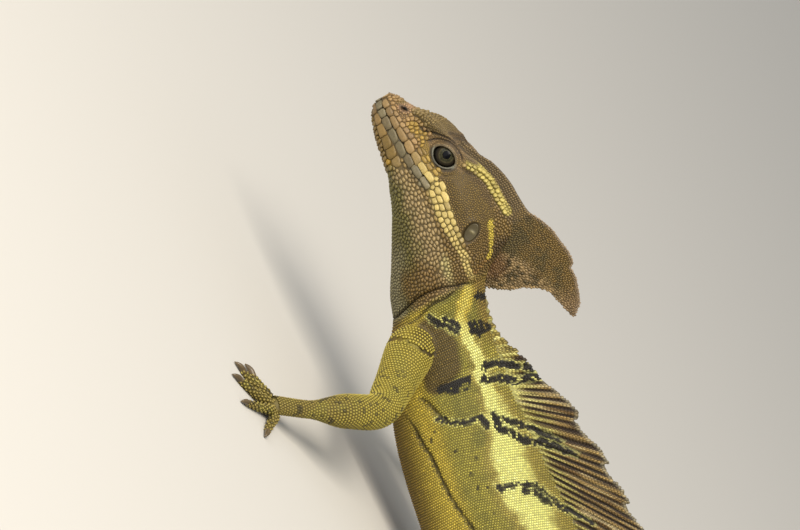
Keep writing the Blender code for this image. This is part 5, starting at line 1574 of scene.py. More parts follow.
def mesh_piece(name: str, points: Array, loops: Array, sizes: Array, finish: bpy.types.Material,
               tint: Array | None = None, rim: Array | None = None,
               uv: Array | None = None) -> bpy.types.Object:
    """A mesh object from flat arrays.

    Args:
        name: The piece's name.
        points: Vertex places in the row frame.
        loops: The vertex of each face corner, face after face.
        sizes: How many corners each face has.
        finish: The piece's material.
        tint: Linear RGB of each vertex.
        rim: 0 at the edge of a scale, 1 at its top.
        uv: Place of each face corner on the unwrap.

    Returns:
        The object, linked to the scene.
    """
    mesh = bpy.data.meshes.new(name)
    mesh.vertices.add(len(points))
    mesh.vertices.foreach_set("co", points.astype(np.float32).reshape(-1))
    mesh.loops.add(len(loops))
    mesh.loops.foreach_set("vertex_index", loops.astype(np.int32))
    mesh.polygons.add(len(sizes))
    starts = np.concatenate([[0], np.cumsum(sizes)[:-1]]).astype(np.int32)
    mesh.polygons.foreach_set("loop_start", starts)
    mesh.update(calc_edges=True)
    if tint is not None:
        layer = mesh.attributes.new("tint", "FLOAT_COLOR", "POINT")
        layer.data.foreach_set("color", np.column_stack([tint,
                                                         np.ones(len(tint))]).astype(np.float32).reshape(-1))
    if rim is not None:
        layer = mesh.attributes.new("rim", "FLOAT", "POINT")
        layer.data.foreach_set("value", rim.astype(np.float32))
    if uv is not None:
        layer = mesh.uv_layers.new(name="OFBake")
        layer.data.foreach_set("uv", uv.astype(np.float32).reshape(-1))
    mesh.materials.append(finish)
    mesh.shade_smooth()
    obj = bpy.data.objects.new(name, mesh)
    bpy.context.scene.collection.objects.link(obj)
    return obj


def grid_faces(rings: int, count: int, closed: bool = True) -> Array:
    """Quads between rings of equal count, one after another."""
    r = np.arange(rings - 1)[:, None]
    k = np.arange(count if closed else count - 1)[None, :]
    n = (k + 1) % count
    quads = np.stack([r * count + k, r * count + n, (r + 1) * count + n, (r + 1) * count + k], axis=2)
    return quads.reshape(-1, 4)


def closed_tube(name: str, rings: Array, start_tip: Array, end_tip: Array, finish: bpy.types.Material,
                flip: bool = False, tint: Array | None = None) -> bpy.types.Object:
    """A closed piece through rings of points, drawn together to a tip at each end."""
    ring_count, count, _ = rings.shape
    points = np.vstack([rings.reshape(-1, 3), start_tip, end_tip])
    quads = grid_faces(ring_count, count)
    k = np.arange(count)
    n = (k + 1) % count
    first, last = len(points) - 2, len(points) - 1
    top = (ring_count - 1) * count
    fans = np.vstack([np.column_stack([n, k, np.full(count, first)]),
                      np.column_stack([top + k, top + n, np.full(count, last)])])
    if flip:
        quads, fans = quads[:, ::-1], fans[:, ::-1]
    loops = np.concatenate([quads.reshape(-1), fans.reshape(-1)])
    sizes = np.concatenate([np.full(len(quads), 4), np.full(len(fans), 3)])
    return mesh_piece(name, points, loops, sizes, finish, tint)


def add_node(tree: bpy.types.NodeTree, kind: str, settings: dict | None = None,
             links: dict | None = None) -> bpy.types.Node:
    """Adds a node with its settings and links.

    Args:
        tree: The node tree.
        kind: The node's type.
        settings: Properties by lower-case name, and socket values by socket name or number.
        links: Output sockets by the name or number of the input they feed.

    Returns:
        The node.
    """
    node = tree.nodes.new(kind)
    for key, value in (settings or {}).items():
        if isinstance(key, str) and key[0].islower():
            setattr(node, key, value)
        else:
            node.inputs[key].default_value = value
    for key, source in (links or {}).items():
        tree.links.new(source, node.inputs[key])
    return node


@dataclass(frozen=True)
class Keratin:
    """Horny scale, as on a living lizard: thin keratin over pigment, with a soft waxy gloss.

    The eye sees a coloured top, a darker rim where each scale dips to the next, and a broad highlight.
    """

    name: str
    roughness: float = .48
    rim_dark: float = .34
    fleck_size: float = .00045

    def make(self) -> bpy.types.Material:
        """The material, coloured by each vertex's tint."""
        made = bpy.data.materials.new(self.name)
        made.use_nodes = True
        tree = made.node_tree
        shader = tree.nodes["Principled BSDF"]
        shader.inputs["Roughness"].default_value = self.roughness
        shader.inputs["IOR"].default_value = 1.54
        tint = add_node(tree, "ShaderNodeAttribute", {"attribute_name": "tint"})
        rim = add_node(tree, "ShaderNodeAttribute", {"attribute_name": "rim"})
        coords = add_node(tree, "ShaderNodeTexCoord")
        fleck = add_node(tree, "ShaderNodeTexNoise", {"Scale": 1 / self.fleck_size, "Detail": 3.0},
                         {"Vector": coords.outputs["Object"]})
        spread = add_node(tree, "ShaderNodeMapRange", {"From Min": .3, "From Max": .7, "To Min": .80,
                                                       "To Max": 1.16},
                          {"Value": fleck.outputs["Fac"]})
        dip = add_node(tree, "ShaderNodeMapRange", {"From Min": 0.0, "From Max": .75,
                                                    "To Min": self.rim_dark,
                                                    "To Max": 1.0}, {"Value": rim.outputs["Fac"]})
        shade = add_node(tree, "ShaderNodeMath", {"operation": "MULTIPLY"},
                         {0: spread.outputs[0], 1: dip.outputs[0]})
        colour = add_node(tree, "ShaderNodeVectorMath", {"operation": "SCALE"},
                          {0: tint.outputs["Color"], "Scale": shade.outputs[0]})
        tree.links.new(colour.outputs[0], shader.inputs["Base Color"])
        bump = add_node(tree, "ShaderNodeBump", {"Strength": .25, "Distance": .00006},
                        {"Height": fleck.outputs["Fac"]})
        tree.links.new(bump.outputs[0], shader.inputs["Normal"])
        return made


@dataclass(frozen=True)
class Hide:
    """Soft skin between and under the scales: matt, darker than the scales, finely creased."""

    name: str
    roughness: float = .62
    dark: float = .45
    crease_size: float = .0007

    def make(self) -> bpy.types.Material:
        """The material, coloured by each vertex's tint."""
        made = bpy.data.materials.new(self.name)
        made.use_nodes = True
        tree = made.node_tree
        shader = tree.nodes["Principled BSDF"]
        shader.inputs["Roughness"].default_value = self.roughness
        shader.inputs["IOR"].default_value = 1.45
        tint = add_node(tree, "ShaderNodeAttribute", {"attribute_name": "tint"})
        coords = add_node(tree, "ShaderNodeTexCoord")
        cells = add_node(tree, "ShaderNodeTexVoronoi", {"feature": "DISTANCE_TO_EDGE",
                                                        "Scale": 1 / self.crease_size},
                         {"Vector": coords.outputs["Object"]})
        edge = add_node(tree, "ShaderNodeMapRange", {"From Min": 0.0, "From Max": .12,
                                                     "To Min": self.dark * .6,
                                                     "To Max": self.dark},
                                                     {"Value": cells.outputs["Distance"]})
        colour = add_node(tree, "ShaderNodeVectorMath", {"operation": "SCALE"},
                          {0: tint.outputs["Color"], "Scale": edge.outputs[0]})
        tree.links.new(colour.outputs[0], shader.inputs["Base Color"])
        bump = add_node(tree, "ShaderNodeBump", {"Strength": .4, "Distance": .0001},
                        {"Height": cells.outputs["Distance"]})
        tree.links.new(bump.outputs[0], shader.inputs["Normal"])
        return made


@dataclass(frozen=True)
class Cornea:
    """A lizard's eye: clear wet cornea over a dark olive iris with a paler ring and a round black pupil."""

    name: str = "wet_eye"

    def make(self) -> bpy.types.Material:
        """The material, drawn by the angle from the pupil's centre."""
        made = bpy.data.materials.new(self.name)
        made.use_nodes = True
        tree = made.node_tree
        shader = tree.nodes["Principled BSDF"]
        shader.inputs["Roughness"].default_value = .25
        shader.inputs["IOR"].default_value = 1.38
        shader.inputs["Specular IOR Level"].default_value = .12
        shader.inputs["Coat Weight"].default_value = .14
        shader.inputs["Coat Roughness"].default_value = .05
        ring = add_node(tree, "ShaderNodeAttribute", {"attribute_name": "ring"})
        spoke = add_node(tree, "ShaderNodeAttribute", {"attribute_name": "spoke"})
        noise = add_node(tree, "ShaderNodeTexNoise", {"Scale": 1.0, "Detail": 3.0},
                         {"Vector": spoke.outputs["Vector"]})
        jitter = add_node(tree, "ShaderNodeMapRange", {"From Min": .3, "From Max": .7, "To Min": -.03,
                                                       "To Max": .03},
                          {"Value": noise.outputs["Fac"]})
        radius = add_node(tree, "ShaderNodeMath", {"operation": "ADD"}, {0: ring.outputs["Fac"],
                                                                         1: jitter.outputs[0]})
        ramp_node = add_node(tree, "ShaderNodeValToRGB", {}, {"Fac": radius.outputs[0]})
        stops = ((0.0, "#020203"), (.300, "#020203"), (.315, "#4E4A2C"), (.345, "#26261A"), (.42, "#2D2C1C"),
                 (.50, "#453F2A"), (.55, "#262316"), (.62, "#241D12"), (.70, "#12100B"), (1.0, "#0A0907"))
        elements = ramp_node.color_ramp.elements
        while len(elements) < len(stops):
            elements.new(.5)
        for element, (place, colour) in zip(elements, stops):
            element.position = place
            element.color = (*linear(colour), 1)
        streak = add_node(tree, "ShaderNodeMapRange", {"From Min": .3, "From Max": .7, "To Min": .65,
                                                       "To Max": 1.4},
                          {"Value": noise.outputs["Fac"]})
        colour = add_node(tree, "ShaderNodeVectorMath", {"operation": "SCALE"},
                          {0: ramp_node.outputs["Color"], "Scale": streak.outputs[0]})
        tree.links.new(colour.outputs[0], shader.inputs["Base Color"])
        return made


@dataclass(frozen=True)
class Horn:
    """Claw horn: dark translucent keratin, polished by use."""

    name: str = "claw_horn"

    def make(self) -> bpy.types.Material:
        """The material, mottled between two browns by fine noise."""
        made = bpy.data.materials.new(self.name)
        made.use_nodes = True
        tree = made.node_tree
        shader = tree.nodes["Principled BSDF"]
        shader.inputs["Roughness"].default_value = .32
        shader.inputs["IOR"].default_value = 1.54
        coords = add_node(tree, "ShaderNodeTexCoord")
        noise = add_node(tree, "ShaderNodeTexNoise", {"Scale": 900.0, "Detail": 2.0},
                         {"Vector": coords.outputs["Object"]})
        blend = add_node(tree, "ShaderNodeMix", {"data_type": "RGBA", 6: (*linear("#3A2E1C"), 1),
                                                 7: (*linear("#6E5B3A"), 1)}, {0: noise.outputs["Fac"]})
        tree.links.new(blend.outputs[2], shader.inputs["Base Color"])
        return made


@dataclass(frozen=True)
class Membrane:
    """The eardrum: thin smooth skin stretched in its ring, brown and slightly glossy."""

    name: str = "eardrum_skin"

    def make(self) -> bpy.types.Material:
        """The material, coloured by each vertex's tint."""
        made = bpy.data.materials.new(self.name)
        made.use_nodes = True
        tree = made.node_tree
        shader = tree.nodes["Principled BSDF"]
        shader.inputs["Roughness"].default_value = .4
        tint = add_node(tree, "ShaderNodeAttribute", {"attribute_name": "tint"})
        tree.links.new(tint.outputs["Color"], shader.inputs["Base Color"])
        return made


class Skin:
    """The one skin under all scales: head, trunk and tail fused with the limbs and digits."""

    ROWS = np.concatenate([np.linspace(0, .6, 12)[:-1], np.linspace(.6, 1, 5)[:-1],
                           np.linspace(1, 3.1, 27)[:-1],
                           np.linspace(3.1, 5, 17)[:-1],
                           np.linspace(5, 6.2, 14)[:-1], np.linspace(6.2, 8, 11)])
    SMOOTH_REACH, SMOOTH_TURNS = .0022, 14

    def __init__(self, finish: bpy.types.Material) -> None:
        """Keeps the skin's material."""
        self.finish = finish

    def stations(self) -> Array:
        """Distances behind the snout of the rings, close on the head and wide on the tail."""
        head = np.arange(.0007, .0590, .00046)
        neck = np.arange(.0590, .0745, .0007)
        trunk = np.concatenate([np.arange(.0745, .1100, .0009), np.arange(.1100, BODY.tail_start, .0017)])
        tail = [BODY.tail_start]
        while tail[-1] < BODY.tail_start + TAIL_LENGTH - .0015:
            tail.append(tail[-1] + .0016 + .0016 * min(1, (tail[-1] - BODY.tail_start) / .15))
        return np.concatenate([head, neck, trunk, tail[:-1], [BODY.tail_start + TAIL_LENGTH - .001]])

    def body(self) -> bpy.types.Object:
        """Head, trunk and tail as one closed grid."""
        stations = self.stations()
        d, r = np.meshgrid(stations, self.ROWS, indexing="ij")
        left = BODY.point(d.reshape(-1), r.reshape(-1), np.ones(d.size)).reshape(*d.shape, 3)
        right = left.copy()
        centre = BODY.middle(stations) + SHIFT[:2]
        turn = np.where(stations > BODY.tail_start, np.interp(stations - BODY.tail_start, BODY.behind,
                                                              BODY.heading), 0)
        way = np.column_stack([-np.sin(turn), np.cos(turn)])
        off = np.einsum("ijk,ik->ij", left[..., :2] - centre[:, None], way)
        right[..., :2] = left[..., :2] - 2 * off[..., None] * way[:, None]
        rings = np.concatenate([left, right[:, -2:0:-1]], axis=1)
        nose = self.nose(rings[0])
        rings = np.concatenate([nose, rings])
        start = np.array([SNOUT_X - COAT_DEPTH, 0, SNOUT_TIP_Z]) + SHIFT
        end = np.array([*BODY.middle(stations[-1:] + .001)[0], .0005]) + SHIFT
        return closed_tube("skin", rings, start, end, self.finish)

    @staticmethod
    def nose(first: Array) -> Array:
        """Extra rings that round the snout's tip."""
        tip = np.array([SNOUT_X - COAT_DEPTH, 0, SNOUT_TIP_Z]) + SHIFT
        rings = []
        for turn in np.radians([72, 54, 36, 18]):
            ring = tip + (first - tip) * math.cos(turn)
            ring[:, 0] = first[:, 0] + (tip[0] - first[:, 0]) * math.sin(turn)
            rings.append(ring)
        return np.array(rings)

    def limb_pieces(self, limb: Limb) -> list[bpy.types.Object]:
        """A limb and its digits as closed tubes."""
        tube = limb.tube()
        made = [self.tube_piece(tube, 30, .0011, .0020)]
        for digit, _, _ in limb.digit_tubes():
            made.append(self.tube_piece(digit, 12, .0012, .0007))
        return made

    def tube_piece(self, tube: Tube, sides: int, step: float, tip: float) -> bpy.types.Object:
        """One tube with rounded ends."""
        lengths = np.linspace(0, tube.length[-1], max(4, round(tube.length[-1] / step)))
        turns = np.linspace(0, 2 * math.pi, sides, endpoint=False)
        length, turn = np.meshgrid(lengths, turns, indexing="ij")
        rings = tube.point(length.reshape(-1), turn.reshape(-1)).reshape(*length.shape, 3)
        start = tube.line[0] - tube.ahead[0] * .001 + SHIFT
        end = tube.line[-1] + tube.ahead[-1] * tip + SHIFT
        cap = rings[-1] + (end - rings[-1]) * .5 + tube.ahead[-1] * tip * .22
        cap[:, 2] = np.maximum(cap[:, 2], 0)
        return closed_tube("tube", np.concatenate([rings, cap[None]]), start, end, self.finish, flip=False)

    def lid_rims(self) -> list[bpy.types.Object]:
        """The thickened rim of each eye's lids."""
        made = []
        reach = EYE_RADIUS + LID_SHELL * .62
        for side in (1, -1):
            centre = np.array(EYE_CENTRE) * (1, side, 1) + SHIFT
            long_way = np.array([-math.cos(EYE_SLANT), 0, math.sin(EYE_SLANT)])
            short_way = np.array([math.sin(EYE_SLANT), 0, math.cos(EYE_SLANT)])
            turns = np.linspace(0, 2 * math.pi, 72, endpoint=False)
            almond = np.sin(turns) * (.82 + .18 * np.abs(np.sin(turns)))
            flat = (np.outer(np.cos(turns) * LID_LONG * 1.02, long_way)
                    + np.outer(almond * LID_SHORT * 1.02, short_way))
            path = flat + np.array([0, side, 0]) * np.sqrt(reach**2 - (flat**2).sum(axis=1))[:, None]
            out = unit(path)
            over = unit(np.cross(out, unit(np.roll(path, -1, axis=0) - np.roll(path, 1, axis=0))))
            angles = np.linspace(0, 2 * math.pi, 10, endpoint=False)
            rings = (centre + path[:, None] + (out[:, None] * np.cos(angles)[None, :, None]
                                               + over[:, None] * np.sin(angles)[None, :, None]) * .00027)
            points = rings.reshape(-1, 3)
            r = np.arange(72)[:, None]
            k = np.arange(10)[None, :]
            nr, nk = (r + 1) % 72, (k + 1) % 10
            quads = np.stack([r * 10 + k, r * 10 + nk, nr * 10 + nk, nr * 10 + k], axis=2).reshape(-1, 4)
            piece = mesh_piece("rim", points, quads.reshape(-1), np.full(len(quads), 4), self.finish)
            made.append(piece)
        return made

    def build(self) -> bpy.types.Object:
        """The whole skin, fused, smoothed where limbs join the trunk, and coloured."""
        body = self.body()
        fix_normals(body)
        body_tree = tree_of(body)
        limbs = [piece for limb in LIMBS for piece in self.limb_pieces(limb)] + self.lid_rims()
        for piece in limbs:
            fix_normals(piece)
        limb_tree = joined_tree(limbs)
        fuse(body, limbs)
        self.smooth_joins(body, body_tree, limb_tree)
        self.crease(body)
        self.paint(body)
        LOG.info("skin: %d triangles", triangles(body))
        return body

    def smooth_joins(self, skin: bpy.types.Object, body_tree: BVHTree, limb_tree: BVHTree) -> None:
        """Softens the line where each limb meets the trunk."""
        bm = bmesh.new()
        bm.from_mesh(skin.data)
        zone = []
        for vertex in bm.verts:
            x = vertex.co.x - SHIFT[0]
            if not (-.130 < x < -.088 or -.020 < x < .012) or abs(vertex.co.y - SHIFT[1]) > .024:
                continue
            one = body_tree.find_nearest(vertex.co)[3]
            two = limb_tree.find_nearest(vertex.co)[3]
            if one < self.SMOOTH_REACH and two < self.SMOOTH_REACH:
                zone.append(vertex)
        for _ in range(self.SMOOTH_TURNS):
            bmesh.ops.smooth_vert(bm, verts=zone, factor=.5, use_axis_x=True, use_axis_y=True,
                                  use_axis_z=True)
        bm.to_mesh(skin.data)
        bm.free()

    @staticmethod
    def crease(skin: bpy.types.Object) -> None:
        """Presses the creases in that cross the roots of the arms."""
        mesh = skin.data
        count = len(mesh.vertices)
        points, normals = np.zeros(count * 3, np.float32), np.zeros(count * 3, np.float32)
        mesh.vertices.foreach_get("co", points)
        mesh.vertex_normals.foreach_get("vector", normals)
        points, normals = points.reshape(-1, 3).astype(float), normals.reshape(-1, 3).astype(float)
        own = points - SHIFT
        depth = np.zeros(count)
        for fold in LATE_FOLDS:
            gap, share = near_line(own[:, [0, 2]], fold.line)
            ends = np.clip(share / .12, 0, 1) * np.clip((1 - share) / .12, 0, 1)
            depth += ends * fold.height * np.exp(-(gap / fold.width) ** 2)
        depth *= (np.abs(own[:, 1]) < .0195) * np.clip(np.abs(normals[:, 1]) * 2.5, 0, 1)
        points += normals * depth[:, None]
        mesh.vertices.foreach_set("co", points.astype(np.float32).reshape(-1))
        mesh.update()

    def paint(self, skin: bpy.types.Object) -> None:
        """Stores each vertex's tint: the markings' colour at its place."""
        mesh = skin.data
        points = np.zeros(len(mesh.vertices) * 3, np.float32)
        mesh.vertices.foreach_get("co", points)
        points = points.reshape(-1, 3).astype(float)
        colour = MARKINGS.body(straight(points))
        width = np.abs(straight(points)[:, 1])
        own = points - SHIFT
        limit = np.where(own[:, 0] > -.05, .0175, .0190)
        tail = own[:, 0] < TAIL_START_X - .03
        on_limb = (width > limit) & ~tail | (tail & (width > .012))
        share = np.clip((width - .015) / .06, 0, 1)
        limb = MARKINGS.limb(own, share)
        colour = np.where(on_limb[:, None], limb, colour)
        layer = mesh.attributes.get("tint") or mesh.attributes.new("tint", "FLOAT_COLOR", "POINT")
        layer.data.foreach_set(
            "color", np.column_stack([colour, np.ones(len(colour))]).astype(np.float32).reshape(-1))


def fix_normals(obj: bpy.types.Object) -> None:
    """Merges doubles and points every face outwards."""
    bm = bmesh.new()
    bm.from_mesh(obj.data)
    bmesh.ops.remove_doubles(bm, verts=bm.verts, dist=2e-6)
    bmesh.ops.recalc_face_normals(bm, faces=bm.faces)
    if bm.calc_volume(signed=True) < 0:
        bmesh.ops.reverse_faces(bm, faces=bm.faces)
    bm.to_mesh(obj.data)
    bm.free()


def tree_of(obj: bpy.types.Object) -> BVHTree:
    """A search tree over an object's faces."""
    bm = bmesh.new()
    bm.from_mesh(obj.data)
    tree = BVHTree.FromBMesh(bm)
    bm.free()
    return tree


def joined_tree(objects: list[bpy.types.Object]) -> BVHTree:
    """A search tree over the faces of several objects."""
    bm = bmesh.new()
    for obj in objects:
        bm.from_mesh(obj.data)
    tree = BVHTree.FromBMesh(bm)
    bm.free()
    return tree


def triangles(obj: bpy.types.Object) -> int:
    """How many triangles an object's mesh has."""
    return sum(len(face.vertices) - 2 for face in obj.data.polygons)


def fuse(target: bpy.types.Object, pieces: list[bpy.types.Object]) -> None:
    """Joins closed pieces to a target by one Boolean union and removes the pieces."""
    group = bpy.data.collections.new("pieces")
    bpy.context.scene.collection.children.link(group)
    for piece in pieces:
        bpy.context.scene.collection.objects.unlink(piece)
        group.objects.link(piece)
    boolean = target.modifiers.new("fuse", "BOOLEAN")
    boolean.operation = "UNION"
    boolean.operand_type = "COLLECTION"
    boolean.collection = group
    boolean.solver = "EXACT"
    bpy.context.view_layer.update()
    result = bpy.data.meshes.new_from_object(target.evaluated_get(bpy.context.evaluated_depsgraph_get()))
    target.modifiers.clear()
    target.data = result
    for piece in list(group.objects):
        bpy.data.objects.remove(piece)
    bpy.data.collections.remove(group)
    result.shade_smooth()


class Eye:
    """One eyeball, with the pupil on its pole."""

    AXIS = (.02, .97, .23)
    MERIDIANS, PARALLELS = 64, 44

    def __init__(self, side: int, finish: bpy.types.Material) -> None:
        """Keeps the side, 1 for the left and -1 for the right, and the material."""
        self.side = side
        self.finish = finish

    def build(self, name: str) -> bpy.types.Object:
        """The eyeball with its ring and spoke attributes."""
        axis = unit(np.array(self.AXIS) * (1, self.side, 1))
        ahead = unit(np.cross(axis, [0, 0, 1]))
        up = np.cross(ahead, axis)
        centre = np.array(EYE_CENTRE) * (1, self.side, 1) + SHIFT
        turns = np.linspace(0, 2 * math.pi, self.MERIDIANS, endpoint=False)
        angles = np.linspace(0, math.pi, self.PARALLELS + 1)[1:-1]
        rings = []
        for angle in angles:
            flat = np.outer(np.cos(turns), ahead) + np.outer(np.sin(turns), up)
            rings.append(centre + (flat * math.sin(angle) + axis * math.cos(angle)) * EYE_RADIUS * .995)
        eye = closed_tube(name, np.array(rings), centre + axis * EYE_RADIUS * .995,
                          centre - axis * EYE_RADIUS * .995, self.finish)
        fix_normals(eye)
        points = np.zeros(len(eye.data.vertices) * 3, np.float32)
        eye.data.vertices.foreach_get("co", points)
        local = (points.reshape(-1, 3) - centre) / EYE_RADIUS
        out = local @ axis
        ring = np.where(out > 0, np.sqrt(np.maximum(0, 1 - out**2)), 1.0)
        flat = local - out[:, None] * axis
        spoke = unit(flat) * 6 + ring[:, None]
        eye.data.attributes.new("ring", "FLOAT", "POINT").data.foreach_set("value", ring.astype(np.float32))
        layer = eye.data.attributes.new("spoke", "FLOAT_VECTOR", "POINT")
        layer.data.foreach_set("vector", spoke.astype(np.float32).reshape(-1))
        return eye


class Eardrum:
    """One eardrum: a thin oval skin low in its ring, with the ear bone's ridge showing through."""

    THICK, GAP = .0006, .0003
    RINGS, SIDES = 10, 40

    def __init__(self, side: int, finish: bpy.types.Material) -> None:
        """Keeps the side, 1 for the left and -1 for the right, and the material."""
        self.side = side
        self.finish = finish

    def build(self, name: str) -> bpy.types.Object:
        """The eardrum as a closed lens."""
        rows = np.linspace(1, 7, 241)
        half, _ = BODY.half(np.full(241, SNOUT_X - EAR_CENTRE[0]), rows)
        wide = half[np.argmin(np.abs(half[:, 1] - EAR_CENTRE[1])), 0]
        centre = np.array([EAR_CENTRE[0], self.side * (wide - EAR_DEPTH + self.GAP), EAR_CENTRE[1]]) + SHIFT
        long_way = np.array([math.sin(EAR_LEAN), 0, math.cos(EAR_LEAN)])
        short_way = np.array([math.cos(EAR_LEAN), 0, -math.sin(EAR_LEAN)])
        out = np.array([0, self.side, 0])
        turns = np.linspace(0, 2 * math.pi, self.SIDES, endpoint=False)
        rings, tints = [], []
        for share, rise in ((.999, 0.0), *((1 - k / self.RINGS, 1.0) for k in range(self.RINGS))):
            a, b = np.cos(turns) * share, np.sin(turns) * share
            bone = np.exp(-((a - .1) / .13) ** 2) * np.exp(-((b + .1) / .45) ** 2)
            sag = .35 * (1 - share**2)
            height = self.THICK * (rise * (1 - sag) + rise * .35 * bone)
            rings.append(centre + np.outer(a * (EAR_LONG - self.GAP), long_way)
                         + np.outer(b * (EAR_SHORT - self.GAP), short_way) + np.outer(height, out))
            tints.append(mix(np.tile(linear("#4A4126"), (self.SIDES, 1)), linear("#8F8560"), bone * rise))
        drum = closed_tube(name, np.array(rings), centre, centre + out * self.THICK * .68, self.finish)
        tint = np.concatenate([*tints, linear("#4A4126")[None], linear("#6E6443")[None]])
        layer = drum.data.attributes.new("tint", "FLOAT_COLOR", "POINT")
        layer.data.foreach_set("color", np.column_stack([tint,
                                                         np.ones(len(tint))]).astype(np.float32).reshape(-1))
        fix_normals(drum)
        return drum


class Claws:
    """The claws of all digits: curved horn cones that come down to the floor."""

    SIDES, RINGS, TIP_RISE = 10, 8, .0003

    def __init__(self, finish: bpy.types.Material) -> None:
        """Keeps the horn's material."""
        self.finish = finish

    def build(self, name: str, kind: str) -> bpy.types.Object:
        """The claws of all limbs of a kind, arm or leg, in one piece."""
        bm = bmesh.new()
        for limb in LIMBS:
            if not limb.name.startswith(kind):
                continue
            for _, end, way in limb.digit_tubes():
                self.add(bm, end, way, limb.claw, limb.digit_radius)
        mesh = bpy.data.meshes.new(name)
        bmesh.ops.recalc_face_normals(bm, faces=bm.faces)
        bm.to_mesh(mesh)
        bm.free()
        mesh.materials.append(self.finish)
        mesh.shade_smooth()
        obj = bpy.data.objects.new(name, mesh)
        bpy.context.scene.collection.objects.link(obj)
        return obj

    def add(self, bm: bmesh.types.BMesh, root: Array, way: Array, length: float, radius: float) -> None:
        """Adds one claw to the mesh."""
        up = np.array([0.0, 0, 1])
        path = [root - way * radius * .6, root + way * length * .35 + up * radius * .16,
                root + way * length * .8]
        path[-1][2] = max(self.TIP_RISE * 2, path[-1][2] - radius * .3)
        tip = root + way * length
        tip[2] = self.TIP_RISE
        tube = Tube(np.array([*path, tip]), np.array([.55, .48, .26, .05]) * radius, np.full(4, 1.15))
        lengths = np.linspace(0, tube.length[-1] * .985, self.RINGS)
        turns = np.linspace(0, 2 * math.pi, self.SIDES, endpoint=False)
        at, turn = np.meshgrid(lengths, turns, indexing="ij")
        points = tube.point(at.reshape(-1), turn.reshape(-1), 0)
        made = [bm.verts.new(tuple(p)) for p in points]
        for a, b, c, d in grid_faces(self.RINGS, self.SIDES):
            bm.faces.new((made[a], made[b], made[c], made[d]))
        bm.faces.new(made[:self.SIDES])
        bm.faces.new(made[-self.SIDES:])


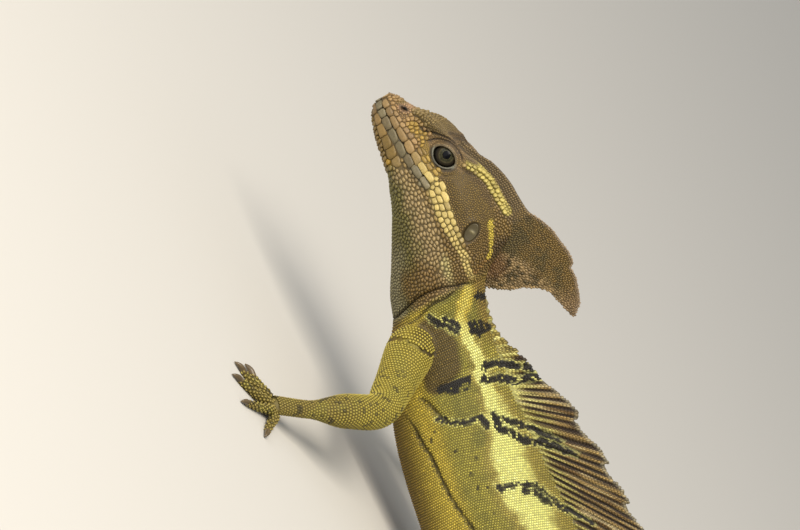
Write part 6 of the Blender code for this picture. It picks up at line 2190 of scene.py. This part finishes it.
class Fin:
    """A thin upright fin between a line of roots and a line of tips, with raised rays or pleats."""

    def __init__(self, roots: Array, tips: Array, sides: Array, half_thick: Array, ridge: Array, run: Array,
                 sunk: float) -> None:
        """Works out both faces.

        Args:
            roots: Where each column starts, inside the body.
            tips: Where each column ends, on the margin.
            sides: Direction to the animal's left at each column.
            half_thick: Half the thickness at each column and row.
            ridge: How far each column stands out, from 0 in a groove to 1 on a ridge.
            run: Length along the fin at each column.
            sunk: How deep the roots lie under the back.
        """
        rows = half_thick.shape[1]
        share = np.linspace(0, 1, rows)[None, :, None]
        middle = roots[:, None] * (1 - share) + tips[:, None] * share
        self.length = np.linalg.norm(tips - roots, axis=1)
        self.run = run
        self.sunk = sunk
        self.ridge = ridge
        out = sides[:, None] * half_thick[:, :, None]
        self.faces = {1: middle + out + SHIFT, -1: middle - out + SHIFT}
        self.colour = sail_colour

    def membrane(self, name: str, finish: bpy.types.Material) -> bpy.types.Object:
        """The fin as one closed piece, coloured like its scales."""
        columns, rows, _ = self.faces[1].shape
        rings = np.concatenate([self.faces[1], self.faces[-1][:, ::-1]], axis=1)
        tints = []
        for side in (1, -1):
            share = np.linspace(0, 1, rows)[None, :] * self.length[:, None]
            tint = self.colour(self.faces[side].reshape(-1, 3) - SHIFT, np.repeat(self.run, rows),
                               share.reshape(-1) - self.sunk, (self.length[:, None] - share).reshape(-1),
                               np.repeat(self.ridge, rows)).reshape(columns, rows, 3)
            tints.append(tint[:, ::side])
        tints = np.concatenate(tints, axis=1)
        return closed_tube(name, rings, rings[0].mean(axis=0), rings[-1].mean(axis=0), finish,
                           tint=np.vstack([tints.reshape(-1, 3), tints[0].mean(axis=0),
                                           tints[-1].mean(axis=0)]))

    def at(self, side: int, column: Array, row: Array) -> Array:
        """Points on one face at fractional columns and rows."""
        face = self.faces[side]
        c = np.clip(column, 0, face.shape[0] - 1.001)
        r = np.clip(row, 0, face.shape[1] - 1.001)
        i, j = c.astype(int), r.astype(int)
        u, v = (c - i)[:, None], (r - j)[:, None]
        return (face[i, j] * (1 - u) * (1 - v) + face[i + 1, j] * u * (1 - v) + face[i, j + 1] * (1 - u) * v
                + face[i + 1, j + 1] * u * v)

    def frame(self, side: int, column: Array, row: Array) -> tuple[Array, Array, Array]:
        """Points on one face with their outward normals and the direction to the margin."""
        centre = self.at(side, column, row)
        up = self.at(side, column, row + .6) - self.at(side, column, row - .6)
        along = self.at(side, column + .5, row) - self.at(side, column - .5, row)
        normal = unit(np.cross(along, up))
        facing = self.at(side, column, row) - self.at(-side, column, row)
        normal *= np.where((normal * facing).sum(axis=1) < 0, -1, 1)[:, None]
        return centre, normal, unit(up)

    def seeds(self, width: float, step: float, height: float, zone: Zone) -> Seeds:
        """Rows of scales along the rays of both faces, as far as the margin.

        Args:
            width: Distance between rows of scales.
            step: Distance between scales along a row.
            height: How far the scales stand out.
            zone: The piece that they belong to.

        Returns:
            The seeds of both faces.
        """
        count, rows, _ = self.faces[1].shape
        many = round(self.run[-1] / width)
        random = np.random.default_rng(11)
        lots = []
        for side in (1, -1):
            starts = (np.arange(many) + .5 + random.uniform(-.18, .18, many)) * self.run[-1] / many
            columns = np.interp(starts, self.run, np.arange(count))
            full = np.interp(columns, np.arange(count), self.length)
            index = np.repeat(np.arange(many), np.maximum(0, ((full - .2 * step) / step).astype(int)))
            order = np.arange(len(index)) - np.searchsorted(index, index)
            at = full[index] - step * (order + .55 + random.uniform(0, .5, many)[index])
            at += random.uniform(-.12, .12, len(at)) * step
            row = at / full[index] * (rows - 1)
            place, normal, up = self.frame(side, columns[index], row)
            own = straight(place)
            clear = own[:, 2] - BODY.back_height(SNOUT_X - own[:, 0]) > BODY.saddle(
                SNOUT_X - own[:, 0], np.abs(own[:, 1]))[0] - .0002
            keep = (at > self.sunk * .4) & (clear | (at > .012))
            index, at, place, normal, up = index[keep], at[keep], place[keep], normal[keep], up[keep]
            ridge = np.interp(columns[index], np.arange(count), self.ridge)
            tint = self.colour(place - SHIFT, starts[index], at - self.sunk, full[index] - at, ridge)
            bright = (random.uniform(.86, 1.12, len(at))
                      * np.where(random.uniform(0, 1, len(at)) < .15, 1.3, 1))
            near = (self.at(side, columns[index] + .5, row[keep])
                    - self.at(side, columns[index] - .5, row[keep]))
            cell = np.linalg.norm(near, axis=1) * count / many
            wide = cell / 2 * random.uniform(.9, 1.2, len(at))
            spot = np.column_stack([starts[index], side * at])
            size = len(at)
            lots.append(Seeds(place, normal, np.cross(normal, up), wide, np.full(size, step * .60),
                              np.full(size, height), tint * bright[:, None], np.full(size, (side + 1) // 2),
                              spot, np.full(size, zone.value), np.full(size, .60), np.zeros(size),
                              np.full(size, .9)))
        return Seeds.join(lots)


def sail_colour(p: Array, run: Array, above: Array, left: Array, ridge: Array) -> Array:
    """Colours of the sails, with painted shade in the grooves and painted highlights along the rays and on the
    ridge crests near the base.

    Args:
        p: Points in the part's own frame.
        run: Length along the fin at each point.
        above: Height above the back, along the ray.
        left: Distance that is left to the margin.
        ridge: 0 in a groove, 1 on a ridge.

    Returns:
        Linear RGB at each point.
    """
    zero = run * 0
    streak = grain(np.column_stack([run / .00055, above / .0050, zero]), 1.0, 24)
    broad = grain(np.column_stack([run / .0026, above / .0110, zero]), 1.0, 25)
    soft = grain(p, .006, 3) * .5 + grain(p, .0022, 4) * .5
    ridge_tone = mix(Tone.SAIL_OLIVE.rgb()[None, :].repeat(len(p), 0), Tone.SAIL_TAN.rgb(),
                     ramp(above + broad * .003, .006, .013))
    # Painted highlight: pale streaks along the rays.
    ridge_tone = mix(ridge_tone, Tone.SAIL_PALE.rgb(), .8 * ramp(streak + broad * .5, .10, .70))
    colour = mix(ridge_tone, Tone.SAIL_BROWN.rgb(), ramp(broad * .6 - streak * .7, .05, .65))
    # Painted highlight: the back's yellow laid on the ridge crests near the sail's base.
    ridge_highlight = (1 - ramp(above + broad * .004, .007, .013)) * ramp(ridge + streak * .25, .70, .95)
    colour = mix(colour, Tone.BACK_YELLOW.rgb(), .45 * ridge_highlight)
    # Painted shade: the grooves between the ridges darkened to deep brown, more so higher above the back.
    depth = ramp(above + soft * .002, .0005, .0080)
    colour = mix(colour, Tone.SAIL_GROOVE.rgb(), .97 * depth * (1 - ramp(ridge + streak * .25 + broad * .15,
                                                                         .42, .97)))
    front = ramp(p[:, 0], -.118, -.104) * (1 - .9 * ramp(p[:, 0] + soft * .004, -.022, -.010))
    colour = mix(colour, Tone.BACK_YELLOW.rgb(), .8 * front * (1 - ramp(above + soft * .0025, .0, .0065)))
    tips = 1 - ramp(left + soft * .0005, .0004, .0016)
    colour = mix(colour, Tone.SAIL_EDGE.rgb(), .65 * tips * ramp(above, .006, .014))
    return MARKINGS.inked(p, colour)


def lobe_stations() -> Array:
    """Root stations of the back's sail, each with how deep its margin is cut there, zero on a lobe."""
    stations = [(SAIL_RAYS[0][0], SAIL_NOTCH * (SAIL_RAYS[0][0] - SAIL_LOBES[0]))]
    for lobe, following in zip(SAIL_LOBES, SAIL_LOBES[1:]):
        stations.append((lobe, 0))
        gap = lobe - following
        tooth = SAIL_TOOTH if gap > SAIL_WIDE_LOBE else ((.5, 1),)
        stations += [(lobe - gap * share, SAIL_NOTCH * gap * depth) for share, depth in tooth]
    stations.append((SAIL_LOBES[-1], 0))
    stations.append((SAIL_RAYS[-1][0], SAIL_NOTCH * (SAIL_LOBES[-1] - SAIL_RAYS[-1][0])))
    return np.array(stations)


@dataclass(frozen=True)
class Sail:
    """A sail on bony rays, pleated between them, with a notched margin."""

    rows: int = 34
    per_pleat: int = 8
    back_pleat: float = .0027
    tail_pleat: float = .0034
    bite: float = 1.5
    tooth: float = .0008
    flare: float = .0008
    flare_height: float = .0060

    def fin(self, notch: Array, run: Array, pitch: float, lengths: Array, roots: Array, ways: Array,
            sides: Array, sunk: float) -> Fin:
        """The fin with its rays' and pleats' thickness.

        Args:
            notch: How deep the margin is cut at each column.
            run: Length along the fin at each column.
            pitch: Distance between pleats.
            lengths: Length of the ray at each column.
            roots: The back's midline at each column.
            ways: Direction of the ray at each column.
            sides: Direction to the animal's left at each column.
            sunk: How deep the root lies under the back.

        Returns:
            The fin.
        """
        line = np.column_stack([run, run * 0, run * 0])
        pleats = run / pitch + .30 * grain(line, pitch * 1.7, 41)
        strength = .70 + .30 * grain(line, pitch * 1.1, 43)
        ridge = 1 - strength * np.abs(np.cos(math.pi * pleats)) ** 2.4
        saw = (pleats + .5) % 1
        tooth = (self.tooth * (np.where(saw < .75, saw / .75, (1 - saw) / .25) - 1)
                 * np.minimum(1, lengths / .008))
        ragged = .00018 * grain(line, .0009, 42) + tooth
        tips = roots + ways * (
            lengths - np.minimum(notch * self.bite, lengths * .45) + ragged - .0002)[:, None]
        share = np.linspace(0, 1, self.rows)
        above = share[None, :] * (lengths + sunk)[:, None] - sunk
        grown = ramp(above, .0010, .0095)
        level = .72 + (ridge[:, None] - .72) * grown
        full = WEB_THICK + (RAY_THICK - WEB_THICK) * level
        thick = full * (1 - EDGE_THINNING * share) + ROOT_EXTRA * (1 - share) ** 3
        low = np.minimum(1, lengths / .012)[:, None]
        thick += 2 * self.flare * low * (1 - ramp(above, -.0005, self.flare_height)) ** 1.5
        edge = np.minimum(run, run[-1] - run) / .003
        inner = np.maximum(thick / 2 * np.clip(edge, .25, 1)[:, None] - COAT_DEPTH * .8, .0001)
        inner[:, -2:] *= (.7, .35)
        return Fin(roots - np.array([0, 0, sunk]), tips, sides, inner, ridge, run, sunk)

    def back(self) -> Fin:
        """The sail of the back."""
        table, lobes = np.array(SAIL_RAYS), lobe_stations()
        fine = np.linspace(table[0, 0], table[-1, 0], 1500)
        roots, ways, length = self.rays(table, fine)
        inside = roots + ways * (length * .6)[:, None]
        run = np.concatenate([[0], np.cumsum(np.linalg.norm(np.diff(inside, axis=0), axis=1))])
        even = np.linspace(0, run[-1], round(run[-1] / self.back_pleat) * self.per_pleat + 1)
        x = np.interp(even, run, fine)
        roots, ways, length = self.rays(table, x)
        notch = smooth_table(lobes[:, 0], lobes[:, 1:], x)[:, 0]
        return self.fin(notch, even, self.back_pleat, length, roots, ways,
                        np.tile([0.0, 1, 0], (len(x), 1)), SAIL_SUNK)

    @staticmethod
    def rays(table: Array, x: Array) -> tuple[Array, Array, Array]:
        """Roots on the midline of the back, directions and lengths of the back's rays at given stations."""
        length, rise = smooth_table(table[:, 0], table[:, 1:], x).T
        turn = np.radians(rise)
        roots = np.column_stack([x, np.zeros(len(x)), BODY.back_height(SNOUT_X - x)])
        return roots, np.column_stack([-np.cos(turn), np.zeros(len(x)), np.sin(turn)]), length

    def tail(self) -> Fin:
        """The sail of the tail, which follows its curve."""
        table = np.array(TAIL_SAIL_RAYS)
        count = round((table[-1, 0] - table[0, 0]) / self.tail_pleat) * self.per_pleat
        behind = np.linspace(table[0, 0], table[-1, 0], count + 1)
        length, rise = smooth_table(table[:, 0], table[:, 1:], behind).T
        turn = np.radians(rise)
        start = BODY.tail_start
        roots = np.column_stack([BODY.middle(start + behind), BODY.back_height(start + behind)])
        ends = np.column_stack([BODY.middle(start + behind + length * np.cos(turn)),
                                BODY.back_height(start + behind) + length * np.sin(turn)])
        heading = np.interp(behind, BODY.behind, BODY.heading)
        sides = np.column_stack([-np.sin(heading), np.cos(heading), np.zeros(len(behind))])
        rays = round((table[-1, 0] - table[0, 0]) / TAIL_SAIL_PITCH)
        at = (np.linspace(0, rays, len(behind)) + .22) % 1
        lobe = np.where(at < .72, (at / .72) ** 1.3, ((1 - at) / .28) ** .8)
        run = np.concatenate([[0], np.cumsum(np.linalg.norm(np.diff(roots, axis=0), axis=1))])
        return self.fin(.0018 * (1 - lobe), run, self.tail_pleat, length, roots, unit(ends - roots), sides,
                        TAIL_SAIL_SUNK)


class HeadCrest:
    """The crest of the head, a blade that rises from the casque and ends in a lobe over the nape."""

    COLUMNS, ROWS = 150, 26
    FAN_CENTRE, TIP_WAY, TRIES = (.0175, .0600), (-.86, .51), 22000

    def fin(self) -> Fin:
        """The crest's blade."""
        share = np.linspace(0, 1, self.COLUMNS)
        top = smooth_path(np.column_stack([CREST_TOP, np.zeros(len(CREST_TOP))]), share)
        root = smooth_path(np.column_stack([CREST_ROOT, np.zeros(len(CREST_ROOT))]), share)
        roots = np.column_stack([root[:, 0], np.zeros(self.COLUMNS), root[:, 1]])
        tips = np.column_stack([top[:, 0], np.zeros(self.COLUMNS), top[:, 1]])
        free = smooth_table(np.array((-.0125, .0052, .0100, .0445)), np.array((.35, .45, 1, 1)),
                            roots[:, 0])[:, 0]
        full = np.minimum(1, np.linalg.norm(tips - roots, axis=1) / CREST_FULL_DEPTH)
        row = np.linspace(0, 1, self.ROWS)[None, :]
        extra = (CREST_ROOT_THICK - CREST_EDGE_THICK) * full[:, None] * (1 - row) ** 2
        half = (CREST_EDGE_THICK + extra) * free[:, None] / 2 - COAT_DEPTH * .6
        half = np.maximum(half, .00012)
        half[:, -1] *= .5
        run = np.concatenate([[0], np.cumsum(np.linalg.norm(np.diff(tips, axis=0), axis=1))])
        fin = Fin(roots, tips, np.tile([0.0, 1, 0], (self.COLUMNS, 1)), half, np.ones(self.COLUMNS), run, 0)
        fin.colour = self.colour
        return fin

    def seeds(self, fin: Fin, blade: bpy.types.Object) -> Seeds:
        """Rows of small beads on the casque, and longer scales on the lobe that point to its tip."""
        front = fin.seeds(.00066, .00072, .00022, Zone.CREST)
        front = front.pick(front.place[:, 0] - SHIFT[0] > .0180)
        random = np.random.default_rng(5)
        tree = tree_of(blade)
        lots = [front]
        for side in (1, -1):
            places, normals = [], []
            for x, z in random.uniform((-.0135, .0540), (.0180, .0805), (self.TRIES, 2)):
                place, normal, _, _ = tree.ray_cast(np.array([x, side * .02, z]) + SHIFT, (0, -side, 0))
                if place is not None and abs(normal[1]) > .3:
                    places.append(place)
                    normals.append(normal)
            places, normals = np.array(places), np.array(normals)
            own = places - SHIFT
            edge, _ = near_line(own[:, [0, 2]], CREST_TOP)
            out = own[:, [0, 2]] - np.array(self.FAN_CENTRE)
            far = ramp(np.linalg.norm(out, axis=1), .004, .018)[:, None]
            way = unit(unit(out) * (1 - far * .7) + np.array(self.TIP_WAY) * far * .7)
            lie = np.column_stack([way[:, 0], np.zeros(len(way)), way[:, 1]])
            low = self.low_share(own[:, 0], own[:, 2])
            size = (.00046 + .00014 * low) * np.where(edge < .0011, .75, 1)
            kept = spaced(np.zeros((0, 3)), np.zeros(0), places, size, lie, np.full(len(size), 1.6))
            own, lie, normals, size, edge, low = (
                own[kept], lie[kept], normals[kept], size[kept], edge[kept], low[kept])
            lie = unit(lie - normals * (lie * normals).sum(axis=1)[:, None])
            many = len(kept)
            tint = (self.colour(own, own[:, 0], own[:, 2], edge, edge)
                    * random.uniform(.78, 1.22, many)[:, None])
            lots.append(Seeds(own + SHIFT, normals, lie, size * .84, size * .53, size * (.26 + .16 * low),
                              tint, np.full(many, (side + 3) // 2),
                              np.column_stack([own[:, 0] * side, own[:, 2]]),
                              np.full(many, Zone.CREST.value), .45 + .45 * low, np.zeros(many),
                              np.zeros(many)))
        return Seeds.join(lots)

    @staticmethod
    def low_share(x: Array, z: Array) -> Array:
        """1 in the pale lower part of the lobe, 0 above it."""
        line = np.interp(x, [-.0125, -.004, .002, .007, .0115, .0135],
                         [.0748, .0722, .0705, .0688, .0655, .0610])
        return 1 - ramp(z - line, -.0022, .0012)

    @staticmethod
    def colour(p: Array, run: Array, above: Array, left: Array, ridge: Array) -> Array:
        """Colours of the crest: casque grey in front, olive brown on the lobe, pale below and at the tip."""
        soft = grain(p, .004, 31) * .5 + grain(p, .0014, 32) * .5
        fine = grain(p, .0008, 33)
        x, z = p[:, 0], p[:, 2]
        colour = mix(Tone.LOBE_GOLD.rgb()[None, :].repeat(len(p), 0), Tone.LOBE_OLIVE.rgb(),
                     ramp(soft + fine * .3 - (z - .0725) / .012, -.3, .5))
        low = HeadCrest.low_share(x, z)
        colour = mix(colour, Tone.LOBE_PALE.rgb(), .85 * low * ramp(fine + soft * .4, -.55, .35))
        root = 1 - ramp(np.hypot(x - .0105, z - .0600), .0020, .0055)
        colour = mix(colour, Tone.LOBE_RUST.rgb(), .7 * root)
        tip = 1 - ramp(x, -.0115, -.003)
        colour = mix(colour, Tone.LOBE_TIP.rgb(), .75 * tip)
        colour = mix(colour, Tone.LOBE_EDGE.rgb(), .8 * (1 - ramp(left, .0003, .0008)) * (1 - low))
        return mix(colour, Tone.CASQUE_GREY.rgb(), ramp(x + soft * .002, .016, .022))


PIECE_NAMES = {Zone.FACE: ("scales_head", "head"), Zone.THROAT: ("scales_throat", "head"),
               Zone.NECK: ("scales_neck", "neck"), Zone.TRUNK_FRONT: ("scales_trunk_front", "torso"),
               Zone.TRUNK_REAR: ("scales_trunk_rear", "torso"), Zone.TAIL: ("scales_tail", "tail_base"),
               Zone.ARMS: ("scales_arms", "upper_arm_left"), Zone.LEGS: ("scales_legs", "thigh_left"),
               Zone.SAIL: ("scales_sail", "back_sail"), Zone.TAIL_SAIL: ("scales_tail_sail", "tail_sail"),
               Zone.CREST: ("scales_crest", "head_crest")}


def settle(seeds: Seeds, skin: bpy.types.Object) -> Seeds:
    """Sets seeds of trunk and limbs on the fused skin and drops those inside it or too close to another."""
    tree = tree_of(skin)
    keep = np.ones(len(seeds), bool)
    for index in np.flatnonzero((seeds.zone >= Zone.NECK.value) & (seeds.zone <= Zone.LEGS.value)):
        place, normal, _, gap = tree.find_nearest(seeds.place[index])
        if gap > .0009 or normal.dot(seeds.normal[index]) < .3:
            keep[index] = False
            continue
        seeds.place[index] = place
        blend = seeds.normal[index] + np.array(normal) * 2
        seeds.normal[index] = blend / np.linalg.norm(blend)
    seeds.lie[:] = unit(seeds.lie - seeds.normal * (seeds.lie * seeds.normal).sum(axis=1)[:, None])
    own = seeds.place - SHIFT
    for fold in LATE_FOLDS[:3]:
        gap, _ = near_line(own[:, [0, 2]], fold.line)
        keep &= (gap > .00034) | (np.abs(own[:, 1]) > .0195) | (seeds.zone < Zone.NECK.value)
    seeds = seeds.pick(keep)
    near = KDTree(len(seeds))
    for index, place in enumerate(seeds.place):
        near.insert(place, index)
    near.balance()
    gone = np.zeros(len(seeds), bool)
    for index in range(len(seeds)):
        if gone[index] or seeds.zone[index] < Zone.NECK.value or seeds.zone[index] > Zone.LEGS.value:
            continue
        room = 1.1 * min(seeds.half_length[index], seeds.half_width[index])
        for _, other, _ in near.find_range(seeds.place[index], room):
            if other > index and not gone[other]:
                gone[other] = True
    return seeds.pick(~gone)


def build_coat(skin: bpy.types.Object, fin_seeds: list[Seeds], finish: bpy.types.Material) -> None:
    """All scales, in one piece for each region."""
    random = np.random.default_rng(7)
    seeds = Seeds.join([HeadScales().build(random), BodyScales().build(), LimbScales().build()])
    LOG.info("seeds: %d", len(seeds))
    seeds = Seeds.join([settle(seeds, skin), *fin_seeds])
    LOG.info("seeds after settling: %d", len(seeds))
    coat = Coat(seeds, finish)
    for zone, (name, node) in PIECE_NAMES.items():
        piece = coat.piece(name, np.flatnonzero(seeds.zone == zone.value))
        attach(piece, "root")
        LOG.info("%s: %d triangles", name, triangles(piece))


def build_fins(finish: bpy.types.Material) -> list[Seeds]:
    """The sails and the head's crest as membranes, and the seeds of their scales."""
    sail, crest = Sail(), HeadCrest()
    lots = []
    for name, fin, width, step, zone in (("back_sail", sail.back(), .00052, .00098, Zone.SAIL),
                                         ("tail_sail", sail.tail(), .00095, .00160, Zone.TAIL_SAIL)):
        lots.append(fin.seeds(width, step, width * .26, zone))
        put_fin(fin, name, finish)
    fin = crest.fin()
    lots.append(crest.seeds(fin, put_fin(fin, "head_crest", finish)))
    return lots


def put_fin(fin: Fin, name: str, finish: bpy.types.Material) -> bpy.types.Object:
    """Builds a fin's membrane in place of its node."""
    piece = fin.membrane(name + "_skin", finish)
    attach(piece, "root")
    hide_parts(name)
    LOG.info("%s: %d triangles", piece.name, triangles(piece))
    return piece


def main() -> None:
    """Builds the animal piece by piece, then the floor, the lights and the camera."""
    logging.basicConfig(level=logging.INFO, format="%(message)s")
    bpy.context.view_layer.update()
    hide = Hide("soft_skin").make()
    skin = Skin(hide).build()
    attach(skin, "root")
    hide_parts(*FLESH)
    build_coat(skin, build_fins(hide), Keratin("horny_scale").make())
    wet, drum_skin, horn = Cornea().make(), Membrane().make(), Horn().make()
    for side, name in ((1, "left"), (-1, "right")):
        for piece, node, slot in ((Eye(side, wet).build("eyeball_" + name), "eye_" + name, "eye"),
                                  (Eardrum(side, drum_skin).build("eardrum_" + name), "ear_" + name,
                                   "eardrum")):
            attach(piece, "root")
            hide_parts(node)
    for kind in ("arm", "leg"):
        piece = Claws(horn).build(f"claws_{kind}s", kind)
        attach(piece, "root")
    Studio().build()


@dataclass(frozen=True)
class Studio:
    """A pale floor, soft light from large lamps, and the camera of the photograph.

    The camera is turned round its own axis, because the photographed animal rests on a steep bank.
    """

    roll: float = math.radians(62)
    rise: float = math.radians(12)
    away: float = 1.6
    centre: tuple[float, float, float] = (.0226, 0, .0365)
    wide: float = .8 / 3.6
    sensor: float = 36.0
    floor_size: float = 12.0
    lamps: tuple = ((.50, .55, .75, .9, 26.0, "#FFF6E8"), (-.80, .20, .90, 1.6, 9.0, "#F2F4FF"),
                    (-.35, .80, .60, 1.0, 5.0, "#FFFFFF"))

    def ways(self) -> tuple[Array, Array, Array]:
        """Directions to the picture's right, up, and back towards the camera."""
        back = np.array([0, math.cos(self.rise), math.sin(self.rise)])
        right = np.array([-1.0, 0, 0])
        up = np.array([0, -math.sin(self.rise), math.cos(self.rise)])
        cos, sin = math.cos(self.roll), math.sin(self.roll)
        return cos * right + sin * up, -sin * right + cos * up, back

    def target(self) -> Array:
        """The point at the picture's centre."""
        return np.array(self.centre) + SHIFT

    def build(self) -> None:
        """Floor, lamps, world and camera."""
        self.floor()
        self.lights()
        self.camera()
        bpy.context.scene.view_settings.view_transform = "Standard"

    def floor(self) -> None:
        """A plain pale floor, wide enough to fill the picture."""
        made = bpy.data.materials.new("pale_floor")
        made.use_nodes = True
        shader = made.node_tree.nodes["Principled BSDF"]
        shader.inputs["Base Color"].default_value = (*linear("#C9C6BF"), 1)
        shader.inputs["Roughness"].default_value = .8
        half = self.floor_size / 2
        points = np.array([(-half, -half, 0), (half, -half, 0), (half, half, 0), (-half, half, 0)])
        floor = mesh_piece("floor", points, np.arange(4), np.array([4]), made)

    def lights(self) -> None:
        """Large soft lamps round the camera and behind the animal, and a pale sky."""
        right, up, back = self.ways()
        for number, (aside, above, ahead, size, power, colour) in enumerate(self.lamps):
            way = unit(right * aside + up * above + back * ahead)
            place = self.target() + way * 1.5
            place[2] = max(place[2], .25)
            data = bpy.data.lights.new(f"lamp_{number}", "AREA")
            data.shape = "SQUARE"
            data.size = size
            data.energy = power
            data.color = linear(colour)
            lamp = bpy.data.objects.new(data.name, data)
            lamp.location = place
            lamp.rotation_euler = Vector(place - self.target()).to_track_quat("Z", "Y").to_euler()
            bpy.context.scene.collection.objects.link(lamp)
        world = bpy.data.worlds.new("pale_sky")
        world.use_nodes = True
        sky = world.node_tree.nodes["Background"]
        sky.inputs["Color"].default_value = (*linear("#F2F4F6"), 1)
        sky.inputs["Strength"].default_value = .55
        bpy.context.scene.world = world

    def camera(self) -> None:
        """The camera, at the photograph's scale of 3.6 pixels to a millimetre."""
        right, up, back = self.ways()
        data = bpy.data.cameras.new("photo_camera")
        data.sensor_width = self.sensor
        data.lens = self.sensor * self.away / self.wide
        data.clip_start = .01
        data.clip_end = 30
        camera = bpy.data.objects.new("photo_camera", data)
        turned = Matrix((right, up, back)).transposed().to_4x4()
        turned.translation = Vector(self.target() + back * self.away)
        camera.matrix_world = turned
        bpy.context.scene.collection.objects.link(camera)
        bpy.context.scene.camera = camera


if __name__ == "__main__":
    main()
